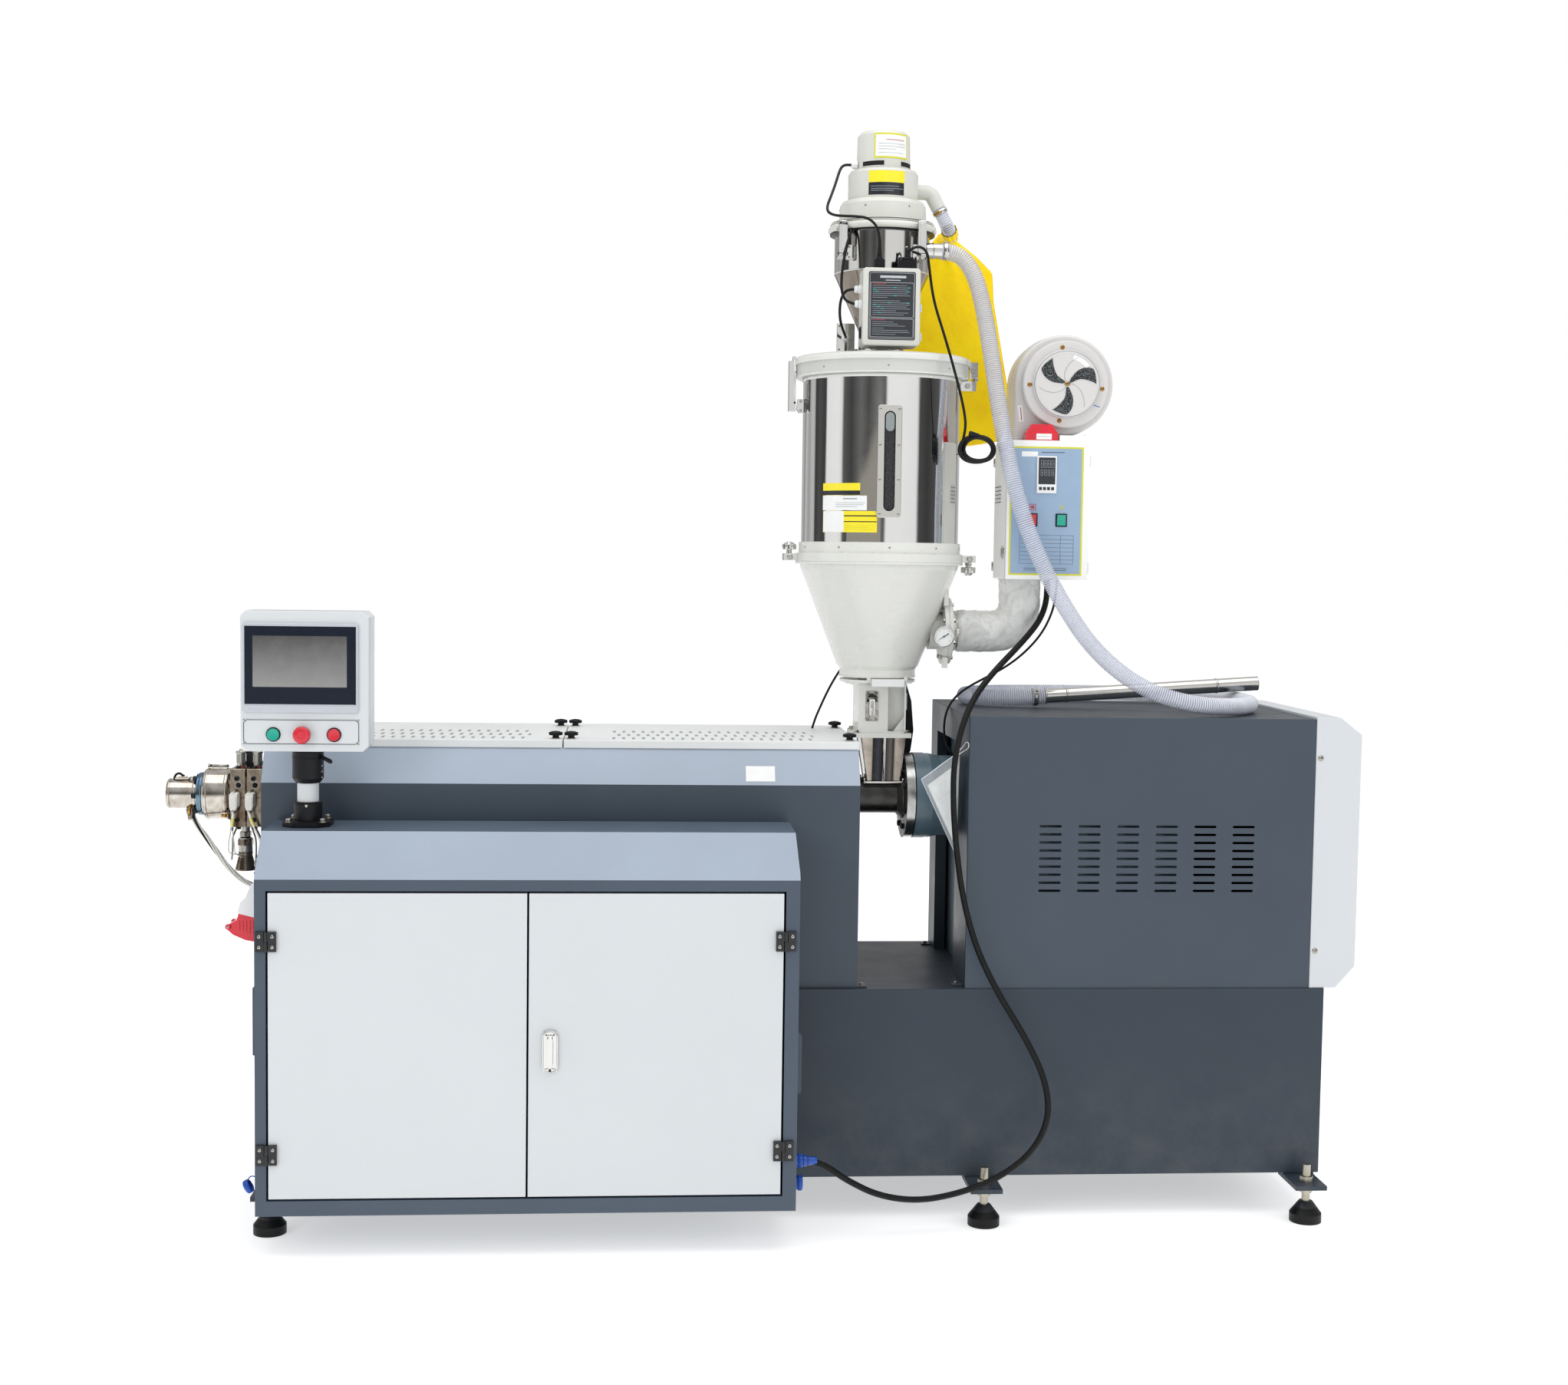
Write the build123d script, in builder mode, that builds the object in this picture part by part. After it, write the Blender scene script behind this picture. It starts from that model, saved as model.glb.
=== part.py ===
from build123d import *
import math
import os

os.makedirs("parts", exist_ok=True)

# ---------------------------------------------------------------------------
# Single-screw plastic extruder with hopper dryer and vacuum loader.
# Working datum: X = 0 at the left edge of the electrical cabinet, Y = 0 at the
# cabinet's front, Z = 0 on the floor.  OX, OY move that datum so that the part
# origin lies on the floor under the middle of the machine.
# ---------------------------------------------------------------------------
OX, OY = 1205.0, 485.0

# plinth
BASE_X0, BASE_X1 = -35.0, 2650.0
BASE_Y0, BASE_Y1 = 250.0, 890.0
BASE_Z0, BASE_Z1 = 106.0, 586.0
FOOT_X = (1.0, 1768.0, 2597.0)
FOOT_Y = (190.0, 950.0)

# electrical cabinet
CAB_X1, CAB_Y1 = 1277.0, 250.0
CAB_Z0, CAB_ZF, CAB_ZT = 102.0, 902.0, 1009.0
CAB_SLOPE_Y = 53.0
SHEET = 3.0
DOOR_Z0, DOOR_Z1 = 143.0, 870.0
DOOR_L = (31.0, 632.0)
DOOR_R = (637.0, 1239.0)
DOOR_T = 18.0
HINGE_AX_L, HINGE_AX_R = 27.5, 1244.5
HINGE_Y = -8.0

# barrel housing
BAR_X0, BAR_X1 = -31.0, 1447.0
BAR_Y0, BAR_Y1 = 265.0, 875.0
BAR_TOP_Y0, BAR_TOP_Y1 = 315.0, 825.0
BAR_ZS, BAR_ZT, COVER_ZT = 1099.0, 1184.0, 1204.0
COVER_SPLIT = 703.0
AXIS_Y, AXIS_Z = 570.0, 1041.0

# gear housing and pulley guard
GH_X0, GH_X1 = 1719.0, 2611.0
GH_Y0, GH_Y1 = 255.0, 885.0
GH_ZT = 1276.0
GH_T = 4.0
GUARD_X1 = 2729.0

# hopper dryer
HX, HY = 1522.0, 570.0
DRUM_R = 206.5
CONE_Z0, CONE_Z1 = 1362.0, 1653.0
DRUM_Z0, DRUM_Z1 = 1709.0, 2137.0
LID_R = 230.0
WALL = 3.0

# vacuum loader
LX, LY = 1516.0, 570.0

# dryer control box, duct and blower
DB = (1837.0, 2045.0, 446.0, 622.0, 1620.0, 1979.0)
DUCT_R = 55.0
DUCT_X, DUCT_Y, DUCT_Z = 1899.0, 568.0, 1478.0
BLOW_X, BLOW_Z = 1992.0, 2127.0

# hoses and cables (diameters)
HOSE_D = 45.0
CONDUIT_D = 16.0
LEAD_D = 7.0


def at(x, y, z):
    return (x - OX, y - OY, z)


def block(x0, x1, y0, y1, z0, z1, mode=Mode.ADD):
    with Locations(at((x0 + x1) / 2, (y0 + y1) / 2, (z0 + z1) / 2)):
        Box(x1 - x0, y1 - y0, z1 - z0, mode=mode)


def rod_x(x0, x1, y, z, r, mode=Mode.ADD):
    with Locations(at((x0 + x1) / 2, y, z)):
        Cylinder(r, x1 - x0, rotation=(0, 90, 0), mode=mode)


def rod_y(x, y0, y1, z, r, mode=Mode.ADD):
    with Locations(at(x, (y0 + y1) / 2, z)):
        Cylinder(r, y1 - y0, rotation=(90, 0, 0), mode=mode)


def rod_z(x, y, z0, z1, r, mode=Mode.ADD):
    with Locations(at(x, y, (z0 + z1) / 2)):
        Cylinder(r, z1 - z0, mode=mode)


def prism_x(x0, x1, yz, mode=Mode.ADD):
    """Extrude a (y, z) outline from x0 to x1."""
    with BuildSketch(Plane((x0 - OX, 0, 0), x_dir=(0, 1, 0), z_dir=(1, 0, 0))) as s:
        with BuildLine():
            Polyline([(y - OY, z) for y, z in yz], close=True)
        make_face()
    extrude(s.sketch, amount=x1 - x0, mode=mode)


def prism_y(y0, y1, xz, mode=Mode.ADD):
    """Extrude an (x, z) outline from y0 back to y1."""
    with BuildSketch(Plane((0, y0 - OY, 0), x_dir=(1, 0, 0), z_dir=(0, -1, 0))) as s:
        with BuildLine():
            Polyline([(x - OX, z) for x, z in xz], close=True)
        make_face()
    extrude(s.sketch, amount=-(y1 - y0), mode=mode)


def turn_z(x, y, rz, mode=Mode.ADD):
    """Revolve an (r, z) outline about the vertical line through x, y."""
    with BuildSketch(Plane((x - OX, y - OY, 0), x_dir=(1, 0, 0), z_dir=(0, -1, 0))) as s:
        with BuildLine():
            Polyline(rz, close=True)
        make_face()
    revolve(s.sketch, axis=Axis((x - OX, y - OY, 0), (0, 0, 1)), mode=mode)


def turn_x(y, z, xr, mode=Mode.ADD):
    """Revolve an (x, r) outline about the line along X through y, z."""
    with BuildSketch(Plane((0, y - OY, z), x_dir=(1, 0, 0), z_dir=(0, -1, 0))) as s:
        with BuildLine():
            Polyline([(x - OX, r) for x, r in xr], close=True)
        make_face()
    revolve(s.sketch, axis=Axis((0, y - OY, z), (1, 0, 0)), mode=mode)


def turn_y(x, z, yr, mode=Mode.ADD):
    """Revolve a (y, r) outline about the line along Y through x, z."""
    with BuildSketch(Plane((x - OX, 0, z), x_dir=(0, 1, 0), z_dir=(1, 0, 0))) as s:
        with BuildLine():
            Polyline([(y - OY, r) for y, r in yr], close=True)
        make_face()
    revolve(s.sketch, axis=Axis((x - OX, 0, z), (0, 1, 0)), mode=mode)


def frustum(r0, r1, mode=Mode.ADD):
    """Loft between two level rectangles given as (x0, x1, y0, y1, z)."""
    sk = []
    for x0, x1, y0, y1, z in (r0, r1):
        with BuildSketch(Plane.XY.offset(z)) as s:
            with Locations(((x0 + x1) / 2 - OX, (y0 + y1) / 2 - OY)):
                Rectangle(x1 - x0, y1 - y0)
        sk.append(s.sketch)
    loft(sk, mode=mode)


def save(b, name):
    b.part.label = name
    export_step(b.part, "parts/" + name + ".step")


def corner_radii(pts):
    v = [Vector(*p) for p in pts]
    out = []
    for i in range(1, len(v) - 1):
        a, b = v[i] - v[i - 1], v[i + 1] - v[i]
        turn = a.get_angle(b)
        out.append(0.45 * min(a.length, b.length) / math.tan(math.radians(turn) / 2))
    return out


def cable(name, pts, dia):
    """Round tube along straight runs joined by tangent arcs."""
    p = [at(*q) for q in pts]
    radii = corner_radii(p)
    with BuildPart() as tube:
        with BuildLine() as run:
            FilletPolyline(*p, radius=radii)
        with BuildSketch(Plane(origin=run.line @ 0, z_dir=run.line % 0)):
            Circle(dia / 2)
        sweep(path=run.line)
    length = sum(e.length for e in run.line.edges())
    want = math.pi * dia * dia / 4 * length
    runs = [(Vector(*p[i + 1]) - Vector(*p[i])).length for i in range(len(p) - 1)]
    print(f"{name}: length {length:.0f} mm, volume ratio {tube.part.volume / want:.3f}, "
          f"runs {min(runs):.0f}-{max(runs):.0f}, radii " + " ".join(f"{r:.0f}" for r in radii))
    save(tube, name)
    return tube


# ---------------------------------------------------------------- plinth
with BuildPart() as base_frame:
    block(BASE_X0, BASE_X1, BASE_Y0, BASE_Y1, BASE_Z0, BASE_Z1)
    fillet(base_frame.edges().filter_by(Axis.Z), radius=4)
    fillet(base_frame.faces().sort_by(Axis.Z)[-1].edges(), radius=2)
save(base_frame, "base_frame")

# six levelling feet: welded plate, threaded spindle with two nuts, rubber pad
with BuildPart() as levelling_feet:
    for fx in FOOT_X:
        for fy, inward in ((FOOT_Y[0], 1), (FOOT_Y[1], -1)):
            y0, y1 = sorted((fy - inward * 42, fy + inward * 100))
            block(fx - 40, fx + 40, y0, y1, 90, 101)
            y0, y1 = sorted((fy + inward * 62, fy + inward * 100))
            block(fx - 40, fx + 40, y0, y1, 101, 106)
            # the front left spindle ends under the cabinet
            under = fx == FOOT_X[0] and inward > 0
            rod_z(fx, fy, 40, 101 if under else 146, 10)
            for za, zb in ((75, 90),) if under else ((101, 116), (75, 90)):
                with BuildSketch(Plane.XY.offset(za)) as nut:
                    with Locations((fx - OX, fy - OY)):
                        RegularPolygon(17, 6)
                extrude(nut.sketch, amount=zb - za)
            turn_z(fx, fy, [(0, 0), (40, 0), (40, 22), (22, 46), (17, 52), (0, 52)])
save(levelling_feet, "levelling_feet")

# ---------------------------------------------------------------- electrical cabinet
with BuildPart() as cabinet_case:
    block(0, CAB_X1, 0, CAB_Y1, CAB_Z0, CAB_ZF)
    block(SHEET, CAB_X1 - SHEET, 20, CAB_Y1 - SHEET, CAB_Z0 + SHEET, CAB_ZF + 1, mode=Mode.SUBTRACT)
    # door opening; the front frame is 20 deep
    block(26, 1244, -1, 21, 138, 875, mode=Mode.SUBTRACT)
save(cabinet_case, "cabinet_case")

with BuildPart() as cabinet_hood:
    prism_x(0, CAB_X1, [(0, CAB_ZF), (CAB_SLOPE_Y, CAB_ZT), (CAB_Y1, CAB_ZT), (CAB_Y1, CAB_ZF)])
    # the ends lean in a little towards the top
    prism_y(-1, CAB_Y1 + 1, [(-1, CAB_ZF + 4), (-1, CAB_ZT + 1), (9, CAB_ZT + 1)], mode=Mode.SUBTRACT)
    prism_y(-1, CAB_Y1 + 1, [(CAB_X1 + 1, CAB_ZF + 4), (CAB_X1 - 9, CAB_ZT + 1), (CAB_X1 + 1, CAB_ZT + 1)],
            mode=Mode.SUBTRACT)
save(cabinet_hood, "cabinet_hood")

HZ = ((733, 780), (226, 274))


def leaf(ax, z0, z1, side, upper):
    """side +1 leaf lies on +X of the pin, -1 on -X; upper picks the half knuckle."""
    a, b = sorted((ax + side * 5.5, ax + side * 24))
    block(a, b, -8, 0, z0, z1)
    zm = (z0 + z1) / 2
    k0, k1 = (zm + 0.4, z1) if upper else (z0, zm - 0.4)
    a, b = sorted((ax, ax + side * 6.5))
    block(a, b, -8, -1.5, k0, k1)
    rod_z(ax, HINGE_Y, k0, k1, 4.2)


def door_panel(x0, x1):
    """Folded sheet door with a shallow pan behind its face."""
    block(x0, x1, 0, DOOR_T, DOOR_Z0, DOOR_Z1)
    block(x0 + 14, x1 - 14, 2, DOOR_T + 1, DOOR_Z0 + 14, DOOR_Z1 - 14, mode=Mode.SUBTRACT)


with BuildPart() as cabinet_door_left:
    door_panel(*DOOR_L)
    fillet(cabinet_door_left.faces().sort_by(Axis.Y)[0].edges(), radius=1.2)
    for z0, z1 in HZ:
        leaf(HINGE_AX_L, z0, z1, 1, True)
save(cabinet_door_left, "cabinet_door_left")

with BuildPart() as cabinet_door_right:
    door_panel(*DOOR_R)
    fillet(cabinet_door_right.faces().sort_by(Axis.Y)[0].edges(), radius=1.2)
    for z0, z1 in HZ:
        leaf(HINGE_AX_R, z0, z1, -1, True)
    # dish of the flush handle, with two ears for the lever's pin
    block(672, 704, -6, 0, 446, 541)
    block(677, 699, -7, -2, 452, 519, mode=Mode.SUBTRACT)
    block(677, 681, -15, -6, 524, 534)
    block(695, 699, -15, -6, 524, 534)
save(cabinet_door_right, "cabinet_door_right")

with BuildPart() as hinge_leaves_fixed:
    for z0, z1 in HZ:
        leaf(HINGE_AX_L, z0, z1, -1, False)
        leaf(HINGE_AX_R, z0, z1, 1, False)
save(hinge_leaves_fixed, "hinge_leaves_fixed")

# pull lever of the flush handle: it lifts from its lower end
with BuildPart() as door_handle_lever:
    block(682, 694, -15.5, -8.5, 455, 532)
    rod_x(682, 694, -12, 529, 5)
    fillet(door_handle_lever.edges().filter_by(Axis.Y).group_by(Axis.Z)[0], radius=3)
save(door_handle_lever, "door_handle_lever")

# hooded vents on both ends of the cabinet
with BuildPart() as side_vents:
    for sx, s in ((CAB_X1, 1), (0, -1)):
        zt, zb = (530, 372) if s > 0 else (650, 470)
        xz = [(sx, zt), (sx + s * 13, zt - 14), (sx + s * 13, zb + 6), (sx, zb)]
        if s < 0:
            xz.reverse()
        prism_y(48, 198, xz)
        for k in range(9):
            z = zb + 14 + k * (zt - zb - 34) / 8
            a, b = sorted((sx + s * 6, sx + s * 14))
            block(a, b, 58, 188, z - 3, z + 3, mode=Mode.SUBTRACT)
save(side_vents, "side_vents")

# wall-mounted power inlet on the left end: white angled back box, red socket with its cap
with BuildPart() as power_inlet:
    prism_y(62, 138, [(0, 889), (-18, 881), (-31, 850), (-43, 838), (-51, 812), (0, 799)])
    fillet(power_inlet.edges().filter_by(GeomType.LINE).group_by(Axis.X)[0], radius=6)
save(power_inlet, "power_inlet")

with BuildPart() as power_inlet_cap:
    prism_y(66, 134, [(0, 798.6), (-48, 810.8), (-52, 795), (-76, 781), (-74, 772), (-61, 760), (-32, 747), (-4, 742),
                      (0, 742)])
    fillet(power_inlet_cap.edges().filter_by(GeomType.LINE).group_by(Axis.X)[0], radius=5)
save(power_inlet_cap, "power_inlet_cap")

# blue round sockets: two on the right end, one on the left, with its cap hanging beside it
with BuildPart() as side_sockets:
    for x0, s, y, z in ((CAB_X1, 1, 80, 200), (CAB_X1, 1, 80, 146), (0, -1, 80, 140)):
        x1 = x0 + s * 9
        turn_x(y, z, [(x0, 0), (x0, 19), (x0 + s * 3, 19), (x0 + s * 3, 16), (x1, 16), (x1, 0)])
save(side_sockets, "side_sockets")

# ---------------------------------------------------------------- operator panel on its column
PX, PY = 100.0, 158.0
with BuildPart() as panel_column:
    with BuildSketch(Plane.XY.offset(CAB_ZT)) as s:
        with Locations((PX - OX, PY - OY)):
            Rectangle(112, 112)
        chamfer(s.vertices(), length=26)
    extrude(s.sketch, amount=12)
    turn_z(PX, PY, [(0, 1021), (33, 1021), (34, 1062), (31, 1066), (0, 1066)])
    rod_z(PX, PY, 1066, 1112, 25.5)
    for sx in (-40, 40):
        for sy in (-40, 40):
            rod_z(PX + sx, PY + sy, 1021, 1029, 6)
save(panel_column, "panel_column")

with BuildPart() as panel_clamp:
    turn_z(PX, PY, [(0, 1112.6), (29, 1112.6), (37, 1124), (37, 1172), (35.5, 1173), (37, 1174), (37, 1191),
                    (0, 1191)])
    with BuildLine() as lever_path:
        Polyline([at(PX + 30, PY - 18, 1178), at(PX + 56, PY - 26, 1166)])
    with BuildSketch(Plane(origin=lever_path.line @ 0, z_dir=lever_path.line % 0)):
        Circle(4.5)
    sweep(path=lever_path.line)
save(panel_clamp, "panel_clamp")

with BuildPart() as panel_box:
    with BuildSketch(Plane((0, 108 - OY, 0), x_dir=(1, 0, 0), z_dir=(0, -1, 0))) as s:
        with Locations((100 - OX, 1358)):
            Rectangle(300, 334)
        chamfer(s.vertices(), length=13)
    extrude(s.sketch, amount=-110)
    fillet(panel_box.faces().sort_by(Axis.Y)[0].edges(), radius=3)
    fillet(panel_box.faces().sort_by(Axis.Y)[-1].edges(), radius=3)
save(panel_box, "panel_box")

with BuildPart() as panel_screen:
    with BuildSketch(Plane((0, 108 - OY, 0), x_dir=(1, 0, 0), z_dir=(0, -1, 0))) as s:
        with Locations((91 - OX, 1390)):
            RectangleRounded(271, 213, 8)
    extrude(s.sketch, amount=7)
    fillet(panel_screen.faces().sort_by(Axis.Y)[0].edges(), radius=2.5)
    block(-39, 221, 100.5, 102, 1304, 1489, mode=Mode.SUBTRACT)
save(panel_screen, "panel_screen")

with BuildPart() as panel_buttons:
    for bx, r, h in ((27, 14, 9), (169, 14, 9)):
        turn_y(bx, 1232, [(108, 0), (108, r + 2), (104, r + 2), (103, r), (108 - h, r), (106 - h, r - 3), (106 - h, 0)])
    turn_y(96, 1232, [(108, 0), (108, 14), (92, 14), (90, 20), (84, 20), (80, 16), (79, 0)])
save(panel_buttons, "panel_buttons")

# ---------------------------------------------------------------- barrel housing
with BuildPart() as barrel_housing:
    prism_x(BAR_X0, BAR_X1, [(BAR_Y0, BASE_Z1), (BAR_Y0, BAR_ZS), (BAR_TOP_Y0, BAR_ZT), (BAR_TOP_Y1, BAR_ZT),
                             (BAR_Y1, BAR_ZS), (BAR_Y1, BASE_Z1)])
save(barrel_housing, "barrel_housing")


def slots(x0, x1, n):
    """Rows of slanted ventilation slots in a barrel cover."""
    pitch = (x1 - x0) / (n - 1)
    with BuildSketch(Plane.XY.offset(COVER_ZT + 0.5)) as s:
        for k, y in enumerate((384, 480, 577)):
            for i in range(n):
                with Locations(Location((x0 + i * pitch + (pitch / 2 if k == 1 else 0) - OX, y - OY, 0), (0, 0, 90))):
                    SlotOverall(56, 8)
    extrude(s.sketch, amount=-14, mode=Mode.SUBTRACT)


with BuildPart() as barrel_cover_left:
    block(BAR_X0 - 2, COVER_SPLIT - 1.5, 313, 827, BAR_ZT, COVER_ZT)
    fillet(barrel_cover_left.edges().filter_by(Axis.Z), radius=3)
    fillet(barrel_cover_left.faces().sort_by(Axis.Z)[-1].edges(), radius=1.5)
    slots(150, 600, 19)
save(barrel_cover_left, "barrel_cover_left")

with BuildPart() as barrel_cover_right:
    block(COVER_SPLIT + 1.5, BAR_X1 + 2, 313, 827, BAR_ZT, COVER_ZT)
    fillet(barrel_cover_right.edges().filter_by(Axis.Z), radius=3)
    fillet(barrel_cover_right.faces().sort_by(Axis.Z)[-1].edges(), radius=1.5)
    slots(829, 1330, 21)
save(barrel_cover_right, "barrel_cover_right")

with BuildPart() as cover_knobs:
    for kx in (-12, 683, 722, 1429):
        for ky in (366, 745):
            turn_z(kx, ky, [(0, COVER_ZT), (9, COVER_ZT), (8, COVER_ZT + 7), (15, COVER_ZT + 9), (15, COVER_ZT + 15),
                            (11, COVER_ZT + 18), (0, COVER_ZT + 18)])
save(cover_knobs, "cover_knobs")

# ---------------------------------------------------------------- die end of the barrel
DZ = 1035.0
with BuildPart() as die_heaters:
    turn_x(AXIS_Y, DZ, [(-322, 0), (-322, 36), (-318, 38), (-242, 38), (-242, 55), (-226, 55), (-226, 63),
                        (-222, 66), (-164, 66), (-160, 63), (-160, 52), (-150, 52), (-150, 0)])
    rod_x(-330, -242, AXIS_Y, DZ, 14, mode=Mode.SUBTRACT)
save(die_heaters, "die_heaters")

with BuildPart() as die_blocks:
    block(-150, -113, 495, 645, 958, 1108)
    block(-108, -71, 495, 645, 958, 1108)
    rod_x(-113, -108, AXIS_Y, DZ, 60)
    rod_x(-71, BAR_X0, AXIS_Y, DZ, 58)
    chamfer(die_blocks.edges().filter_by(Axis.X).filter_by(GeomType.LINE), length=2)
save(die_blocks, "die_blocks")

with BuildPart() as die_fittings:
    # melt pressure and temperature sensors standing on the blocks
    for sx in (-131, -89):
        turn_z(sx, 540, [(0, 1108), (8, 1108), (8, 1112), (11, 1112), (11, 1144), (13, 1144), (13, 1148), (0, 1148)])
    # heater connectors on the front faces
    for sx in (-137, -97):
        block(sx - 10, sx + 10, 462, 495, 1013, 1046)
    # clean-out pipe under the first block
    turn_z(-124, 560, [(0, 958), (11, 958), (11, 925), (17, 922), (18, 880), (15, 876), (15, 862), (0, 862)])
save(die_fittings, "die_fittings")

# ---------------------------------------------------------------- feed section and gearbox
with BuildPart() as feed_barrel:
    rod_x(BAR_X1, 1592, AXIS_Y, AXIS_Z, 47.5)
    turn_x(AXIS_Y, AXIS_Z, [(1586, 0), (1586, 58), (1594, 62), (1594, 113), (1616, 113), (1616, 109), (1619, 109),
                            (1619, 113.5), (1648, 113.5), (1648, 0)])
save(feed_barrel, "feed_barrel")

with BuildPart() as gearbox:
    turn_x(AXIS_Y, AXIS_Z, [(1648, 0), (1648, 112), (1661, 112), (1690, 106), (1756, 106), (1756, 0)])
    block(1756, 2290, 330, 810, BASE_Z1, 1180)
    fillet(gearbox.edges().filter_by(Axis.X).filter_by(GeomType.LINE), radius=14)
save(gearbox, "gearbox")

with BuildPart() as gear_housing:
    block(GH_X0, GH_X1, GH_Y0, GH_Y1, BASE_Z1, GH_ZT)
    fillet(gear_housing.edges().filter_by(Axis.Z), radius=3)
    fillet(gear_housing.faces().sort_by(Axis.Z)[-1].edges(), radius=2)
    block(GH_X0 + GH_T, GH_X1 - GH_T, GH_Y0 + GH_T, GH_Y1 - GH_T, BASE_Z1 - 1, GH_ZT - GH_T, mode=Mode.SUBTRACT)
    block(GH_X0 - 1, GH_X0 + GH_T + 1, 442, 777, BASE_Z1 - 1, 1197, mode=Mode.SUBTRACT)
    # folded inner edges of the left opening
    block(GH_X0, GH_X0 + 30, 438, 442, BASE_Z1, 1197)
    block(GH_X0, GH_X0 + 30, 777, 781, BASE_Z1, 1197)
    block(GH_X0, GH_X0 + 30, 438, 781, 1197, 1201)
    # ventilation slots in the front panel: six columns of nine
    with BuildSketch(Plane((0, GH_Y0 - 1 - OY, 0), x_dir=(1, 0, 0), z_dir=(0, -1, 0))) as s:
        for i in range(6):
            for j in range(9):
                with Locations((1931 + i * 99.5 - OX, 1000 - j * 20.5)):
                    SlotOverall(57, 6.5)
    extrude(s.sketch, amount=-(GH_T + 2), mode=Mode.SUBTRACT)
save(gear_housing, "gear_housing")

with BuildPart() as pulley_guard:
    prism_y(GH_Y0 - 2, GH_Y1 + 2, [(GH_X1, BASE_Z1), (2679, BASE_Z1), (GUARD_X1, 642), (GUARD_X1, 1237),
                                   (2672, 1281), (GH_X1, 1281)])
    fillet(pulley_guard.edges().filter_by(Axis.Y).group_by(Axis.X)[-1], radius=5)
    fillet(pulley_guard.faces().sort_by(Axis.Y)[0].edges(), radius=2)
save(pulley_guard, "pulley_guard")

# ---------------------------------------------------------------- throat, neck and slide gate
with BuildPart() as throat_funnel:
    frustum((1494, 1583, 527, 613, 1083), (1476, 1592, 512, 628, 1199.5))
    with BuildSketch(Plane.YZ.offset(1490 - OX)) as s:
        with Locations((AXIS_Y - OY, AXIS_Z)):
            Circle(47.8)
    extrude(s.sketch, amount=110, mode=Mode.SUBTRACT)
    frustum((1497, 1580, 530, 610, 1083), (1479, 1589, 515, 625, 1200), mode=Mode.SUBTRACT)
save(throat_funnel, "throat_funnel")

NX0, NX1 = 1466.0, 1592.0
with BuildPart() as hopper_neck:
    block(1452, 1606, 495, 645, 1199.5, 1211.5)
    block(NX0, NX1, 508, 632, 1211.5, 1345)
    # recess on the right of the front, open towards the front
    block(1545, NX1 - 4, 507, 545, 1216, 1339, mode=Mode.SUBTRACT)
    turn_z(HX, HY, [(0, 1336), (78, 1336), (100, 1345), (100, 1351), (0, 1351)])
    # central passage for the granules
    frustum((1486, 1582, 522, 618, 1199), (1484, 1560, 532, 608, 1352), mode=Mode.SUBTRACT)
    # gusset in the recess
    prism_y(520, 524, [(NX1 - 4, 1211.5), (NX1 - 34, 1211.5), (NX1 - 4, 1252)])
save(hopper_neck, "hopper_neck")

with BuildPart() as slide_gate:
    block(1494, 1580, 462, 640, 1352, 1356)
    block(1494, 1580, 456, 462, 1335.5, 1356)
    fillet(slide_gate.edges().filter_by(Axis.Y).group_by(Axis.Z)[0], radius=2)
save(slide_gate, "slide_gate")

with BuildPart() as rear_apron:
    prism_y(674, 682, [(1486, 1090), (1598, 1090), (1626, 1199), (1614, 1345), (1470, 1345), (1456, 1199)])
save(rear_apron, "rear_apron")

# ---------------------------------------------------------------- hopper cone and drum
with BuildPart() as hopper_cone:
    turn_z(HX, HY, [(97, 1357), (100, 1357), (100, 1378), (108, 1388), (186, 1590), (206, 1640), (209, 1653),
                    (DRUM_R + 13, 1653), (DRUM_R + 13, 1659), (206, 1659), (203, 1640), (183, 1590), (105, 1389),
                    (97, 1379)])
    # two rails that hold the slide gate under the cone, and the top of its slot
    for sx in ((1484, 1493.4), (1580.6, 1590)):
        block(sx[0], sx[1], 472, 668, 1351, 1360)
    # inlet branch for the hot air
    rod_x(1655, 1690, DUCT_Y, 1480, 50)
    rod_x(1690, 1700, DUCT_Y, 1480, 88)
    turn_z(HX, HY, [(0, 1389), (105, 1389), (183, 1590), (203, 1640), (0, 1640)], mode=Mode.SUBTRACT)
save(hopper_cone, "hopper_cone")

with BuildPart() as hopper_drum:
    turn_z(HX, HY, [(DRUM_R - WALL, 1659.5), (DRUM_R + 14, 1659.5), (DRUM_R + 14, 1680), (DRUM_R + 6, 1682),
                    (DRUM_R + 6, 1709), (DRUM_R, 1710), (DRUM_R, DRUM_Z1), (DRUM_R - WALL, DRUM_Z1)])
save(hopper_drum, "hopper_drum")

with BuildPart() as hopper_lid:
    turn_z(HX, HY, [(0, DRUM_Z1), (LID_R - 4, DRUM_Z1), (LID_R - 4, 2170), (LID_R, 2171), (LID_R, 2186),
                    (LID_R - 6, 2190), (150, 2197), (60, 2200), (0, 2200)])
save(hopper_lid, "hopper_lid")

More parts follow.
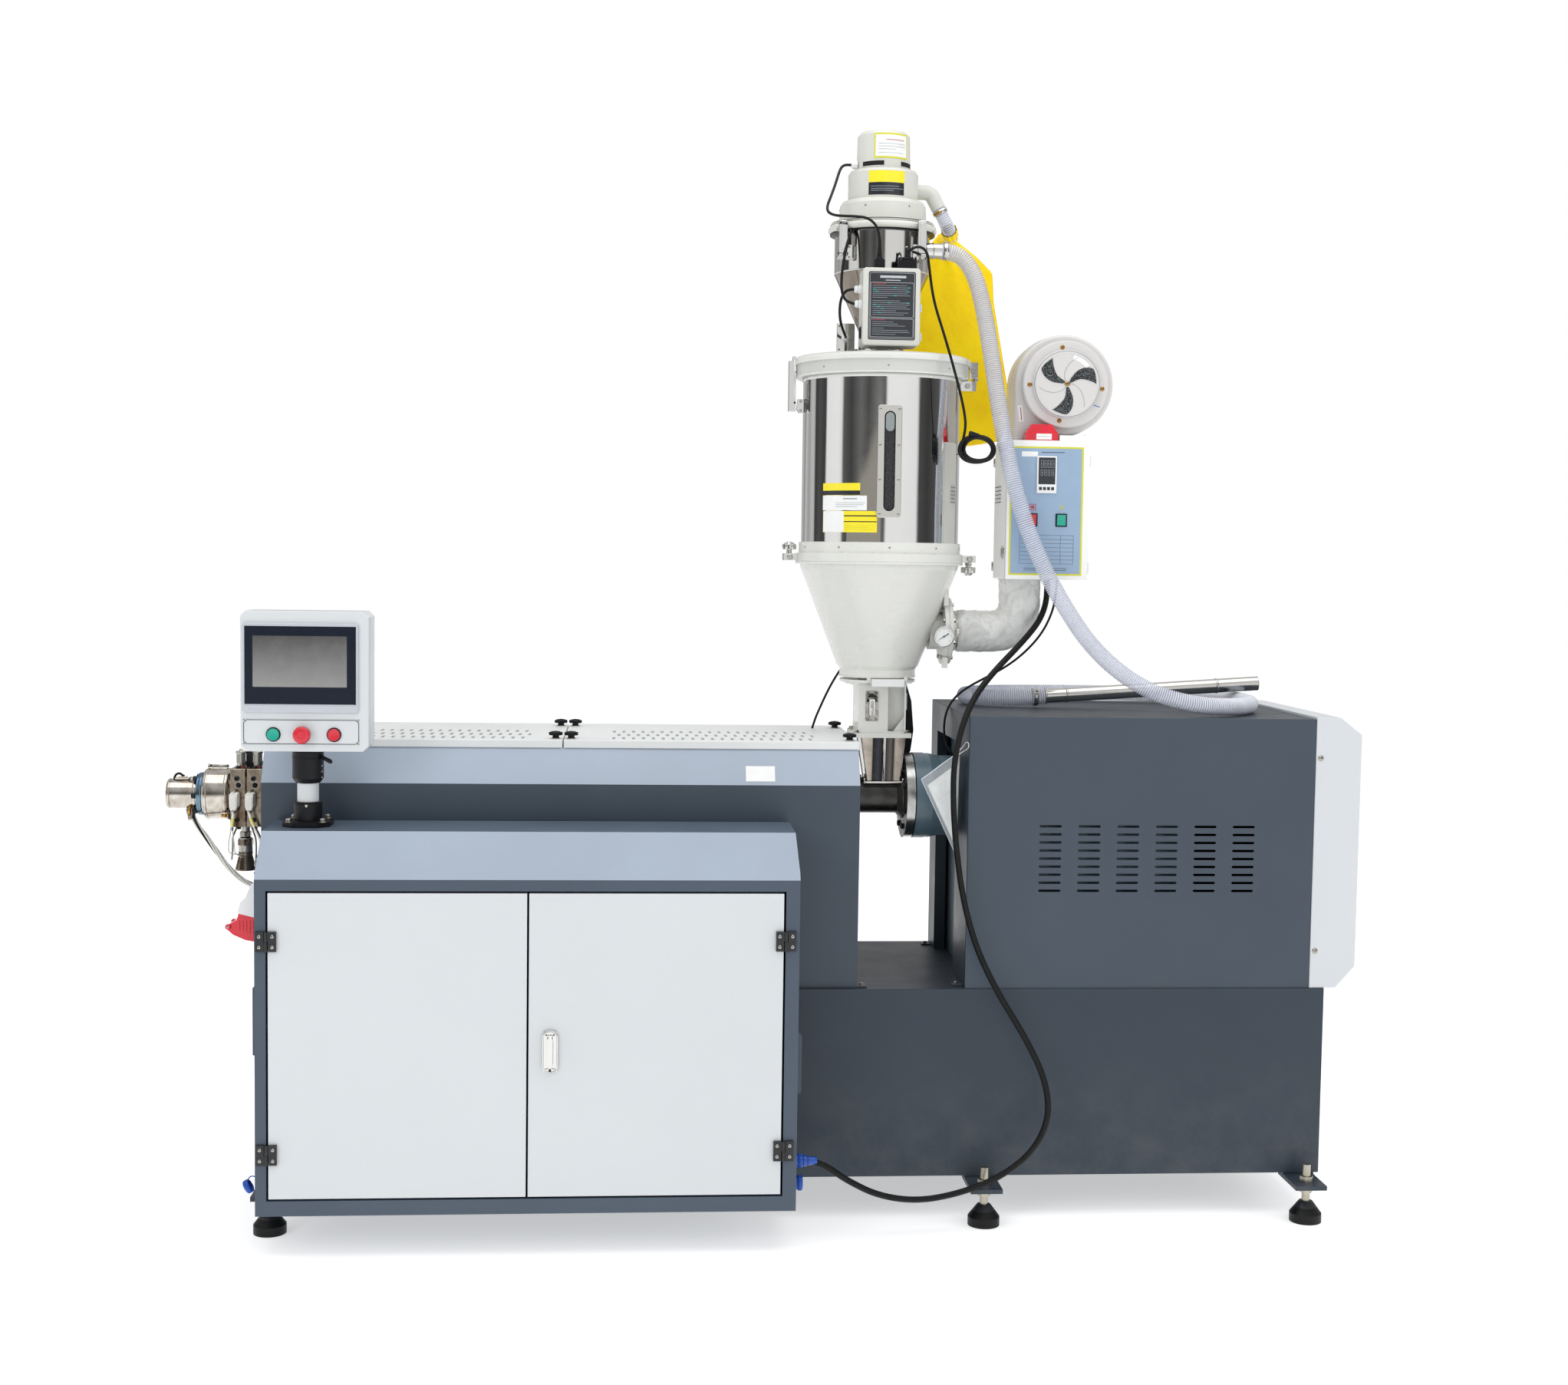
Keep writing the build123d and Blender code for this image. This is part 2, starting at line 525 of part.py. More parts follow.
with BuildPart() as hopper_clamps:
    # hinge brackets and star knobs at the lower flange, latch and hinge at the lid
    for sx, s in ((HX - DRUM_R - 14, -1), (HX + DRUM_R + 14, 1)):
        a, b = sorted((sx - s * 2, sx + s * 34))
        block(a, b, HY - 22, HY + 22, 1661, 1679)
    turn_z(HX - DRUM_R - 32, HY, [(0, 1679), (7, 1679), (7, 1688), (17, 1690), (17, 1702), (10, 1708), (0, 1708)])
    turn_z(HX + DRUM_R + 32, HY, [(0, 1661), (7, 1661), (7, 1650), (18, 1648), (18, 1634), (10, 1628), (0, 1628)])
    block(HX - LID_R - 16, HX - LID_R + 2, HY - 16, HY + 16, 2050, 2180)
    block(HX + LID_R - 2, HX + LID_R + 20, HY - 25, HY + 25, 2141, 2185)
    block(HX + DRUM_R - 1, HX + LID_R + 16, HY - 25, HY + 25, 2110, 2136)
    turn_z(HX, HY, [(0, 1655), (DRUM_R + 14.1, 1655), (DRUM_R + 14.1, 1682), (DRUM_R + 6.1, 1684),
                    (DRUM_R + 6.1, 1709), (DRUM_R + 0.1, 1710), (DRUM_R + 0.1, 2136.9), (LID_R + 0.1, 2136.9),
                    (LID_R + 0.1, 2192), (0, 2192)], mode=Mode.SUBTRACT)
save(hopper_clamps, "hopper_clamps")

with BuildPart() as sight_glass:
    block(1487, 1549, 358, 372, 1772, 2056)
    turn_z(HX, HY, [(0, 1760), (DRUM_R + 0.1, 1760), (DRUM_R + 0.1, 2070), (0, 2070)], mode=Mode.SUBTRACT)
    fillet(sight_glass.edges().filter_by(Axis.Y), radius=8)
save(sight_glass, "sight_glass")

# ---------------------------------------------------------------- vacuum loader
with BuildPart() as loader_vessel:
    turn_z(LX, LY, [(0, 2200), (78, 2200), (78, 2208), (58, 2208), (58, 2262), (124, 2408), (124, 2512), (0, 2512)])
save(loader_vessel, "loader_vessel")

with BuildPart() as loader_head:
    turn_z(LX, LY, [(0, 2512), (136, 2512), (141, 2517), (141, 2523), (136, 2530), (114, 2541), (112, 2582),
                    (106, 2592), (91, 2597), (91, 2664), (86, 2670), (70, 2674), (68, 2762), (60, 2771), (45, 2773),
                    (0, 2773)])
    # blower outlet elbow on the right
    with BuildLine() as elbow_path:
        FilletPolyline(at(1598, 600, 2630), at(1645, 600, 2630), at(1668, 600, 2588), radius=26)
    with BuildSketch(Plane(origin=elbow_path.line @ 0, z_dir=elbow_path.line % 0)):
        Circle(19)
    sweep(path=elbow_path.line)
save(loader_head, "loader_head")

with BuildPart() as loader_control:
    block(1447, 1594, 385, 470, 2207, 2402)
    fillet(loader_control.edges().filter_by(Axis.Y), radius=9)
    fillet(loader_control.faces().sort_by(Axis.Y)[0].edges(), radius=4)
    block(1480, 1552, 470, 520, 2270, 2340)
    turn_z(LX, LY, [(0, 2200), (58, 2200), (58, 2262), (124, 2408), (0, 2408)], mode=Mode.SUBTRACT)
save(loader_control, "loader_control")

with BuildPart() as loader_fittings:
    # hose inlet stub on the right front of the vessel
    rod_x(1622, 1662, 500, 2463, 20)
    turn_z(LX, LY, [(0, 2400), (124, 2400), (124, 2500), (0, 2500)], mode=Mode.SUBTRACT)
    # two over-centre latches
    for lx, y0, y1 in ((1403, 468, 524), (1603, 440, 486)):
        block(lx - 11, lx + 11, y0, y1, 2440, 2528)
    turn_z(LX, LY, [(0, 2430), (124.2, 2430), (124.2, 2512), (141.5, 2512), (141.5, 2530), (0, 2530)],
           mode=Mode.SUBTRACT)
    # valve plate on the left
    block(1404, 1450, 592, 606, 2209, 2284)
    turn_z(LX, LY, [(0, 2208.5), (58.2, 2208.5), (58.2, 2262), (90, 2330), (0, 2330)], mode=Mode.SUBTRACT)
save(loader_fittings, "loader_fittings")

# ---------------------------------------------------------------- dryer: duct, control box, blower
with BuildPart() as dryer_duct:
    with BuildLine() as duct_path:
        FilletPolyline(at(1700.3, DUCT_Y, 1480), at(DUCT_X, DUCT_Y, 1480), at(DUCT_X, DUCT_Y, 1619.7), radius=72)
    with BuildSketch(Plane(origin=duct_path.line @ 0, z_dir=duct_path.line % 0)):
        Circle(DUCT_R)
    sweep(path=duct_path.line)
    rod_x(1700.3, 1712, DUCT_Y, 1480, 88)
save(dryer_duct, "dryer_duct")

with BuildPart() as dryer_control:
    block(*DB)
    fillet(dryer_control.edges().filter_by(Axis.Y), radius=4)
    block(1972, DB[1] + 7, DB[2] - 3, DB[3], DB[5] - 2, DB[5] + 14)
    block(DB[0], DB[1] + 7, DB[2] - 3, DB[2] + 8, DB[4], DB[5])
save(dryer_control, "dryer_control")

with BuildPart() as dryer_blower:
    # volute with its outlet leg standing on the control box
    with BuildSketch(Plane((0, 500 - OY, 0), x_dir=(1, 0, 0), z_dir=(0, -1, 0))) as s:
        with Locations((BLOW_X - OX, BLOW_Z)):
            Circle(130)
        with Locations(((BLOW_X - 130 + 1964) / 2 - OX, (DB[5] + BLOW_Z) / 2)):
            Rectangle(1964 - BLOW_X + 130, BLOW_Z - DB[5])
    extrude(s.sketch, amount=-112)
    fillet(dryer_blower.faces().sort_by(Axis.Y)[0].edges(), radius=8)
    turn_y(BLOW_X, BLOW_Z, [(462, 0), (462, 84), (466, 88), (476, 90), (476, 110), (480, 113), (500.5, 113), (500.5, 0)])
    # motor behind the volute
    turn_y(BLOW_X, BLOW_Z, [(611.5, 0), (611.5, 70), (700, 70), (706, 62), (706, 0)])
save(dryer_blower, "dryer_blower")

with BuildPart() as alarm_box:
    frustum((1884, 1968, 447, 492, DB[5]), (1884, 1968, 447, 492, 1998))
    frustum((1884, 1968, 447, 492, 1998), (1900, 1952, 453, 474, 2021))
save(alarm_box, "alarm_box")

# ---------------------------------------------------------------- dust bag, hoses and wand
BAG = [(1704, 2562), (1742, 2562), (1756, 2540), (1810, 2500), (1854, 2458), (1859, 2379), (1885, 2240),
       (1908, 2119), (1884, 1966), (1776, 1944), (1640, 1950), (1604, 2100), (1606, 2300), (1628, 2440),
       (1650, 2500), (1690, 2540)]
with BuildPart() as dust_bag:
    prism_y(808, 850, BAG)
save(dust_bag, "dust_bag")

EX = [(1668.2, 600, 2587.6), (1690.2, 600, 2547.4), (1712, 660, 2526), (1722, 738, 2538), (1723, 807.5, 2540)]
with BuildPart() as exhaust_hose:
    ex_pts = [at(*q) for q in EX]
    with BuildLine() as ex_path:
        FilletPolyline(*ex_pts, radius=corner_radii(ex_pts))
    with BuildSketch(Plane(origin=ex_path.line @ 0, z_dir=ex_path.line % 0)):
        Circle(18)
    sweep(path=ex_path.line)
save(exhaust_hose, "exhaust_hose")

# suction hose: from the loader inlet down beside the hopper, across the front
# of the dryer box, one loop on top of the gear housing, and into the wand
WAND = ((1980, 604, 1305.5), (2562, 600, 1346))
HOSE = [
    (1662.3, 500, 2463), (1706, 500, 2462), (1748, 497, 2446), (1778, 490, 2412), (1796, 480, 2366), (1806, 466, 2306),
    (1812, 448, 2236), (1820, 426, 2110),
    (1836, 402, 1975), (1866, 390, 1840), (1906, 384, 1705), (1966, 376, 1570), (2052, 352, 1440), (2170, 318, 1345),
    (2300, 292, 1306), (2420, 330, 1300), (2500, 440, 1299.5), (2520, 570, 1299), (2490, 700, 1299), (2400, 800, 1299.5),
    (2270, 848, 1300), (2130, 858, 1300), (1990, 856, 1299.5), (1866, 830, 1299), (1778, 752, 1299.3),
    (1792, 646, 1299), (1885.2, 604.7, 1298.9), WAND[0],
]
suction_hose = cable("suction_hose", HOSE, HOSE_D)

with BuildPart() as suction_wand:
    with BuildLine() as wand_path:
        Line(at(*WAND[0]), at(*WAND[1]))
    with BuildSketch(Plane(origin=wand_path.line @ 0, z_dir=wand_path.line % 0)):
        Circle(19)
    sweep(path=wand_path.line)
save(suction_wand, "suction_wand")

# corrugated conduit: from the dryer box down over the gear housing's corner to
# the round connector on the cabinet's right end
CONDUIT = [
    (1968, 545, 1619.5), (1968, 543, 1592), (1964, 532, 1560), (1950, 511, 1527), (1925, 482, 1494), (1872, 430, 1446),
    (1800, 358, 1388), (1738, 292, 1328), (1698, 246, 1256), (1676, 228, 1160), (1676, 222, 1050), (1686, 220, 940),
    (1704, 216, 820), (1738, 209, 700), (1792, 200, 590), (1862, 188, 480), (1914, 176, 376), (1926, 164, 280),
    (1884, 152, 196), (1800, 142, 134), (1696, 132, 98), (1590, 118, 84), (1490, 100, 104), (1412, 88, 146),
    (1368, 82, 178), (1340, 80.2, 194), (1311.8, 80, 200.5),
]
conduit = cable("control_conduit", CONDUIT, CONDUIT_D)

with BuildPart() as conduit_plug:
    turn_x(80, 200, [(CAB_X1 + 9.2, 0), (CAB_X1 + 9.2, 15), (CAB_X1 + 22, 15), (CAB_X1 + 22, 13), (1311.5, 12),
                     (1311.5, 0)])
save(conduit_plug, "conduit_plug")

# loader leads: motor, level switch, valve and supply
motor_lead = cable("motor_lead", [
    (1435.8, 560, 2688), (1417, 556, 2689), (1403, 544, 2680), (1394, 524, 2658), (1386, 500, 2628), (1376, 468, 2590),
    (1368, 446, 2562), (1369, 430, 2544), (1382, 419, 2535), (1404, 412, 2532), (1430, 406, 2531), (1456, 402, 2528),
    (1476, 400, 2514), (1487, 402, 2492), (1490, 406, 2460), (1490, 410, 2424),
], LEAD_D)

level_lead = cable("level_lead", [
    (1424, 470, 2511.5), (1421, 462, 2496), (1413, 454, 2470), (1403, 444, 2430), (1397, 434, 2388), (1396, 427, 2352),
    (1401, 424, 2330), (1413, 423.5, 2317.5), (1431.8, 424, 2314),
], LEAD_D)

valve_lead = cable("valve_lead", [
    (1431.8, 440, 2353), (1417, 441, 2352.5), (1405, 446, 2345), (1398, 458, 2328), (1397, 474, 2304), (1401, 494, 2280),
    (1410, 520, 2262), (1419, 548, 2251), (1424, 572, 2247), (1426, 591.5, 2246),
], LEAD_D)

power_lead = cable("power_lead", [
    (1562, 410, 2424), (1563, 406, 2446), (1572, 400, 2464), (1588, 394, 2468), (1602, 389, 2456), (1611, 385, 2432),
    (1620, 382, 2396), (1637, 376, 2330), (1660, 370, 2250), (1682, 366, 2172), (1700, 365, 2100), (1713, 367, 2040),
    (1722, 373, 2004), (1730, 383, 1978),
], LEAD_D)

with BuildPart() as lead_plugs:
    # rewirable plugs on top of the loader box, glands on its left side, gland on the motor cap
    block(1477, 1503, 398, 422, 2402, 2424)
    block(1540, 1584, 398, 422, 2402, 2424)
    rod_x(1432, 1447, 424, 2314, 8)
    rod_x(1432, 1447, 440, 2353, 8)
    rod_x(1436, 1447, 560, 2688, 10)
    turn_z(LX, LY, [(0, 2670), (70.2, 2670), (70.2, 2700), (0, 2700)], mode=Mode.SUBTRACT)
save(lead_plugs, "lead_plugs")

with BuildPart() as lead_coil:
    with BuildSketch(Plane((0, 371 - OY, 0), x_dir=(1, 0, 0), z_dir=(0, -1, 0))) as s:
        with Locations((1748 - OX, 1938)):
            Ellipse(46, 44)
            Ellipse(22, 20, mode=Mode.SUBTRACT)
    extrude(s.sketch, amount=-26)
save(lead_coil, "lead_coil")

dryer_lead = cable("dryer_lead", [
    (2004, 590, 1619.5), (2003, 591, 1580), (1994, 593, 1530), (1968, 594, 1475), (1926, 595.5, 1426), (1876, 596, 1386),
    (1820, 594, 1356), (1766, 588, 1328), (1728, 579, 1298), (1708, 570, 1262), (1702, 564, 1222), (1706, 561, 1188),
    (1719, 562, 1164), (1728, 566, 1147.2),
], 6.0)

# sensor lead from behind the cone down to the barrel cover
probe_lead = cable("probe_lead", [
    (1463.5, 664, 1391), (1454, 677, 1388), (1441, 690, 1374), (1424, 699, 1346), (1404, 704, 1308), (1384, 708, 1262),
    (1370, 709, 1228), (1364, 710, 1205.4),
], 6.0)

# heater and thermocouple leads gathered under the die end and led to the housing
die_leads = cable("die_leads", [
    (-262, 560, 996.8), (-258, 552, 978), (-244, 540, 958), (-222, 525, 934), (-196, 512, 904), (-170, 504, 868),
    (-140, 500, 834), (-104, 504, 808), (-66, 514, 794), (-31.5, 520, 790),
], 14.0)

print("done")
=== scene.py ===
import bpy
import math
import random
from mathutils import Matrix, Vector


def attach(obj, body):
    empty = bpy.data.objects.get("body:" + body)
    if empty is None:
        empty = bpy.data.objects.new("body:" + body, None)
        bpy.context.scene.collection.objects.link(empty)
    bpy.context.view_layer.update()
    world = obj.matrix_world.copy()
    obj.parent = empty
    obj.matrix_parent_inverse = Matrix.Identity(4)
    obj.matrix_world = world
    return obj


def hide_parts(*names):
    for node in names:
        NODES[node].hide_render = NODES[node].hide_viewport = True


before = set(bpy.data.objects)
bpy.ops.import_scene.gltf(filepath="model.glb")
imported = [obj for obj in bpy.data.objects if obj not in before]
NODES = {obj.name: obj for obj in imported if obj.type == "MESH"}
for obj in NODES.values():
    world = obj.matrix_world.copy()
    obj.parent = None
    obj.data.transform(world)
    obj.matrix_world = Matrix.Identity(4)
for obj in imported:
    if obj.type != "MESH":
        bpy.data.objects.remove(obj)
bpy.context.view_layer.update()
random.seed(7)

# ---------------------------------------------------------------------------
# Local datum in millimetres: X = 0 at the cabinet's left edge, Y = 0 at the
# cabinet's front, Z = 0 on the floor.
# ---------------------------------------------------------------------------
OX, OY = 1205.0, 485.0


def P(x, y, z):
    return Vector(((x - OX) / 1000, (y - OY) / 1000, z / 1000))


# ------------------------------------------------------------------ camera
IMG_W, IMG_H = 2044, 1805
YAW, PITCH, ROLL, FOCAL = 0.0768, 0.0659, -0.0140, 2607.0
cam_data = bpy.data.cameras.new("camera")
cam_data.sensor_fit = "HORIZONTAL"
cam_data.sensor_width = 36.0
cam_data.lens = FOCAL / IMG_W * 36.0
cam_data.clip_end = 100
camera = bpy.data.objects.new("camera", cam_data)
bpy.context.scene.collection.objects.link(camera)
fwd = Vector((math.sin(YAW) * math.cos(PITCH), math.cos(YAW) * math.cos(PITCH), -math.sin(PITCH)))
rgt = Vector((math.cos(YAW), -math.sin(YAW), 0))
upv = Vector((math.sin(YAW) * math.sin(PITCH), math.cos(YAW) * math.sin(PITCH), math.cos(PITCH)))
ir = rgt * math.cos(ROLL) - upv * math.sin(ROLL)
iu = rgt * math.sin(ROLL) + upv * math.cos(ROLL)
m = Matrix.Identity(4)
for i in range(3):
    m[i][0], m[i][1], m[i][2] = ir[i], iu[i], -fwd[i]
loc = P(870, -4694, 1660)
for i in range(3):
    m[i][3] = loc[i]
camera.matrix_world = m
bpy.context.scene.camera = camera


# ------------------------------------------------------------------ node helpers
def lin(h):
    h = h.lstrip("#")
    out = []
    for k in (0, 2, 4):
        c = int(h[k:k + 2], 16) / 255
        out.append(c / 12.92 if c <= 0.04045 else ((c + 0.055) / 1.055) ** 2.4)
    return (*out, 1.0)


def shade(c, k):
    return (min(1, c[0] * k), min(1, c[1] * k), min(1, c[2] * k), 1.0)


class Mat:
    """One Principled material with its node tree at hand."""

    def __init__(self, name, base, metallic=0.0, rough=0.4, **sockets):
        self.m = bpy.data.materials.new(name)
        self.m.use_nodes = True
        self.nt = self.m.node_tree
        self.nt.nodes.clear()
        self.out = self.nt.nodes.new("ShaderNodeOutputMaterial")
        self.b = self.nt.nodes.new("ShaderNodeBsdfPrincipled")
        self.nt.links.new(self.b.outputs[0], self.out.inputs[0])
        self.b.inputs["Base Color"].default_value = base
        self.b.inputs["Metallic"].default_value = metallic
        self.b.inputs["Roughness"].default_value = rough
        for k, v in sockets.items():
            self.b.inputs[k.replace("_", " ")].default_value = v
        self.tc = self.nt.nodes.new("ShaderNodeTexCoord")
        self.normal = None

    def link(self, a, b):
        self.nt.links.new(a, b)

    def node(self, kind, **props):
        n = self.nt.nodes.new(kind)
        for k, v in props.items():
            setattr(n, k, v)
        return n

    def coords(self, stretch=None, rotate=None):
        if not stretch and not rotate:
            return self.tc.outputs["Object"]
        n = self.node("ShaderNodeMapping")
        if stretch:
            n.inputs["Scale"].default_value = stretch
        if rotate:
            n.inputs["Rotation"].default_value = rotate
        self.link(self.tc.outputs["Object"], n.inputs["Vector"])
        return n.outputs[0]

    def noise(self, scale, detail=3.0, rough=0.55, stretch=None, distort=0.0, vec=None, rotate=None):
        n = self.node("ShaderNodeTexNoise")
        n.inputs["Scale"].default_value = scale
        n.inputs["Detail"].default_value = detail
        n.inputs["Roughness"].default_value = rough
        n.inputs["Distortion"].default_value = distort
        self.link(vec or self.coords(stretch, rotate), n.inputs["Vector"])
        return n.outputs["Fac"]

    def voronoi(self, scale, stretch=None, feature="F1", vec=None):
        n = self.node("ShaderNodeTexVoronoi")
        n.feature = feature
        n.inputs["Scale"].default_value = scale
        self.link(vec or self.coords(stretch), n.inputs["Vector"])
        return n.outputs["Distance"]

    def wave(self, scale, distortion=0.0, direction="X", stretch=None, vec=None, profile="SIN", detail=2.0, bands="BANDS",
             dscale=1.0):
        n = self.node("ShaderNodeTexWave")
        n.wave_type = bands
        n.bands_direction = direction
        n.wave_profile = profile
        n.inputs["Scale"].default_value = scale
        n.inputs["Distortion"].default_value = distortion
        n.inputs["Detail"].default_value = detail
        n.inputs["Detail Scale"].default_value = dscale
        self.link(vec or self.coords(stretch), n.inputs["Vector"])
        return n.outputs["Fac"]

    def ramp(self, fac, stops, mode="LINEAR"):
        n = self.node("ShaderNodeValToRGB")
        n.color_ramp.interpolation = mode
        while len(n.color_ramp.elements) < len(stops):
            n.color_ramp.elements.new(0.5)
        for e, (p, c) in zip(n.color_ramp.elements, stops):
            e.position = p
            e.color = c if hasattr(c, "__len__") else (c, c, c, 1)
        self.link(fac, n.inputs["Fac"])
        return n.outputs["Color"]

    def remap(self, fac, lo, hi, a=0.0, b=1.0, smooth=False):
        n = self.node("ShaderNodeMapRange")
        n.clamp = True
        if smooth:
            n.interpolation_type = "SMOOTHSTEP"
        n.inputs["From Min"].default_value = lo
        n.inputs["From Max"].default_value = hi
        n.inputs["To Min"].default_value = a
        n.inputs["To Max"].default_value = b
        self.link(fac, n.inputs["Value"])
        return n.outputs[0]

    def math(self, op, a, b=0.0):
        n = self.node("ShaderNodeMath", operation=op)
        for s, v in zip(n.inputs, (a, b)):
            if isinstance(v, (int, float)):
                s.default_value = v
            else:
                self.link(v, s)
        return n.outputs[0]

    def mix(self, fac, a, b):
        n = self.node("ShaderNodeMix", data_type="RGBA")
        for s, v in ((n.inputs["Factor"], fac), (n.inputs[6], a), (n.inputs[7], b)):
            if isinstance(v, (int, float)) or hasattr(v, "__len__"):
                s.default_value = v
            else:
                self.link(v, s)
        return n.outputs[2]

    def xyz(self, vec=None):
        n = self.node("ShaderNodeSeparateXYZ")
        self.link(vec or self.tc.outputs["Object"], n.inputs[0])
        return n.outputs

    def bump(self, height, strength=0.3, dist=0.001):
        n = self.node("ShaderNodeBump")
        n.inputs["Strength"].default_value = strength
        n.inputs["Distance"].default_value = dist
        self.link(height, n.inputs["Height"])
        if self.normal is not None:
            self.link(self.normal, n.inputs["Normal"])
        self.normal = n.outputs[0]
        self.link(self.normal, self.b.inputs["Normal"])
        return self

    def edge(self, radius=0.0015, lo=0.015, hi=0.25):
        """0 on flats, 1 on sharp outer and inner edges."""
        bv = self.node("ShaderNodeBevel", samples=4)
        bv.inputs["Radius"].default_value = radius
        g = self.node("ShaderNodeNewGeometry")
        d = self.node("ShaderNodeVectorMath", operation="DOT_PRODUCT")
        self.link(bv.outputs[0], d.inputs[0])
        self.link(g.outputs["Normal"], d.inputs[1])
        return self.remap(self.math("SUBTRACT", 1.0, d.outputs["Value"]), lo, hi)

    def color(self, c):
        self.link(c, self.b.inputs["Base Color"])
        return self

    def rough(self, r):
        self.link(r, self.b.inputs["Roughness"])
        return self


def paint(name, hexcol, rough=(0.32, 0.44), spread=0.06, peel=0.10, peel_scale=1100, waviness=0.25, coat=0.0, edges=0.35,
          dust=0.06, spec=0.5, dirt_floor=False):
    """Powder coat or enamel: orange peel, faint cloudiness, dust specks, lighter rubbed edges."""
    base = lin(hexcol)
    t = Mat(name, base, 0.0, sum(rough) / 2, Coat_Weight=coat, Coat_Roughness=0.12, Specular_IOR_Level=spec)
    cloud = t.noise(2.3, 5, 0.6)
    fine = t.noise(900, 2, 0.5)
    c = t.mix(t.remap(cloud, 0.3, 0.7), shade(base, 1 - spread), shade(base, 1 + spread))
    c = t.mix(t.remap(fine, 0.35, 0.65, 0.0, 0.12), c, shade(base, 0.82))
    specks = t.remap(t.voronoi(60), 0.0, 0.045, 1.0, 0.0)
    few = t.remap(t.noise(9, 2), 0.56, 0.62)
    c = t.mix(t.math("MULTIPLY", t.math("MULTIPLY", specks, few), dust * 4), c, (0.62, 0.6, 0.56, 1))
    if dirt_floor:
        z = t.remap(t.xyz()[2], 0.10, 0.42, 1.0, 0.0)
        c = t.mix(t.math("MULTIPLY", t.math("MULTIPLY", z, t.remap(t.noise(14, 6, 0.7), 0.4, 0.8)), 0.2), c,
                  (0.22, 0.21, 0.19, 1))
    if edges:
        e = t.math("MULTIPLY", t.edge(), t.remap(t.noise(45, 4, 0.7), 0.38, 0.62))
        c = t.mix(t.math("MULTIPLY", e, edges), c, shade(base, 1.9) if base[1] < 0.4 else shade(base, 0.86))
    t.color(c)
    r = t.remap(t.noise(6, 5, 0.65), 0.3, 0.7, rough[0], rough[1])
    t.rough(r)
    t.bump(t.noise(peel_scale, 1.5, 0.5), peel, 0.0004)
    t.bump(t.noise(2.1, 2, 0.4), waviness, 0.0012)
    return t.m


def steel(name, hexcol="#C9C7C3", rough=(0.08, 0.16), brushed=None, scale=260.0, scratch=0.25, tint=None, smudge=0.5,
          waviness=0.0, spread=0.05):
    """Stainless: polished or brushed with smudges and hairline scratches. tint = (hex, amount, noise scale)."""
    base = lin(hexcol)
    t = Mat(name, base, 1.0, sum(rough) / 2)
    sm = t.noise(11, 6, 0.65, distort=0.6)
    c = t.mix(t.remap(sm, 0.3, 0.75), shade(base, 1 - spread), shade(base, 1 + spread))
    if tint:
        k = t.remap(t.noise(tint[2], 5, 0.62, distort=1.1), 0.42, 0.66, 0, tint[1])
        c = t.mix(k, c, lin(tint[0]))
    t.color(c)
    r = t.remap(sm, 0.35, 0.7, rough[0], rough[1])
    if brushed:
        lines = t.noise(scale, 3, 0.6, stretch=brushed)
        r = t.math("ADD", r, t.remap(lines, 0.3, 0.7, -0.05, 0.07))
        t.rough(r)
        t.bump(lines, scratch, 0.00012)
    else:
        t.rough(r)
        t.bump(t.noise(70, 4, 0.7, stretch=(1, 1, 6)), scratch * 0.12, 0.0002)
    if waviness:
        t.bump(t.noise(5.5, 2, 0.4, stretch=(1.4, 1.4, 0.5)), waviness, 0.002)
    return t.m


def plastic(name, hexcol, rough=(0.3, 0.45), grain=0.15, grain_scale=700, spread=0.05, coat=0.0, sss=0.0, metallic=0.0,
            spec=0.5):
    base = lin(hexcol)
    t = Mat(name, base, metallic, sum(rough) / 2, Coat_Weight=coat, Coat_Roughness=0.08, Specular_IOR_Level=spec)
    if sss:
        t.b.inputs["Subsurface Weight"].default_value = sss
        t.b.inputs["Subsurface Scale"].default_value = 0.002
    n = t.noise(18, 5, 0.6)
    c = t.mix(t.remap(n, 0.3, 0.7), shade(base, 1 - spread), shade(base, 1 + spread))
    c = t.mix(t.math("MULTIPLY", t.edge(0.0008), 0.22), c, shade(base, 1.5))
    t.color(c)
    t.rough(t.remap(t.noise(40, 4), 0.3, 0.7, rough[0], rough[1]))
    t.bump(t.noise(grain_scale, 2), grain, 0.0003)
    return t.m


M = {}
M["frame"] = paint("slate_powder_coat", "#455160", rough=(0.32, 0.44), coat=0.08, spec=0.4)
# darker copy of the slate paint for the base frame's top and the gear housing's top and left faces: painted shade
M["slate_dark"] = paint("slate_shaded", "#2F3740", rough=(0.38, 0.5), coat=0.04, spec=0.32)
# darker copy of the slate paint for inside faces of the cabinet and gear housing: painted shade
M["frame_inside"] = paint("slate_inside_painted_shade", "#3D4651", rough=(0.45, 0.6), edges=0, waviness=0)
# lighter copy of the slate powder coat for slanted faces: a painted highlight standing in for the sky's sheen
M["slant"] = paint("slate_slant_painted_highlight", "#A2AEBD", rough=(0.30, 0.42), coat=0.12, edges=0.2)
M["plinth"] = paint("slate_plinth", "#323C47", rough=(0.38, 0.5), coat=0.04, spec=0.32, dirt_floor=True)
M["housing"] = paint("slate_housing", "#3F4A56", rough=(0.32, 0.44), coat=0.06, spec=0.36)
M["white"] = paint("white_powder_coat", "#D1D5D8", rough=(0.34, 0.48), spread=0.012, dust=0.03, edges=0.25)
M["cover"] = paint("white_cover", "#E0E2E2", rough=(0.34, 0.48), spread=0.015, dust=0.05, edges=0.3)
M["guard"] = paint("white_guard", "#CFD3D7", rough=(0.34, 0.5), spread=0.015, dust=0.03, edges=0.3)
M["cream"] = paint("cream_enamel", "#DCDDD8", rough=(0.22, 0.34), spread=0.02, dust=0.05, edges=0.3, coat=0.25, peel=0.14,
                   peel_scale=600)
M["loader_grey"] = paint("loader_enamel", "#CFD0C9", rough=(0.30, 0.42), spread=0.025, dust=0.05, edges=0.3, coat=0.15,
                         peel=0.2, peel_scale=700)
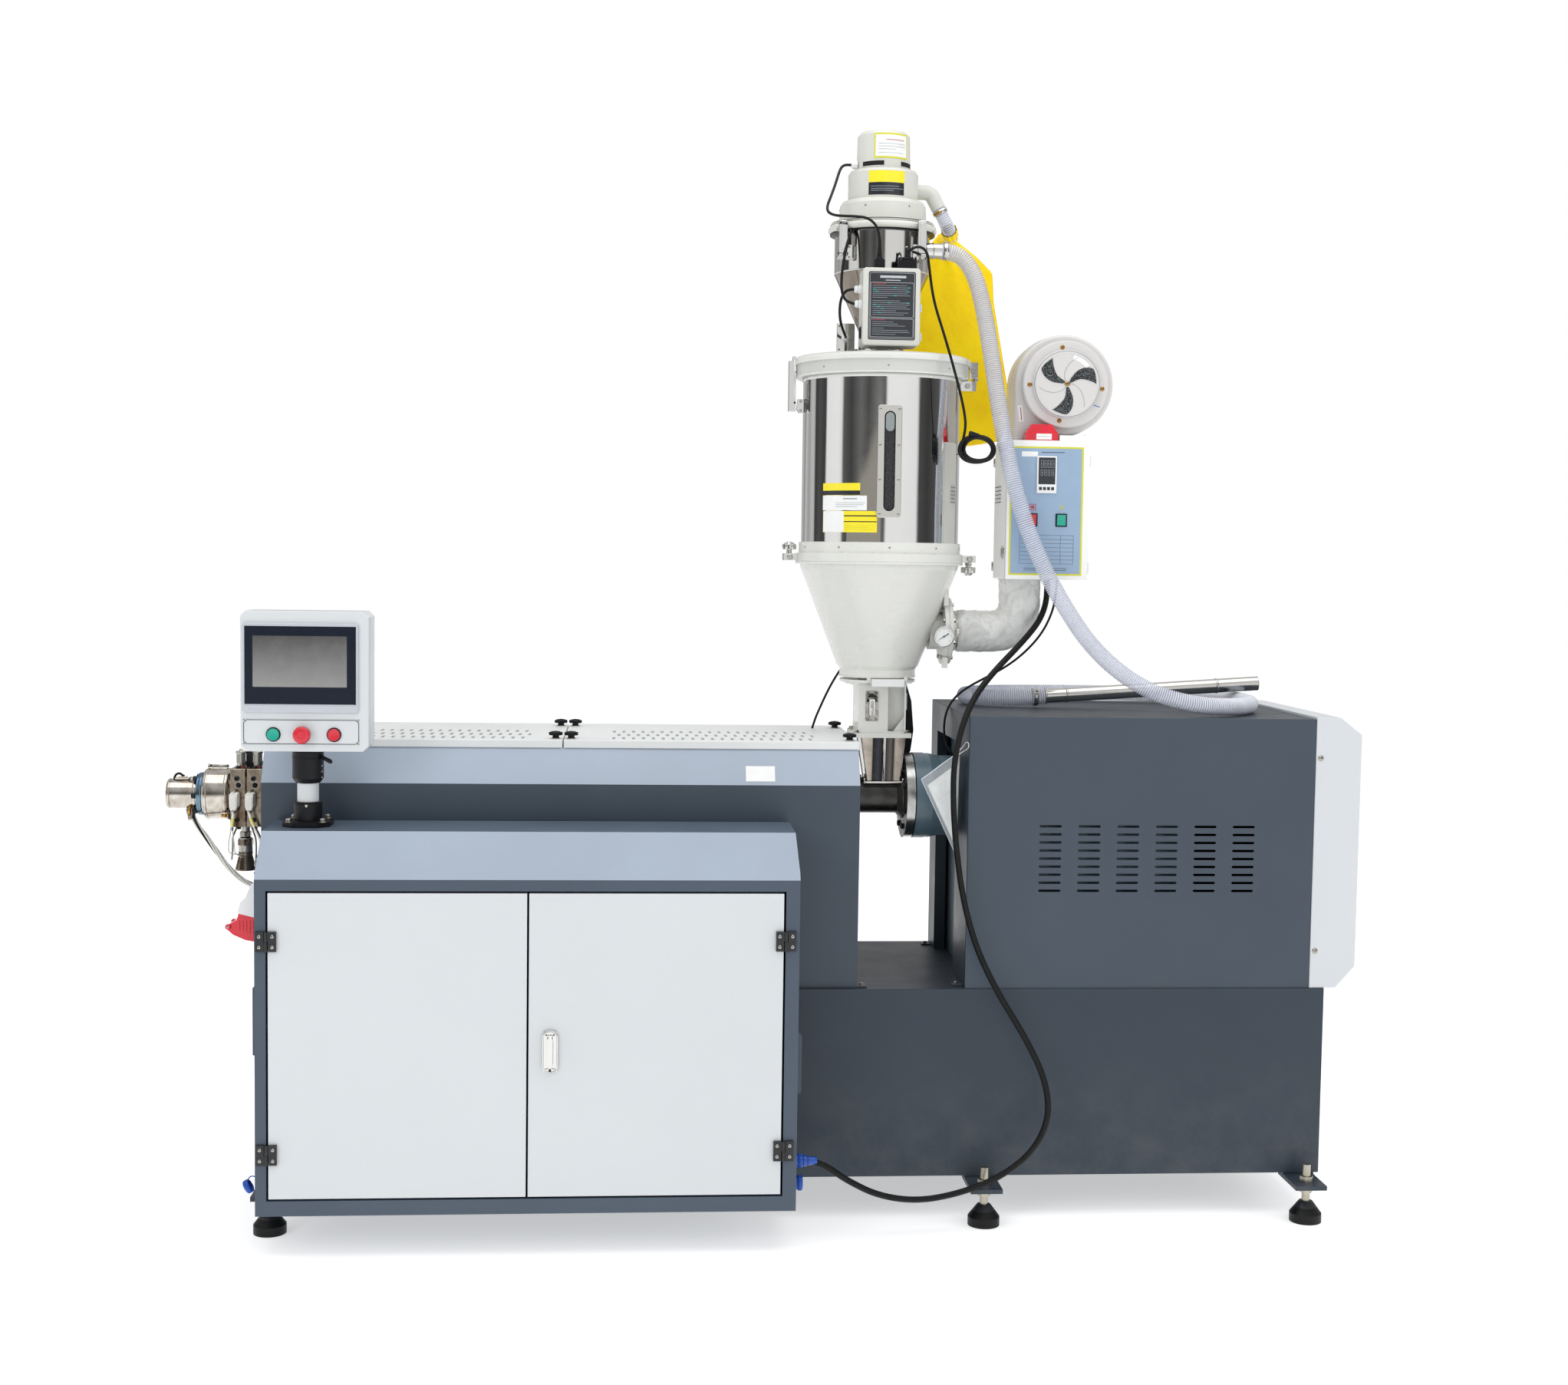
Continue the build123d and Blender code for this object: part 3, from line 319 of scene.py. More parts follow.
M["blower_grey"] = paint("blower_enamel", "#D2D0CF", rough=(0.28, 0.40), spread=0.03, dust=0.05, edges=0.3, coat=0.2,
                         peel=0.22, peel_scale=520)
M["casting"] = paint("casting_enamel", "#5C7481", rough=(0.30, 0.45), spread=0.09, dust=0.06, edges=0.5, coat=0.3, peel=0.5,
                     peel_scale=170, waviness=0.4)
M["black_metal"] = plastic("black_metal", "#1B1D21", rough=(0.32, 0.5), grain=0.25, grain_scale=420, spread=0.2)
M["black"] = plastic("black_plastic", "#111217", rough=(0.34, 0.5), grain=0.2, spread=0.15, spec=0.28)
M["navy"] = plastic("panel_frame", "#0E1827", rough=(0.2, 0.3), grain=0.02, coat=0.04, spec=0.25)
M["rubber"] = plastic("black_rubber", "#0B0C0D", rough=(0.38, 0.55), grain=0.3, grain_scale=380, spread=0.25, spec=0.3)
M["white_plastic"] = plastic("white_plastic", "#E6E8E9", rough=(0.3, 0.42), grain=0.05, spread=0.015)
M["lead_white"] = plastic("lead_white", "#D9D8D2", rough=(0.34, 0.5), grain=0.4, grain_scale=900, spread=0.06)
M["bezel"] = plastic("panel_bezel", "#BCC0C8", rough=(0.32, 0.42), grain=0.12, spread=0.02, grain_scale=900)
M["red"] = plastic("red_plastic", "#D4142C", rough=(0.22, 0.34), grain=0.05, spread=0.06, coat=0.4, sss=0.05)
M["button_red"] = plastic("button_red", "#CC2233", rough=(0.25, 0.36), grain=0.04, spread=0.04, coat=0.3)
M["button_green"] = plastic("button_green", "#0C9F8A", rough=(0.25, 0.36), grain=0.04, spread=0.04, coat=0.3)
M["blue"] = plastic("blue_plastic", "#1450B4", rough=(0.26, 0.4), grain=0.08, spread=0.08, coat=0.2)
M["ceramic"] = plastic("ceramic", "#E9E7E0", rough=(0.3, 0.42), grain=0.2, spread=0.04, sss=0.05)
M["zinc"] = steel("zinc_steel", "#B9B5A8", rough=(0.28, 0.42), scratch=0.5, tint=("#8A744A", 0.35, 24))
M["bolt"] = steel("stainless_bolt", "#BDBBB4", rough=(0.2, 0.34), scratch=0.5)
M["black_bolt"] = plastic("blackened_bolt", "#202226", rough=(0.3, 0.46), grain=0.3, spread=0.25, metallic=0.4)
M["brass"] = steel("brass", "#B98E4A", rough=(0.22, 0.36), scratch=0.5, tint=("#6E5028", 0.4, 60))
# the lid: a darker copy of the cream enamel, painted shade
M["lid"] = paint("lid_cream_painted_shade", "#C9CBC7", rough=(0.26, 0.38), spread=0.02, dust=0.05, edges=0.3, coat=0.15, peel=0.14)
M["dryer_white"] = paint("dryer_enamel", "#F0F1EF", rough=(0.3, 0.42), spread=0.015, dust=0.04, edges=0.3)
# lighter copy of the slate paint for the hood's top faces: painted light from above
M["hood_top"] = paint("slate_hood_top_painted_light", "#5A6777", rough=(0.30, 0.42), coat=0.08, edges=0.3)
M["drum"] = steel("mirror_drum", "#E8E8E7", rough=(0.03, 0.09), scratch=0.25, waviness=0.35, spread=0.02)
M["mirror"] = steel("mirror_steel", "#D2D1CE", rough=(0.04, 0.11), scratch=0.35, waviness=0.25, spread=0.03)
M["tube_steel"] = steel("tube_steel", "#CFCDC8", rough=(0.12, 0.22), scratch=0.4)
M["heater"] = steel("heater_band", "#CBC7C0", rough=(0.08, 0.2), scratch=0.4, tint=("#8A7050", 0.55, 22), waviness=0.3)
M["blued"] = steel("blued_flange", "#6F8796", rough=(0.14, 0.26), scratch=0.3, tint=("#2E4F7C", 0.8, 16))
M["block_steel"] = steel("block_steel", "#8E8578", rough=(0.16, 0.32), scratch=0.6, tint=("#54402C", 0.8, 18))
M["dark_barrel"] = steel("nitrided_barrel", "#4A4A49", rough=(0.3, 0.45), brushed=(60, 1, 1), scale=9, scratch=0.35,
                         tint=("#2E2B28", 0.5, 20))
M["flange_dark"] = plastic("flange_dark", "#55524F", rough=(0.3, 0.45), grain=0.3, spread=0.22, metallic=0.3)
M["flange_bright"] = steel("flange_bright", "#B5B6B5", rough=(0.16, 0.28), scratch=0.5, tint=("#6A6862", 0.4, 26))
M["chrome"] = steel("chrome_latch", "#D6D6D4", rough=(0.06, 0.16), scratch=0.4)
M["latch_steel"] = steel("latch_steel", "#A9A7A2", rough=(0.10, 0.2), scratch=0.4, tint=("#4A4744", 0.7, 60))
M["cone_steel"] = steel("vessel_cone", "#8D857B", rough=(0.05, 0.12), scratch=0.35, waviness=0.25, tint=("#5A534B", 0.6, 9))
# polished funnel plates: painted reflection bands, dark at the middle folds with a bright streak, brown-grey at the
# outer wings
t = Mat("throat_plate_painted_reflection", lin("#6A6560"), 1.0, 0.12)
xx = t.remap(t.xyz()[0], 0.282, 0.387)
band = t.ramp(xx, [(0.0, lin("#A8A096")), (0.17, lin("#958C82")), (0.2, lin("#1F2024")), (0.33, lin("#36373B")), (0.455, lin("#1A1B1E")),
                   (0.475, lin("#C9C6C0")), (0.505, lin("#B8B5AF")), (0.525, lin("#2C2B2D")), (0.64, lin("#55524F")),
                   (0.72, lin("#232224")), (0.77, lin("#968D83")), (1.0, lin("#857C73"))])
t.color(t.mix(t.remap(t.noise(13, 5, 0.6, distort=1.2), 0.45, 0.7, 0.0, 0.4), band, lin("#47433F")))
t.rough(t.remap(t.noise(11, 6, 0.65), 0.35, 0.7, 0.07, 0.16))
t.bump(t.noise(5.5, 2, 0.4), 0.3, 0.002)
M["throat_plate_painted_reflection"] = t.m
M["mesh_dark"] = plastic("mesh_dark", "#26282A", rough=(0.45, 0.6), grain=0.3, spread=0.2)
# near black for the insides of holes, slots, recesses and grooves, where it is painted shade; on the die block's joint
# line it is a dark joint
M["slot_shade_and_joint_dark"] = plastic("slot_shade_and_joint_dark", "#0C0D0F", rough=(0.7, 0.8), grain=0.1, spread=0.2)


def glassy(name, hexcol, alpha, rough=0.08, bump=0.0, bscale=60):
    base = lin(hexcol)
    t = Mat(name, base, 0.0, rough, Coat_Weight=0.3)
    t.b.inputs["Alpha"].default_value = alpha
    n = t.noise(25, 4)
    t.color(t.mix(t.remap(n, 0.3, 0.7), shade(base, 0.93), shade(base, 1.05)))
    t.rough(t.remap(t.noise(14, 3), 0.3, 0.7, rough * 0.6, rough * 1.6))
    if bump:
        t.bump(t.noise(bscale, 3), bump, 0.0015)
    return t.m


M["clear_pvc"] = glassy("clear_pvc", "#BFC5DA", 0.50, 0.10, 0.05)
M["clear_rib"] = glassy("clear_rib", "#E6E9F2", 0.86, 0.14, 0.05)
M["pouch"] = glassy("clear_pouch", "#E3E8EA", 0.34, 0.06, 0.5, 38)
M["glass"] = glassy("sight_glass_clear", "#AEB8B8", 0.45, 0.04)
M["glass_clear"] = glassy("dial_glass", "#E6ECEC", 0.12, 0.03)


def paper(name, hexcol, stripes=None, rough=0.55):
    """Coated label stock or printed sheet with faint unevenness."""
    base = lin(hexcol)
    t = Mat(name, base, 0.0, rough, Coat_Weight=0.25, Coat_Roughness=0.25)
    n = t.noise(26, 5)
    t.color(t.mix(t.remap(n, 0.3, 0.7), shade(base, 0.965), shade(base, 1.02)))
    t.rough(t.remap(t.noise(60, 3), 0.3, 0.7, rough - 0.12, rough + 0.05))
    t.bump(t.noise(30, 3), 0.12, 0.0006)
    return t.m


M["label_white"] = paper("label_white", "#EDEFEE", rough=0.4)
M["label_yellow"] = paper("label_yellow", "#F2E12A", rough=0.4)
M["label_black"] = paper("label_black", "#22252B", rough=0.35)
M["label_line"] = paper("label_line", "#B8BCC0", rough=0.4)
M["label_grey"] = paper("label_grey", "#8C939B", rough=0.4)
M["label_blue"] = paper("label_blue", "#92AAC4", rough=0.42)
M["label_border"] = paper("label_border", "#D2D22A", rough=0.42)
M["label_ink"] = paper("label_ink", "#4D5866", rough=0.45)
M["label_teal"] = paper("label_teal", "#3E9E96", rough=0.4)
M["label_red"] = paper("label_red", "#B03340", rough=0.4)

# screen: painted reflection, dark at its top, pale grey at its bottom
t = Mat("screen_off_painted_reflection", lin("#7A7A7A"), 0.0, 0.12, Coat_Weight=0.5, Coat_Roughness=0.06)
zz = t.xyz()[2]
g = t.ramp(t.remap(zz, 1.335, 1.472), [(0.0, lin("#8B8B8A")), (0.55, lin("#6A6A6A")), (1.0, lin("#434343"))])
t.color(t.mix(t.remap(t.noise(30, 3), 0.4, 0.7, 0.0, 0.06), g, lin("#B6B6B6")))
t.rough(t.remap(t.noise(12, 4), 0.3, 0.7, 0.08, 0.18))
t.bump(t.noise(400, 2), 0.02, 0.0002)
M["screen"] = t.m

# granules seen behind the sight glass: cells lighter at their centres and near black at their rims, painted shading of
# the pellets and painted shade between them
t = Mat("granules", lin("#131416"), 0.0, 0.3)
cells = t.voronoi(330)
t.color(t.ramp(cells, [(0.0, lin("#34363A")), (0.5, lin("#141518")), (1.0, lin("#030304"))]))
t.rough(t.remap(t.noise(200, 2), 0.3, 0.7, 0.2, 0.45))
t.bump(cells, 1.0, 0.002)
M["granules"] = t.m

# thin non-woven bag cloth: fibres, creases, sheen, and a faint yellow emission that is a painted glow
t = Mat("bag_cloth", lin("#FBD800"), 0.0, 0.62, Sheen_Weight=0.04, Sheen_Roughness=0.5, Specular_IOR_Level=0.22,
        Emission_Color=lin("#FFD800"), Emission_Strength=0.03)
fib = t.noise(1500, 2, 0.6)
patch = t.noise(9, 5, 0.65)
c = t.mix(t.remap(patch, 0.3, 0.7), lin("#F6CC00"), lin("#FFE204"))
c = t.mix(t.remap(fib, 0.35, 0.7, 0.0, 0.16), c, lin("#FFE520"))
t.color(c)
t.rough(t.remap(patch, 0.3, 0.7, 0.5, 0.7))
t.bump(t.voronoi(520), 0.25, 0.0005)
t.bump(t.noise(26, 4, 0.6, distort=1.4), 0.55, 0.003)
M["bag"] = t.m

# glass-cloth wrap on the hot-air duct
t = Mat("duct_wrap", lin("#E2E3E1"), 0.0, 0.7, Sheen_Weight=0.15)
weave = t.math("MULTIPLY", t.wave(420, 1.2, "X"), t.wave(420, 1.2, "Z"))
patch = t.noise(16, 5, 0.7, distort=0.8)
c = t.mix(t.remap(patch, 0.3, 0.7), lin("#CBCCCA"), lin("#F0F1EF"))
c = t.mix(t.remap(t.noise(60, 4), 0.5, 0.75, 0.0, 0.25), c, lin("#8F8E8A"))
t.color(c)
t.rough(t.remap(patch, 0.3, 0.7, 0.55, 0.78))
t.bump(weave, 0.3, 0.0005)
t.bump(t.noise(38, 4, 0.6, distort=2.0), 0.6, 0.003)
M["wrap"] = t.m


# ------------------------------------------------------------------ shape kit (local mm)
def basis(axis):
    a = Vector(axis).normalized()
    h = Vector((0, 0, 1)) if abs(a.z) < 0.9 else Vector((1, 0, 0))
    u = h.cross(a).normalized()
    return a, u, a.cross(u)


class Kit:
    """Gathers the shapes of one piece, in local millimetres, and makes one object of them."""

    def __init__(self):
        self.v, self.f, self.mi, self.sm, self.mats = [], [], [], [], []

    def slot_of(self, mat):
        if mat not in self.mats:
            self.mats.append(mat)
        return self.mats.index(mat)

    def add(self, verts, faces, mat, smooth=False):
        o = len(self.v)
        k = self.slot_of(mat)
        self.v += [tuple(p) for p in verts]
        for f in faces:
            self.f.append([o + i for i in f])
            self.mi.append(k)
            self.sm.append(smooth)

    def box(self, x0, x1, y0, y1, z0, z1, mat, b=0.0):
        """Box with chamfered edges of width b."""
        if b <= 0:
            v = [(x, y, z) for x in (x0, x1) for y in (y0, y1) for z in (z0, z1)]
            self.add(v, [(0, 1, 3, 2), (4, 6, 7, 5), (0, 4, 5, 1), (2, 3, 7, 6), (0, 2, 6, 4), (1, 5, 7, 3)], mat)
            return
        c = ((x0 + x1) / 2, (y0 + y1) / 2, (z0 + z1) / 2)
        h = ((x1 - x0) / 2, (y1 - y0) / 2, (z1 - z0) / 2)
        v, idx = [], {}
        for sx in (-1, 1):
            for sy in (-1, 1):
                for sz in (-1, 1):
                    for ax in range(3):
                        s = (sx, sy, sz)
                        q = [c[i] + s[i] * (h[i] - (0 if i == ax else b)) for i in range(3)]
                        idx[(sx, sy, sz, ax)] = len(v)
                        v.append(q)
        f = []
        for ax in range(3):
            o1, o2 = [(1, 2), (2, 0), (0, 1)][ax]
            for s in (-1, 1):
                ring = []
                for a, bb in ((-1, -1), (1, -1), (1, 1), (-1, 1)):
                    k = [0, 0, 0]
                    k[ax], k[o1], k[o2] = s, a, bb
                    ring.append(idx[(*k, ax)])
                f.append(ring if s > 0 else ring[::-1])
        for ax in range(3):
            o1, o2 = [(1, 2), (2, 0), (0, 1)][ax]
            for a in (-1, 1):
                for bb in (-1, 1):
                    k0, k1 = [0, 0, 0], [0, 0, 0]
                    k0[ax], k1[ax] = -1, 1
                    k0[o1] = k1[o1] = a
                    k0[o2] = k1[o2] = bb
                    q = [idx[(*k0, o1)], idx[(*k1, o1)], idx[(*k1, o2)], idx[(*k0, o2)]]
                    f.append(q if a * bb < 0 else q[::-1])
        for sx in (-1, 1):
            for sy in (-1, 1):
                for sz in (-1, 1):
                    q = [idx[(sx, sy, sz, i)] for i in range(3)]
                    f.append(q if sx * sy * sz > 0 else q[::-1])
        self.add(v, f, mat)

    def lathe(self, centre, axis, prof, mat, seg=32, smooth=True, start=0.0, end=360.0, caps=True):
        """Revolve (distance along axis, radius) points about the axis through centre."""
        a, u, w = basis(axis)
        c = Vector(centre)
        full = abs(end - start) >= 359.9
        n = seg if full else seg + 1
        v = []
        for d, r in prof:
            for i in range(n):
                t = math.radians(start + (end - start) * i / seg)
                v.append(c + a * d + (u * math.cos(t) + w * math.sin(t)) * r)
        f = []
        for j in range(len(prof) - 1):
            for i in range(seg):
                k = (i + 1) % n
                f.append((j * n + i, j * n + k, (j + 1) * n + k, (j + 1) * n + i))
        self.add(v, f, mat, smooth)
        if full and caps:
            for j, flip in ((0, True), (len(prof) - 1, False)):
                if prof[j][1] > 1e-6:
                    ring = [v[j * n + i] for i in range(n)]
                    self.add(ring, [list(range(n))[::-1] if flip else list(range(n))], mat)

    def cyl(self, p0, p1, r, mat, seg=20, b=0.0, r1=None):
        p0, p1 = Vector(p0), Vector(p1)
        L = (p1 - p0).length
        r1 = r if r1 is None else r1
        prof = [(0, r), (L, r1)] if b <= 0 else [(0, r - b), (b, r), (L - b, r1), (L, r1 - b)]
        self.lathe(p0, p1 - p0, prof, mat, seg, smooth=seg > 8)

    def hexa(self, p, axis, across, h, mat, turn=0.0):
        a, u, w = basis(axis)
        p = Vector(p)
        r = across / math.sqrt(3)
        rings = []
        for d, rr in ((0, r), (h * 0.82, r), (h, r * 0.88)):
            rings += [p + a * d + (u * math.cos(math.radians(60 * i + turn)) + w * math.sin(math.radians(60 * i + turn))) * rr
                      for i in range(6)]
        f = [(j * 6 + i, j * 6 + (i + 1) % 6, (j + 1) * 6 + (i + 1) % 6, (j + 1) * 6 + i) for j in range(2) for i in range(6)]
        f.append([12 + i for i in range(6)])
        self.add(rings, f, mat)

    def socket(self, p, axis, r, h, mat, dark=None):
        """Socket head cap screw."""
        a, u, w = basis(axis)
        p = Vector(p)
        self.lathe(p, axis, [(0, r), (h - r * 0.15, r), (h, r * 0.85), (h, r * 0.56), (h * 0.45, r * 0.52), (h * 0.45, 0)],
                   mat, 20)
        # dark hexagon disc in the socket: painted shade of the recess
        self.lathe(p + a * (h * 0.47), axis, [(0, r * 0.5), (0.05, 0)], dark or M["slot_shade_and_joint_dark"], 6, False)

    def screw(self, p, axis, r, h, mat, cross=True):
        """Pan head with a cross recess."""
        a, u, w = basis(axis)
        p = Vector(p)
        self.lathe(p, axis, [(0, r), (h * 0.35, r), (h * 0.8, r * 0.72), (h, r * 0.35), (h, 0)], mat, 16)
        if cross:
            for d in (u, w):
                o = a.cross(d)
                q = []
                for s, k in ((-1, -1), (1, -1), (1, 1), (-1, 1)):
                    q.append(p + a * (h * 1.02) + d * (s * r * 0.5) + o * (k * r * 0.11))
                # flat dark cross: painted shade of the recess
                self.add(q, [(0, 1, 2, 3)], M["slot_shade_and_joint_dark"])

    def prism(self, pts, axis, depth, mat, b=0.0, smooth_side=False):
        """Solid from a closed planar outline, pushed by depth along axis; outer edge bevelled by b at its far face."""
        a = Vector(axis).normalized()
        pts = [Vector(p) for p in pts]
        n = len(pts)
        c = sum(pts, Vector()) / n
        rings = [pts, [p + a * (depth - b) for p in pts]]
        if b > 0:
            rings.append([p + a * depth + (c - p).normalized() * b for p in pts])
        v = [p for r in rings for p in r]
        f = []
        for j in range(len(rings) - 1):
            for i in range(n):
                f.append((j * n + i, j * n + (i + 1) % n, (j + 1) * n + (i + 1) % n, (j + 1) * n + i))
        self.add(v, f, mat, smooth_side)
        self.add(rings[-1], [list(range(n))], mat)
        self.add(rings[0], [list(range(n))[::-1]], mat)

    def tube(self, pts, r, mat, seg=12, caps=True, rfun=None, matfun=None, smooth=True):
        """Round tube through points; rfun(i, s) gives the radius at point i, s mm along."""
        pts = [Vector(p) for p in pts]
        n = len(pts)
        tang = []
        for i in range(n):
            a = pts[min(i + 1, n - 1)] - pts[max(i - 1, 0)]
            tang.append(a.normalized())
        _, u, w = basis(tang[0])
        v, s = [], 0.0
        for i in range(n):
            if i:
                s += (pts[i] - pts[i - 1]).length
                u = (u - tang[i] * u.dot(tang[i])).normalized()
                w = tang[i].cross(u)
            rr = rfun(i, s) if rfun else r
            for k in range(seg):
                t = 2 * math.pi * k / seg
                v.append(pts[i] + (u * math.cos(t) + w * math.sin(t)) * rr)
        f = [(i * seg + k, i * seg + (k + 1) % seg, (i + 1) * seg + (k + 1) % seg, (i + 1) * seg + k)
             for i in range(n - 1) for k in range(seg)]
        if matfun:
            o = len(self.v)
            self.v += [tuple(p) for p in v]
            ks = [self.slot_of(matfun(i)) for i in range(n - 1)]
            for j, q in enumerate(f):
                self.f.append([o + x for x in q])
                self.mi.append(ks[j // seg])
                self.sm.append(smooth)
        else:
            self.add(v, f, mat, smooth)
        if caps:
            self.add(v[:seg], [list(range(seg))[::-1]], mat if not matfun else matfun(0))
            self.add(v[-seg:], [list(range(seg))], mat if not matfun else matfun(0))

    def arcplate(self, cx, cy, r, a0, a1, z0, z1, t, mat, seg=14, r1=None):
        """Thin plate on a cylinder or cone about a vertical axis. Angles in degrees from -Y towards +X."""
        r1 = r if r1 is None else r1
        v = []
        for i in range(seg + 1):
            a = math.radians(a0 + (a1 - a0) * i / seg)
            dx, dy = math.sin(a), -math.cos(a)
            for rr, z in ((r, z0), (r1, z1), (r1 + t, z1), (r + t, z0)):
                v.append((cx + dx * rr, cy + dy * rr, z))
        f = []
        for i in range(seg):
            for k in range(4):
                f.append((i * 4 + k, i * 4 + (k + 1) % 4, (i + 1) * 4 + (k + 1) % 4, (i + 1) * 4 + k))
        f += [(0, 3, 2, 1), (seg * 4, seg * 4 + 1, seg * 4 + 2, seg * 4 + 3)]
        self.add(v, f, mat)

    def make(self, name, body, replaces=(), bevel=0.0, subdiv=0, angle=35):
        me = bpy.data.meshes.new(name)
        me.from_pydata([((x - OX) / 1000, (y - OY) / 1000, z / 1000) for x, y, z in self.v], [], self.f)
        for mt in self.mats:
            me.materials.append(mt)
        me.polygons.foreach_set("material_index", self.mi)
        me.polygons.foreach_set("use_smooth", self.sm)
        me.update()
        import bmesh
        bm = bmesh.new()
        bm.from_mesh(me)
        bmesh.ops.remove_doubles(bm, verts=bm.verts, dist=1e-6)
        bmesh.ops.recalc_face_normals(bm, faces=bm.faces)
        bm.to_mesh(me)
        bm.free()
        ob = bpy.data.objects.new(name, me)
        bpy.context.scene.collection.objects.link(ob)
        if bevel:
            mod = ob.modifiers.new("bevel", "BEVEL")
            mod.width = bevel / 1000
            mod.segments = 2
            mod.limit_method = "ANGLE"
            mod.angle_limit = math.radians(angle)
            mod.harden_normals = False
        if subdiv:
            mod = ob.modifiers.new("subdiv", "SUBSURF")
            mod.levels = mod.render_levels = subdiv
        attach(ob, body)
        if replaces:
            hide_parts(*replaces)
        return ob


def rounded(x0, x1, z0, z1, r, n=5, y=0.0, plane="xz"):
    """Rounded rectangle outline, counter-clockwise seen from -Y."""
    out = []
    for cx, cz, a0 in ((x1 - r, z0 + r, -90), (x1 - r, z1 - r, 0), (x0 + r, z1 - r, 90), (x0 + r, z0 + r, 180)):
        for i in range(n + 1):
            a = math.radians(a0 + 90 * i / n)
            out.append((cx + r * math.cos(a), y, cz + r * math.sin(a)))
    return out


def finish_node(name, default, rules=()):
    """Give a CAD node its material; rules are (material, test(centre in local mm, normal))."""
    o = NODES[name]
    me = o.data
    me.materials.clear()
    me.materials.append(default)
    for mt, _ in rules:
        me.materials.append(mt)
    for p in me.polygons:
        k = 0
        if rules:
            c = p.center
            q = (c[0] * 1000 + OX, c[1] * 1000 + OY, c[2] * 1000)
            for i, (_, test) in enumerate(rules):
                if test(q, p.normal):
                    k = i + 1
                    break
        p.material_index = k
    return o


# ------------------------------------------------------------------ cords
def spline_obj(name, route, dia, mat):
    cu = bpy.data.curves.new(name, "CURVE")
    cu.dimensions = "3D"
    cu.resolution_u = 10
    cu.use_fill_caps = True
    sp = cu.splines.new("NURBS")
    sp.points.add(len(route) - 1)
    for pt, q in zip(sp.points, route):
        pt.co = (*P(*q), 1.0)
    sp.order_u = 3
    sp.use_endpoint_u = True
    if dia:
        cu.bevel_depth = dia / 2000
        cu.bevel_resolution = 4
    ob = bpy.data.objects.new(name, cu)
    bpy.context.scene.collection.objects.link(ob)
    if mat:
        cu.materials.append(mat)
    return ob


def spline_points(route, step=None, res=24):
    """Points in local mm read from the route's NURBS spline."""
    ob = spline_obj("route_tmp", route, 0, None)
    ob.data.resolution_u = res
    dg = bpy.context.evaluated_depsgraph_get()
    me = bpy.data.meshes.new_from_object(ob.evaluated_get(dg))
    pts = [Vector((v.co.x * 1000 + OX, v.co.y * 1000 + OY, v.co.z * 1000)) for v in me.vertices]
    bpy.data.meshes.remove(me)
    cu = ob.data
    bpy.data.objects.remove(ob)
    bpy.data.curves.remove(cu)
    if step:
        out, need = [pts[0]], step
        prev, walked = pts[0], 0.0
        for q in pts[1:]:
            d = (q - prev).length
            while walked + d >= need:
                t = (need - walked) / d
                prev = prev.lerp(q, t)
                d = (q - prev).length
                walked = need
                out.append(prev.copy())
                need += step
            walked += d
            prev = q
        if (out[-1] - pts[-1]).length > step * 0.3:
            out.append(pts[-1])
        else:
            out[-1] = pts[-1]
        pts = out
    return pts


def run_length(pts):
    return sum((b - a).length for a, b in zip(pts, pts[1:]))


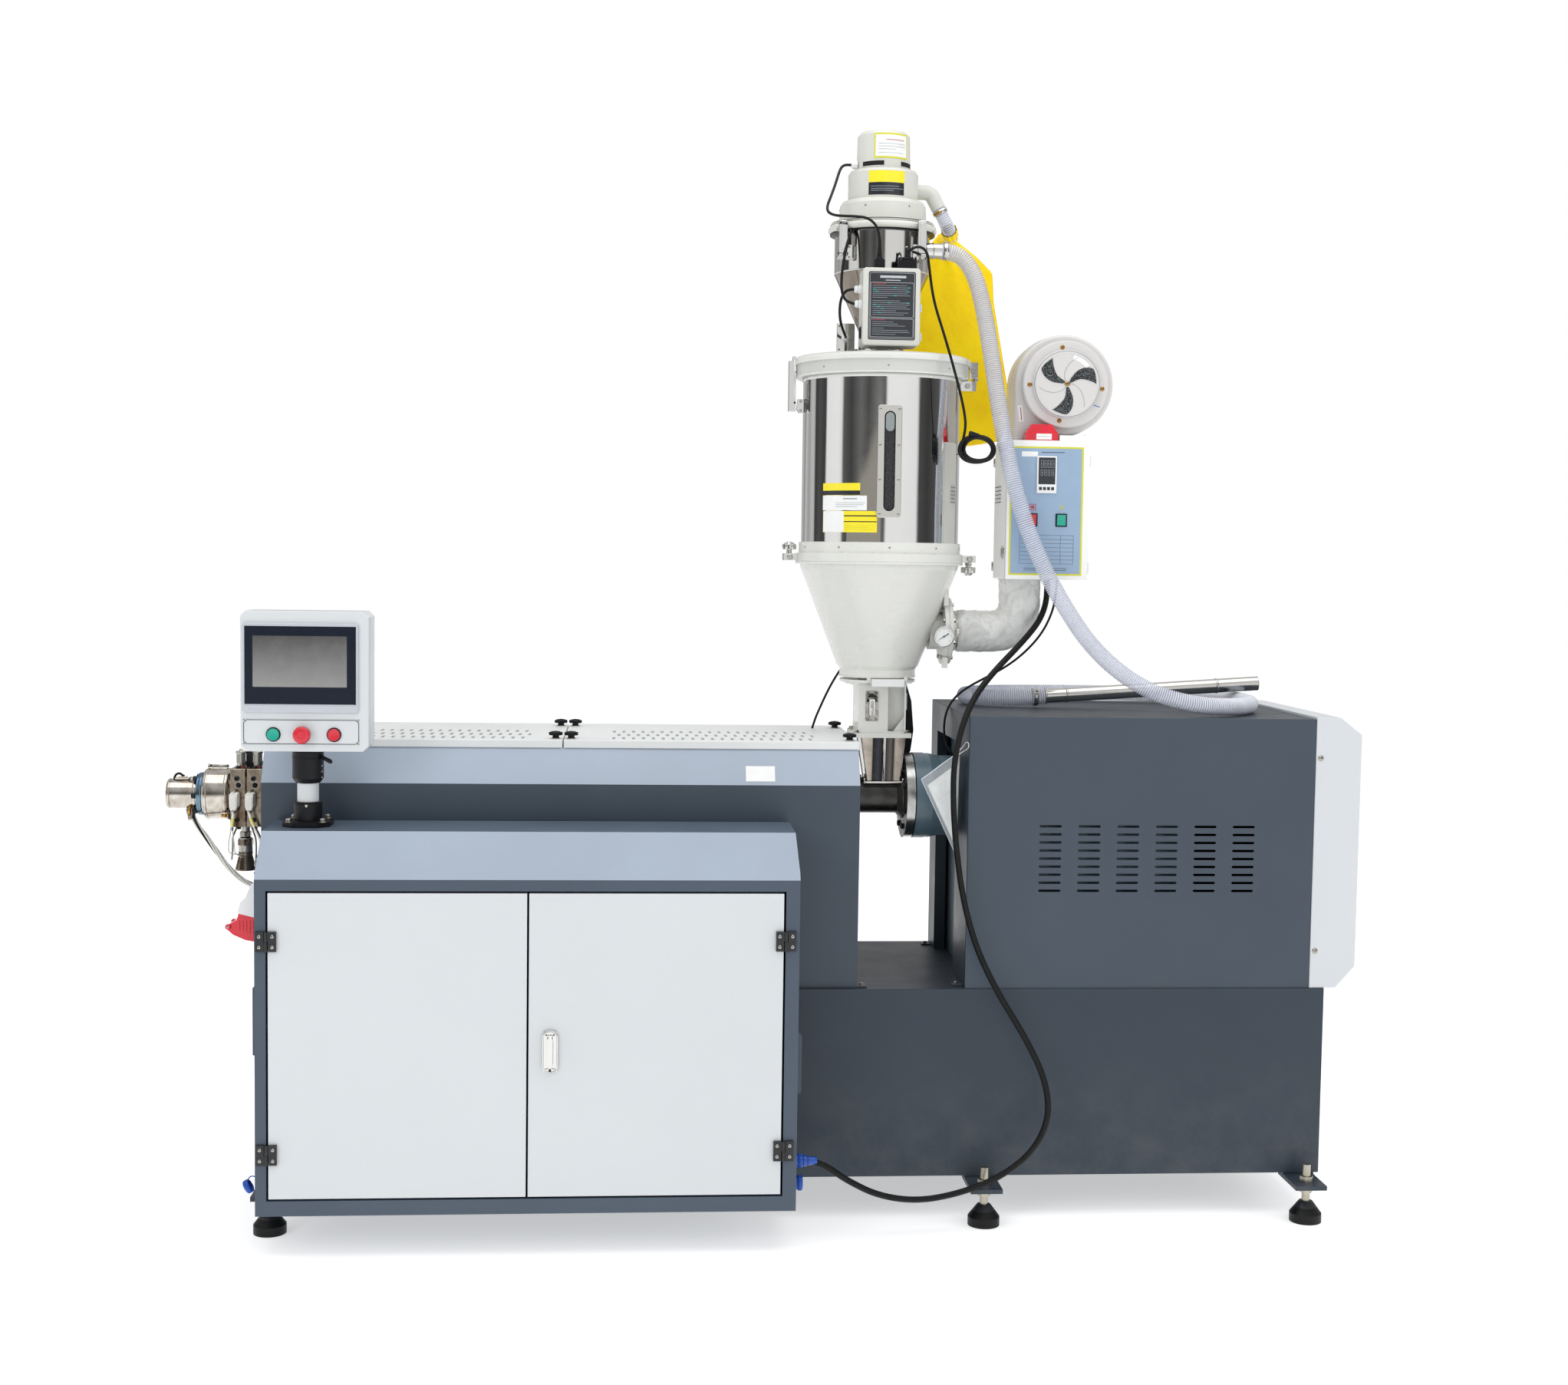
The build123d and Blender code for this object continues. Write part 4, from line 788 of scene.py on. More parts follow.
ROUTES = {
    "suction_hose": [
        (1662.3, 500, 2463), (1694, 500, 2462), (1726, 497, 2441), (1750, 490, 2400), (1765, 480, 2346), (1776, 466, 2284),
        (1787, 448, 2208), (1801, 426, 2098),
        (1817, 402, 1988), (1846, 390, 1850), (1896, 384, 1705), (1966, 376, 1570), (2052, 352, 1440), (2170, 318, 1345),
        (2300, 292, 1306), (2420, 330, 1300), (2500, 440, 1299.5), (2520, 570, 1299), (2490, 700, 1299), (2400, 800, 1299.5),
        (2270, 848, 1300), (2130, 858, 1300), (1990, 856, 1299.5), (1866, 830, 1299), (1778, 752, 1299.3),
        (1792, 646, 1299), (1885.2, 604.7, 1298.9), (1980, 604, 1305.5),
    ],
    "control_conduit": [
        (1968, 545, 1619.5), (1968, 543, 1592), (1964, 532, 1560), (1950, 511, 1527), (1925, 482, 1494), (1872, 430, 1446),
        (1800, 358, 1388), (1738, 292, 1328), (1698, 246, 1256), (1676, 228, 1160), (1676, 222, 1050), (1686, 220, 940),
        (1704, 216, 820), (1738, 209, 700), (1792, 200, 590), (1862, 188, 480), (1914, 176, 376), (1926, 164, 280),
        (1884, 152, 196), (1800, 142, 134), (1696, 132, 98), (1590, 118, 84), (1490, 100, 104), (1412, 88, 146),
        (1368, 82, 178), (1340, 80.2, 194), (1311.8, 80, 200.5),
    ],
    "motor_lead": [
        (1435.8, 560, 2688), (1417, 556, 2689), (1403, 544, 2680), (1394, 524, 2658), (1383, 500, 2624), (1369, 468, 2588),
        (1358, 446, 2561), (1359, 430, 2543), (1376, 419, 2534), (1404, 412, 2532), (1430, 406, 2531), (1456, 402, 2528),
        (1476, 400, 2514), (1487, 402, 2492), (1490, 406, 2460), (1490, 410, 2424),
    ],
    "level_lead": [
        (1424, 470, 2511.5), (1421, 462, 2496), (1413, 454, 2470), (1403, 444, 2430), (1397, 434, 2388), (1396, 427, 2352),
        (1401, 424, 2330), (1413, 423.5, 2317.5), (1431.8, 424, 2314),
    ],
    "valve_lead": [
        (1431.8, 440, 2353), (1417, 441, 2352.5), (1405, 446, 2345), (1398, 458, 2328), (1397, 474, 2304), (1401, 494, 2280),
        (1410, 520, 2262), (1419, 548, 2251), (1424, 572, 2247), (1426, 591.5, 2246),
    ],
    "power_lead": [
        (1562, 410, 2424), (1562, 408, 2442), (1576, 402, 2457), (1596, 395, 2457.5), (1610, 388, 2442),
        (1614, 383, 2404), (1625, 376, 2322), (1651, 370, 2243), (1675, 366, 2166), (1695, 365, 2096), (1709, 367, 2040),
        (1714, 373, 2006), (1722, 383, 1986),
    ],
    "dryer_lead": [
        (2004, 590, 1619.5), (2003, 591, 1580), (1994, 593, 1530), (1968, 594, 1475), (1926, 595.5, 1426),
        (1876, 596, 1386), (1820, 594, 1356), (1766, 588, 1328), (1728, 579, 1298), (1708, 570, 1262), (1702, 564, 1222),
        (1706, 561, 1188), (1719, 562, 1164), (1728, 566, 1147.2),
    ],
    "probe_lead": [
        (1463.5, 664, 1391), (1454, 677, 1388), (1441, 690, 1374), (1424, 699, 1346), (1404, 704, 1308), (1384, 708, 1262),
        (1370, 709, 1228), (1364, 710, 1205.4),
    ],
    "die_leads": [
        (-262, 560, 996.8), (-258, 552, 978), (-244, 540, 958), (-222, 525, 934), (-196, 512, 904), (-170, 504, 868),
        (-140, 500, 834), (-104, 504, 808), (-66, 514, 794), (-31.5, 520, 790),
    ],
}

# clear ribbed suction hose: a spiral rib stands on a thin wall
HOSE_R = 22.5
hose_pts = spline_points(ROUTES["suction_hose"], step=1.9)
k = Kit()
k.tube(hose_pts, HOSE_R, M["clear_pvc"], seg=20,
       rfun=lambda i, s: HOSE_R - 0.2 if i % 3 == 1 else HOSE_R - 2.4,
       matfun=lambda i: M["clear_rib"] if i % 3 == 0 else M["clear_pvc"])
hose = k.make("suction_hose_ribbed", "machine", replaces=["suction_hose"])

# corrugated conduit with its rings
con_pts = spline_points(ROUTES["control_conduit"], step=1.25)
k = Kit()
k.tube(con_pts, 8.0, M["rubber"], seg=12, rfun=lambda i, s: 8.0 if i % 3 else 6.7)
conduit = k.make("control_conduit_rings", "machine", replaces=["control_conduit"])

for nm, dia, far in (("motor_lead", 7, "object"), ("level_lead", 7, "object"), ("valve_lead", 7, "object"),
                     ("dryer_lead", 6, "object"), ("probe_lead", 6, "object")):
    ob = spline_obj(nm + "_cord", ROUTES[nm], dia, M["rubber"])
    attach(ob, "machine")
    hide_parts(nm)
    L = run_length(spline_points(ROUTES[nm]))

# heater and probe leads of the die: four pale strands and two black ones, laid up loosely
die_pts = spline_points(ROUTES["die_leads"], step=3.0)
k = Kit()
for n_ in range(6):
    strand = []
    for i, q in enumerate(die_pts):
        tg = (die_pts[min(i + 1, len(die_pts) - 1)] - die_pts[max(i - 1, 0)]).normalized()
        _, u_, w_ = basis(tg)
        a = 2 * math.pi * n_ / 5 + i * 3.0 / 42
        strand.append(q + (u_ * math.cos(a) + w_ * math.sin(a)) * (0.0 if n_ == 5 else 4.5))
    k.tube(strand, 2.45 if n_ != 5 else 2.0, M["rubber"] if n_ in (1, 5) else M["lead_white"], seg=10)
die_bundle = k.make("die_leads_bundle", "machine", replaces=["die_leads"])

# supply lead: down beside the hopper, then its spare length in a hanging hank of loose turns
coil_c = Vector((1747, 384, 1950))
turns = []
N_TURN, PER = 8, 12
ring_r = [(34, 34, 375.5), (32, 31.5, 376.5), (33.5, 33, 383.4), (31.5, 31.5, 384.5), (34, 33, 391.2), (32, 32, 392),
          (31.5, 31, 388.5), (33, 32, 379.8)]
ring_w = [13, 8, 14, 8, 13, 11, 7, 11]
ring_c = [(0, 0), (3, -2), (-1, 2), (2, 3), (-2, -2), (1, 2), (-2, -2), (-1, 2)]
for tix in range(N_TURN):
    ax0, az0, y0 = ring_r[tix]
    ax1, az1, y1 = ring_r[min(tix + 1, N_TURN - 1)]
    (cx0, cz0), (cx1, cz1) = ring_c[tix], ring_c[min(tix + 1, N_TURN - 1)]
    w0, w1 = ring_w[tix], ring_w[min(tix + 1, N_TURN - 1)]
    for j in range(PER):
        f = j / PER
        g = max(0.0, (f - 0.35) / 0.65)
        g = g * g * (3 - 2 * g)
        ra, rb, yy = ax0 + (ax1 - ax0) * g, az0 + (az1 - az0) * g, y0 + (y1 - y0) * g
        a = math.radians(118 + 360 * f)
        wob = 1 + 0.003 * math.sin(2 * a + tix * 1.7)
        flat = (w0 + (w1 - w0) * g) * math.tanh(1.6 * math.cos(a))
        turns.append((coil_c.x + cx0 + (cx1 - cx0) * g + ra * wob * math.cos(a) + flat, yy + 1.2 * math.sin(2 * a + tix),
                      coil_c.z + cz0 + (cz1 - cz0) * g + rb * wob * math.sin(a)))
power_route = ROUTES["power_lead"][:-1] + turns[1:]
power = spline_obj("power_lead_cord", power_route, 7, M["rubber"])
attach(power, "machine")
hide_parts("power_lead", "lead_coil")
power_len = run_length(spline_points(power_route))
end = Vector(power_route[-1])
k = Kit()
k.lathe(end, (power_route[-1][0] - power_route[-2][0], 0, power_route[-1][2] - power_route[-2][2]),
        [(-3, 3.7), (0, 5.2), (14, 6.4), (15, 7.2), (24, 7.2), (25, 5.8), (25, 0)], M["black"], 16)
end_plug = k.make("power_lead_connector", "machine")
k = Kit()
for ang, wd in ((200, 5.0),):
    a = math.radians(ang)
    c = Vector((coil_c.x + 31 * math.cos(a) - 13, 384, coil_c.z + 31 * math.sin(a)))
    out = Vector((math.cos(a), 0, math.sin(a)))
    ring = [c + out * (12.6 * math.cos(q)) + Vector((0, 1, 0)) * (12.6 * math.sin(q))
            for q in [2 * math.pi * i / 24 for i in range(25)]]
    k.tube(ring, 1.4, M["black"], seg=8, caps=False)
k.make("coil_tie", "machine")


# ------------------------------------------------------------------ CAD nodes and their finishes
def near(x0, x1, y0, y1, z0, z1):
    return lambda q, n: x0 <= q[0] <= x1 and y0 <= q[1] <= y1 and z0 <= q[2] <= z1


# top faces of the base frame take the darker slate copy: painted shade
finish_node("base_frame", M["plinth"], [(M["slate_dark"], lambda q, n: n[2] > 0.9)])
finish_node("levelling_feet", M["plinth"], [
    (M["rubber"], lambda q, n: q[2] < 38),
    (M["black_metal"], lambda q, n: q[2] < 52.5),
    (M["zinc"], lambda q, n: q[2] < 89.5 or (q[2] > 106.2 and abs(min((q[0] - f for f in (1, 1768, 2597)), key=abs)) < 20)),
    (M["zinc"], lambda q, n: q[2] > 101.5 and min(abs(q[1] - 190), abs(q[1] - 950)) < 20),
])
# inside faces of the cabinet: painted shade
finish_node("cabinet_case", M["frame"], [(M["frame_inside"], lambda q, n: 3.5 < q[0] < 1273.5 and q[1] > 20.5 and q[1] < 247.5
                                          and 105.5 < q[2] < 902)])
# slanted faces of the hood take the lighter slate copy: painted highlight
finish_node("cabinet_hood", M["frame"], [(M["slant"], lambda q, n: 0.2 < n[2] < 0.85 and n[1] < -0.2),
                                         # top faces of the hood: painted light
                                         (M["hood_top"], lambda q, n: n[2] > 0.9)])
HINGE_Z = ((733, 780), (226, 274))


def is_leaf(q):
    return q[1] < -0.3 and any(a - 1 <= q[2] <= b + 1 for a, b in HINGE_Z)


finish_node("cabinet_door_left", M["white"], [(M["black_metal"], lambda q, n: is_leaf(q))])
finish_node("cabinet_door_right", M["white"], [(M["black_metal"], lambda q, n: is_leaf(q)),
                                               (M["chrome"], lambda q, n: q[1] < -0.3 and 660 < q[0] < 720)])
finish_node("hinge_leaves_fixed", M["black_metal"])
finish_node("door_handle_lever", M["chrome"])
finish_node("side_vents", M["frame"])
finish_node("power_inlet", M["white_plastic"])
finish_node("power_inlet_cap", M["red"])
finish_node("side_sockets", M["blue"])
finish_node("panel_column", M["black"], [(M["white"], lambda q, n: q[2] > 1065.5 and abs(n[2]) < 0.5),
                                         (M["bolt"], lambda q, n: q[2] > 1021.2 and max(abs(q[0] - 100), abs(q[1] - 158)) > 33.8)])
finish_node("panel_clamp", M["black"])
finish_node("panel_box", M["white"])
finish_node("panel_screen", M["bezel"], [(M["navy"], lambda q, n: -39.5 < q[0] < 221.5 and 101 < q[1] < 102.5 and 1303 < q[2] < 1490)])
finish_node("panel_buttons", M["black"])
# slanted faces of the barrel housing take the lighter slate copy: painted highlight
finish_node("barrel_housing", M["housing"], [(M["slant"], lambda q, n: 0.2 < n[2] < 0.85 and n[1] < -0.2)])
for nm in ("barrel_cover_left", "barrel_cover_right"):
    # near-black floors of the cover's slots: painted shade seen through the perforations
    finish_node(nm, M["cover"], [(M["slot_shade_and_joint_dark"], lambda q, n: 1189 < q[2] < 1192 and n[2] > 0.5)])
finish_node("cover_knobs", M["black"])
finish_node("die_heaters", M["heater"], [(M["blued"], lambda q, n: -242.5 <= q[0] <= -225.5),
                                         (M["block_steel"], lambda q, n: q[0] > -160.5 or (q[0] < -242 and abs(n[0]) < 0.3 and
                                          math.hypot(q[1] - 570, q[2] - 1035) < 15))])
finish_node("die_blocks", M["block_steel"])
finish_node("die_fittings", M["bolt"], [(M["ceramic"], near(-150, -80, 455, 494.9, 1000, 1060)),
                                        (M["label_red"], near(-160, -60, 500, 580, 1108, 1112.5))])
finish_node("feed_barrel", M["dark_barrel"], [(M["flange_dark"], lambda q, n: 1585 < q[0] < 1598 or (1598 <= q[0] < 1617.5 and n[0] < -0.5)),
                                              (M["casting"], lambda q, n: q[0] > 1617.5), (M["flange_bright"], lambda q, n: q[0] >= 1598)])
finish_node("gearbox", M["casting"])
# left and top faces of the gear housing take the darker slate copy: painted shade
finish_node("gear_housing", M["housing"], [(M["slate_dark"], lambda q, n: n[0] < -0.7 or n[2] > 0.9),
                                           # inside faces of the gear housing: painted shade
                                           (M["frame_inside"], lambda q, n: 1723.5 < q[0] < 2606.5 and 259.5 < q[1] < 880.5
                                            and q[2] < 1271.5)])
finish_node("pulley_guard", M["guard"])
# funnel plates carry painted reflection bands
finish_node("throat_funnel", M["throat_plate_painted_reflection"])
finish_node("hopper_neck", M["cream"])
finish_node("slide_gate", M["cream"])
finish_node("rear_apron", M["rubber"])
finish_node("hopper_cone", M["cream"])
finish_node("hopper_drum", M["drum"], [(M["cream"], lambda q, n: q[2] < 1710)])
# lid in the darker cream copy: painted shade
finish_node("hopper_lid", M["lid"])
finish_node("sight_glass", M["tube_steel"])
finish_node("loader_vessel", M["mirror"], [(M["cone_steel"], lambda q, n: -0.97 < n[2] < -0.12)])
finish_node("loader_head", M["loader_grey"])
finish_node("loader_control", M["loader_grey"])
finish_node("dryer_control", M["dryer_white"])
finish_node("dryer_blower", M["blower_grey"])
finish_node("alarm_box", M["red"])
finish_node("suction_wand", M["tube_steel"])
finish_node("conduit_plug", M["blue"], [(M["black"], lambda q, n: q[0] > 1299.5)])
finish_node("lead_plugs", M["black"], [(M["white_plastic"], lambda q, n: q[0] < 1447.5)])
finish_node("hopper_clamps", M["chrome"])
finish_node("loader_fittings", M["mirror"])


# ------------------------------------------------------------------ cabinet details
k = Kit()
for z0, z1 in HINGE_Z:
    for z in (z0 + 11, z1 - 11):
        for x in (27.5 - 15, 1244.5 + 15):
            k.screw((x, -8, z), (0, -1, 0), 4.6, 2.6, M["bolt"])
k.make("hinge_screws_fixed", "machine")
for side, x, body in (("left", 27.5 + 15, "door_left"), ("right", 1244.5 - 15, "door_right")):
    k = Kit()
    for z0, z1 in HINGE_Z:
        for z in (z0 + 11, z1 - 11):
            k.screw((x, -8, z), (0, -1, 0), 4.6, 2.6, M["bolt"])
    k.make("hinge_screws_" + side, body)

# rolled rim of the flush handle and its domed lever
k = Kit()
ring = rounded(671.5, 704.5, 444.5, 542.5, 13, 7, -6.2)
k.tube([Vector(p) for p in ring] + [Vector(ring[0])], 2.0, M["chrome"], seg=8, caps=False)
# near-black boss at the foot of the handle recess: painted shade
k.lathe((688, -6, 448.5), (0, -1, 0), [(0, 3.2), (1.2, 3.2), (1.6, 2.4), (1.6, 0)], M["slot_shade_and_joint_dark"], 14)
k.make("door_handle_rim", "door_right")
k = Kit()
k.prism(rounded(681, 695, 455, 532, 6.5, 6, -15.4), (0, -1, 0), 3.0, M["chrome"], b=2.2)
k.make("door_handle_cover", "handle", bevel=0.5)

# turned edges of the doors, drawn as black strips: a painted fine shadow line round each panel
for side, x0, x1 in (("left", 31, 632), ("right", 637, 1239)):
    k = Kit()
    for a, b, c, d in ((x0 + 16, x1 - 16, 157, 160), (x0 + 16, x1 - 16, 853, 856)):
        k.box(a, b, 16.5, 17.8, c, d, M["rubber"])
    for a, b in ((x0 + 14, x0 + 17), (x1 - 17, x1 - 14)):
        k.box(a, b, 16.5, 17.8, 157, 856, M["rubber"])
    k.make("door_shadow_line_" + side, "door_" + side)

# small cap screws at both ends of the hood
k = Kit()
for z in (915, 933, 951.5):
    k.socket((1277 - max(0, z - 906) * 0.09, 9 + (z - 902) * 0.45, z), (1, 0, 0), 3.4, 3.0, M["black_bolt"])
    k.socket((0 + max(0, z - 906) * 0.09, 9 + (z - 902) * 0.45, z), (-1, 0, 0), 3.4, 3.0, M["black_bolt"])
k.make("hood_screws", "machine")

# supply inlet on the left end: mounting base, cap rib, hinge ear with its screw
k = Kit()
k.box(-3.2, -0.1, 56, 144, 795, 893, M["white_plastic"], b=1.5)
k.tube([(-24, 100, 838), (-24, 100, 840)], 3, M["white_plastic"], seg=8)
for y in (64, 136):
    k.lathe((-72, 100 + (y - 100) * 0.98, 779), (0, 1 if y > 100 else -1, 0), [(0, 7), (2.6, 6.6), (3, 4), (3, 0)], M["red"], 20)
    k.screw((-72, 100 + (y - 100) * 0.98 + (3 if y > 100 else -3), 779), (0, 1 if y > 100 else -1, 0), 3.4, 1.6, M["bolt"])
for i in range(5):
    x = -14 - i * 8
    k.box(x - 1.2, x + 1.2, 63.5, 65.9, 760 + i * 3, 792, M["red"])
k.make("power_inlet_trim", "machine")

# blue sockets: knurled rings, and the spare one's cap on its strap
k = Kit()
for x0, s, y, z in ((1277, 1, 80, 200), (1277, 1, 80, 146), (0, -1, 80, 140)):
    k.lathe((x0, y, z), (s, 0, 0), [(0, 19.4), (2.6, 19.4), (3.4, 18.6), (3.4, 16.2)], M["blue"], 36, caps=False)
    for i in range(4):
        a = math.radians(45 + 90 * i)
        k.screw((x0 + s * 3.2, y + 17.4 * math.cos(a) * 1.0, z + 17.4 * math.sin(a)), (s, 0, 0), 1.5, 1.0, M["bolt"])
for s, xa, z in ((1, 1286, 146),):
    k.lathe((xa, 80, z), (s, 0, 0), [(0, 17), (1, 18.2), (11, 18.2), (13, 16.5), (13, 0)], M["blue"], 36)
    for i in range(24):
        a = 2 * math.pi * i / 24
        c = Vector((xa + 6, 80 + 18.2 * math.cos(a), z + 18.2 * math.sin(a)))
        k.cyl(c - Vector((4, 0, 0)), c + Vector((4, 0, 0)), 1.0, M["blue"], 6)
# hanging cap
cx, cy, cz = -30, 80, 150
k.lathe((cx, cy, cz), (0.86, 0, 0.5), [(-7, 0), (-7, 14), (-6, 16), (6, 16), (7, 14.5), (7, 12), (-3, 12), (-3, 0)], M["blue"], 32)
for i in range(20):
    a = 2 * math.pi * i / 20
    ax_, u_, w_ = basis((0.86, 0, 0.5))
    c = Vector((cx, cy, cz)) + (u_ * math.cos(a) + w_ * math.sin(a)) * 16
    k.cyl(c - ax_ * 4, c + ax_ * 4, 0.9, M["blue"], 6)
k.tube(spline_points([(-4, 80, 158), (-10, 80, 172), (-22, 80, 176), (-30, 80, 170), (-33, 80, 160)], step=3), 1.3, M["blue"], seg=8)
k.make("socket_rings", "machine")

# coupling ring and strain relief of the round connector
k = Kit()
k.lathe((1286, 80, 200), (1, 0, 0), [(0.5, 15.2), (1.5, 16.4), (11.5, 16.4), (12.5, 15.2)], M["blue"], 36)
for i in range(20):
    a = 2 * math.pi * i / 20
    c = Vector((1292.5, 80 + 16.4 * math.cos(a), 200 + 16.4 * math.sin(a)))
    k.cyl(c - Vector((4.5, 0, 0)), c + Vector((4.5, 0, 0)), 0.9, M["blue"], 6)
k.lathe((1299, 80, 200), (1, 0, 0.01), [(0, 13.4), (3, 13.6), (10, 12.6), (13, 11.2), (24, 10.2), (34, 8.9), (35, 8.2)], M["blue"], 24)
k.make("conduit_coupling", "machine")

# ------------------------------------------------------------------ operator panel
B = "operator_panel"
k = Kit()
k.prism(rounded(-37, 219, 1306, 1487, 4, 4, 101.9), (0, -1, 0), 0.5, M["navy"])
k.prism(rounded(-19.8, 199.6, 1345, 1466, 1.2, 3, 101.35), (0, -1, 0), 0.25, M["screen"])
k.make("panel_glass", B)
k = Kit()
# moulded step round the screen and a row of grip dots under it
ringo = rounded(-41, 223, 1301.5, 1491.5, 5, 5, 100.9)
k.tube([Vector(p) for p in ringo] + [Vector(ringo[0])], 0.9, M["bezel"], seg=6, caps=False)
for i in range(7):
    k.lathe((-28 + i * 5, 101.0, 1292), (0, -1, 0), [(0, 1.5), (0.5, 1.2), (0.6, 0)], M["bezel"], 10)
k.make("panel_bezel_detail", B)
k = Kit()
k.prism([(-44, 108.2, 1207), (229, 108.2, 1207), (229, 108.2, 1269), (-44, 108.2, 1269)], (0, -1, 0), 1.6, M["white"], b=0.5)
o = [(-35, 1209.5), (220, 1209.5), (227, 1216.5), (227, 1259.5), (220, 1266.5), (-35, 1266.5), (-42, 1259.5), (-42, 1216.5)]
for (xa, za), (xb, zb) in zip(o, o[1:] + o[:1]):
    k.cyl((xa, 106.6, za), (xb, 106.6, zb), 0.85, M["black_metal"], 6)
for x in (-41, 226):
    for z in (1210, 1266):
        k.screw((x, 106.6, z), (0, -1, 0), 2.6, 1.3, M["bolt"])
k.make("button_plate", B)
k = Kit()
for x, mt in ((27, M["button_green"]), (169, M["button_red"])):
    k.lathe((x, 106.5, 1232), (0, -1, 0), [(0, 17.2), (2.0, 17.2), (2.8, 16.2), (2.8, 14.6)], M["black"], 40)
    k.lathe((x, 106.5, 1232), (0, -1, 0), [(2.0, 14.5), (6.4, 14.5), (7.6, 13.4), (6.9, 12.0), (6.4, 9.0), (6.2, 0)], mt, 40)
k.lathe((96, 106.5, 1232), (0, -1, 0), [(0, 18.5), (2.0, 18.5), (2.8, 17.2), (2.8, 12.8), (12, 12.8), (14, 14)], M["black"], 40)
k.lathe((96, 106.5, 1232), (0, -1, 0), [(12.5, 13.5), (13, 19), (15, 20.6), (20, 20.8), (23.5, 19.6), (25.6, 16.4), (26.6, 11),
                                        (27, 0)], M["button_red"], 48)
k.lathe((96, 106.5, 1232), (0, -1, 0), [(26.3, 9.0), (27.6, 9.4), (27.6, 8.2), (27.0, 7.8)], M["button_red"], 40)
k.make("panel_buttons_detailed", B, replaces=["panel_buttons"])
k = Kit()
# lid joint round the box, hinge pins on its left side and a quarter-turn lock
for x0, x1, z0, z1 in ((-50.3, -49.6, 1206, 1510), (249.6, 250.3, 1206, 1510)):
    k.box(x0, x1, 131, 132.6, z0, z1, M["label_grey"])
k.box(-36, 236, 131, 132.6, 1190.7, 1191.4, M["label_grey"])
k.box(-36, 236, 131, 132.6, 1524.6, 1525.3, M["label_grey"])
for z in (1258, 1458):
    k.lathe((-50, 150, z), (-1, 0, 0), [(0, 7), (2.6, 7), (3.4, 6), (3.4, 0)], M["chrome"], 24)
    # dark key slot in the lock: painted shade
    k.box(-54.2, -53.3, 146, 154, z - 1, z + 1, M["slot_shade_and_joint_dark"])
k.make("panel_box_lock", B)

k = Kit()
for sx in (-40, 40):
    for sy in (-40, 40):
        k.lathe((100 + sx, 158 + sy, 1021), (0, 0, 1), [(0, 9.2), (1.6, 9.2), (1.7, 7)], M["zinc"], 20)
        k.socket((100 + sx, 158 + sy, 1022.6), (0, 0, 1), 6.7, 8.0, M["bolt"])
k.lathe((100, 158, 1066), (0, 0, 1), [(-2.5, 33.6), (0.6, 33.8), (1.4, 33), (1.4, 26.0)], M["black"], 48)
k.lathe((100, 158, 1009), (0, 0, 1), [(12, 46), (12.6, 45.6), (12.6, 34)], M["black"], 48)
k.make("column_bolts", "machine")
k = Kit()
k.lathe((100, 158, 1112), (0, 0, 1), [(60.4, 37.2), (61.2, 37.7), (62.6, 37.7), (63.2, 37.2)], M["black"], 48)
k.tube([(130, 140, 1178), (156, 132, 1166), (160, 131, 1163)], 5.0, M["black"], seg=12,
       rfun=lambda i, s: (4.6, 5.4, 3.2)[i])
for z in (1126, 1140, 1154):
    k.socket((100 + 36.6 * 0.94, 158 - 36.6 * 0.34, z), (0.94, -0.34, 0), 2.6, 1.4, M["bolt"])
k.make("clamp_details", B)

# ------------------------------------------------------------------ barrel housing
k = Kit()
nrm = Vector((0, -85, 50)).normalized()
sl = lambda x, z: Vector((x, 265 + (z - 1099) * 50 / 85, z))
k.prism([sl(1160, 1108), sl(1233, 1108), sl(1233, 1144), sl(1160, 1144)], nrm, 0.5, M["label_white"])
k.make("blank_plate", "machine")
k = Kit()
for x in (1446.2,):
    k.box(x - 24, x + 0.4, 300, 312, 586, 592, M["housing"], b=0.6)
    k.hexa((x - 12, 306, 592), (0, 0, 1), 8, 4.5, M["zinc"])
k.box(1447, 1472, 268, 300, 586.2, 590, M["housing"], b=0.6)
k.hexa((1460, 284, 590), (0, 0, 1), 10, 5.5, M["zinc"])
k.lathe((1460, 284, 590), (0, 0, 1), [(0, 9), (1.2, 9), (1.2, 5)], M["zinc"], 20)
for y in (300, 840):
    k.box(1693, 1718.8, y - 14, y + 14, 586.2, 590, M["housing"], b=0.6)
    k.hexa((1704, y, 590), (0, 0, 1), 10, 5.5, M["zinc"])
k.make("foot_tabs", "machine")
k = Kit()
for x0, x1 in ((-33, 701.5), (704.5, 1449)):
    for y in (313.3, 826.7):
        k.box(x0 + 3, x1 - 3, y - 0.9, y + 0.9, 1184.2, 1185.6, M["label_grey"])
for kx in (-12, 683, 722, 1429):
    for ky in (366, 745):
        k.lathe((kx, ky, 1204), (0, 0, 1), [(0, 11.5), (1.3, 11.5), (1.6, 9)], M["zinc"], 24)
        for i in range(10):
            a = 2 * math.pi * i / 10
            c = Vector((kx + 15 * math.cos(a), ky + 15 * math.sin(a), 1212.5))
            k.cyl(c, c + Vector((0, 0, 7.5)), 2.3, M["black"], 8)
        k.lathe((kx, ky, 1222), (0, 0, 1), [(0, 5.2), (0.9, 4.6), (1.1, 0)], M["black"], 20)
k.make("cover_trim", "machine")

# ------------------------------------------------------------------ gear housing and pulley guard
k = Kit()
for x in (2618.5,):
    for z in (1177, 682):
        for y, s in ((253, -1), (887, 1)):
            k.lathe((x + 4, y, z), (0, s, 0), [(0, 7.2), (1.0, 7.2), (1.0, 4)], M["zinc"], 20)
            k.screw((x + 4, y + s * 1, z), (0, s, 0), 5.2, 3.0, M["bolt"])
k.make("guard_screws", "machine")

# ------------------------------------------------------------------ die end
AY, DZ = 570.0, 1035.0
k = Kit()


def hexbolt_x(x, ang, r, mat, s=-1, rr=5.2, h=6.0):
    a = math.radians(ang)
    k.socket((x, AY + r * math.sin(a), DZ + r * math.cos(a)), (s, 0, 0), rr, h, mat)


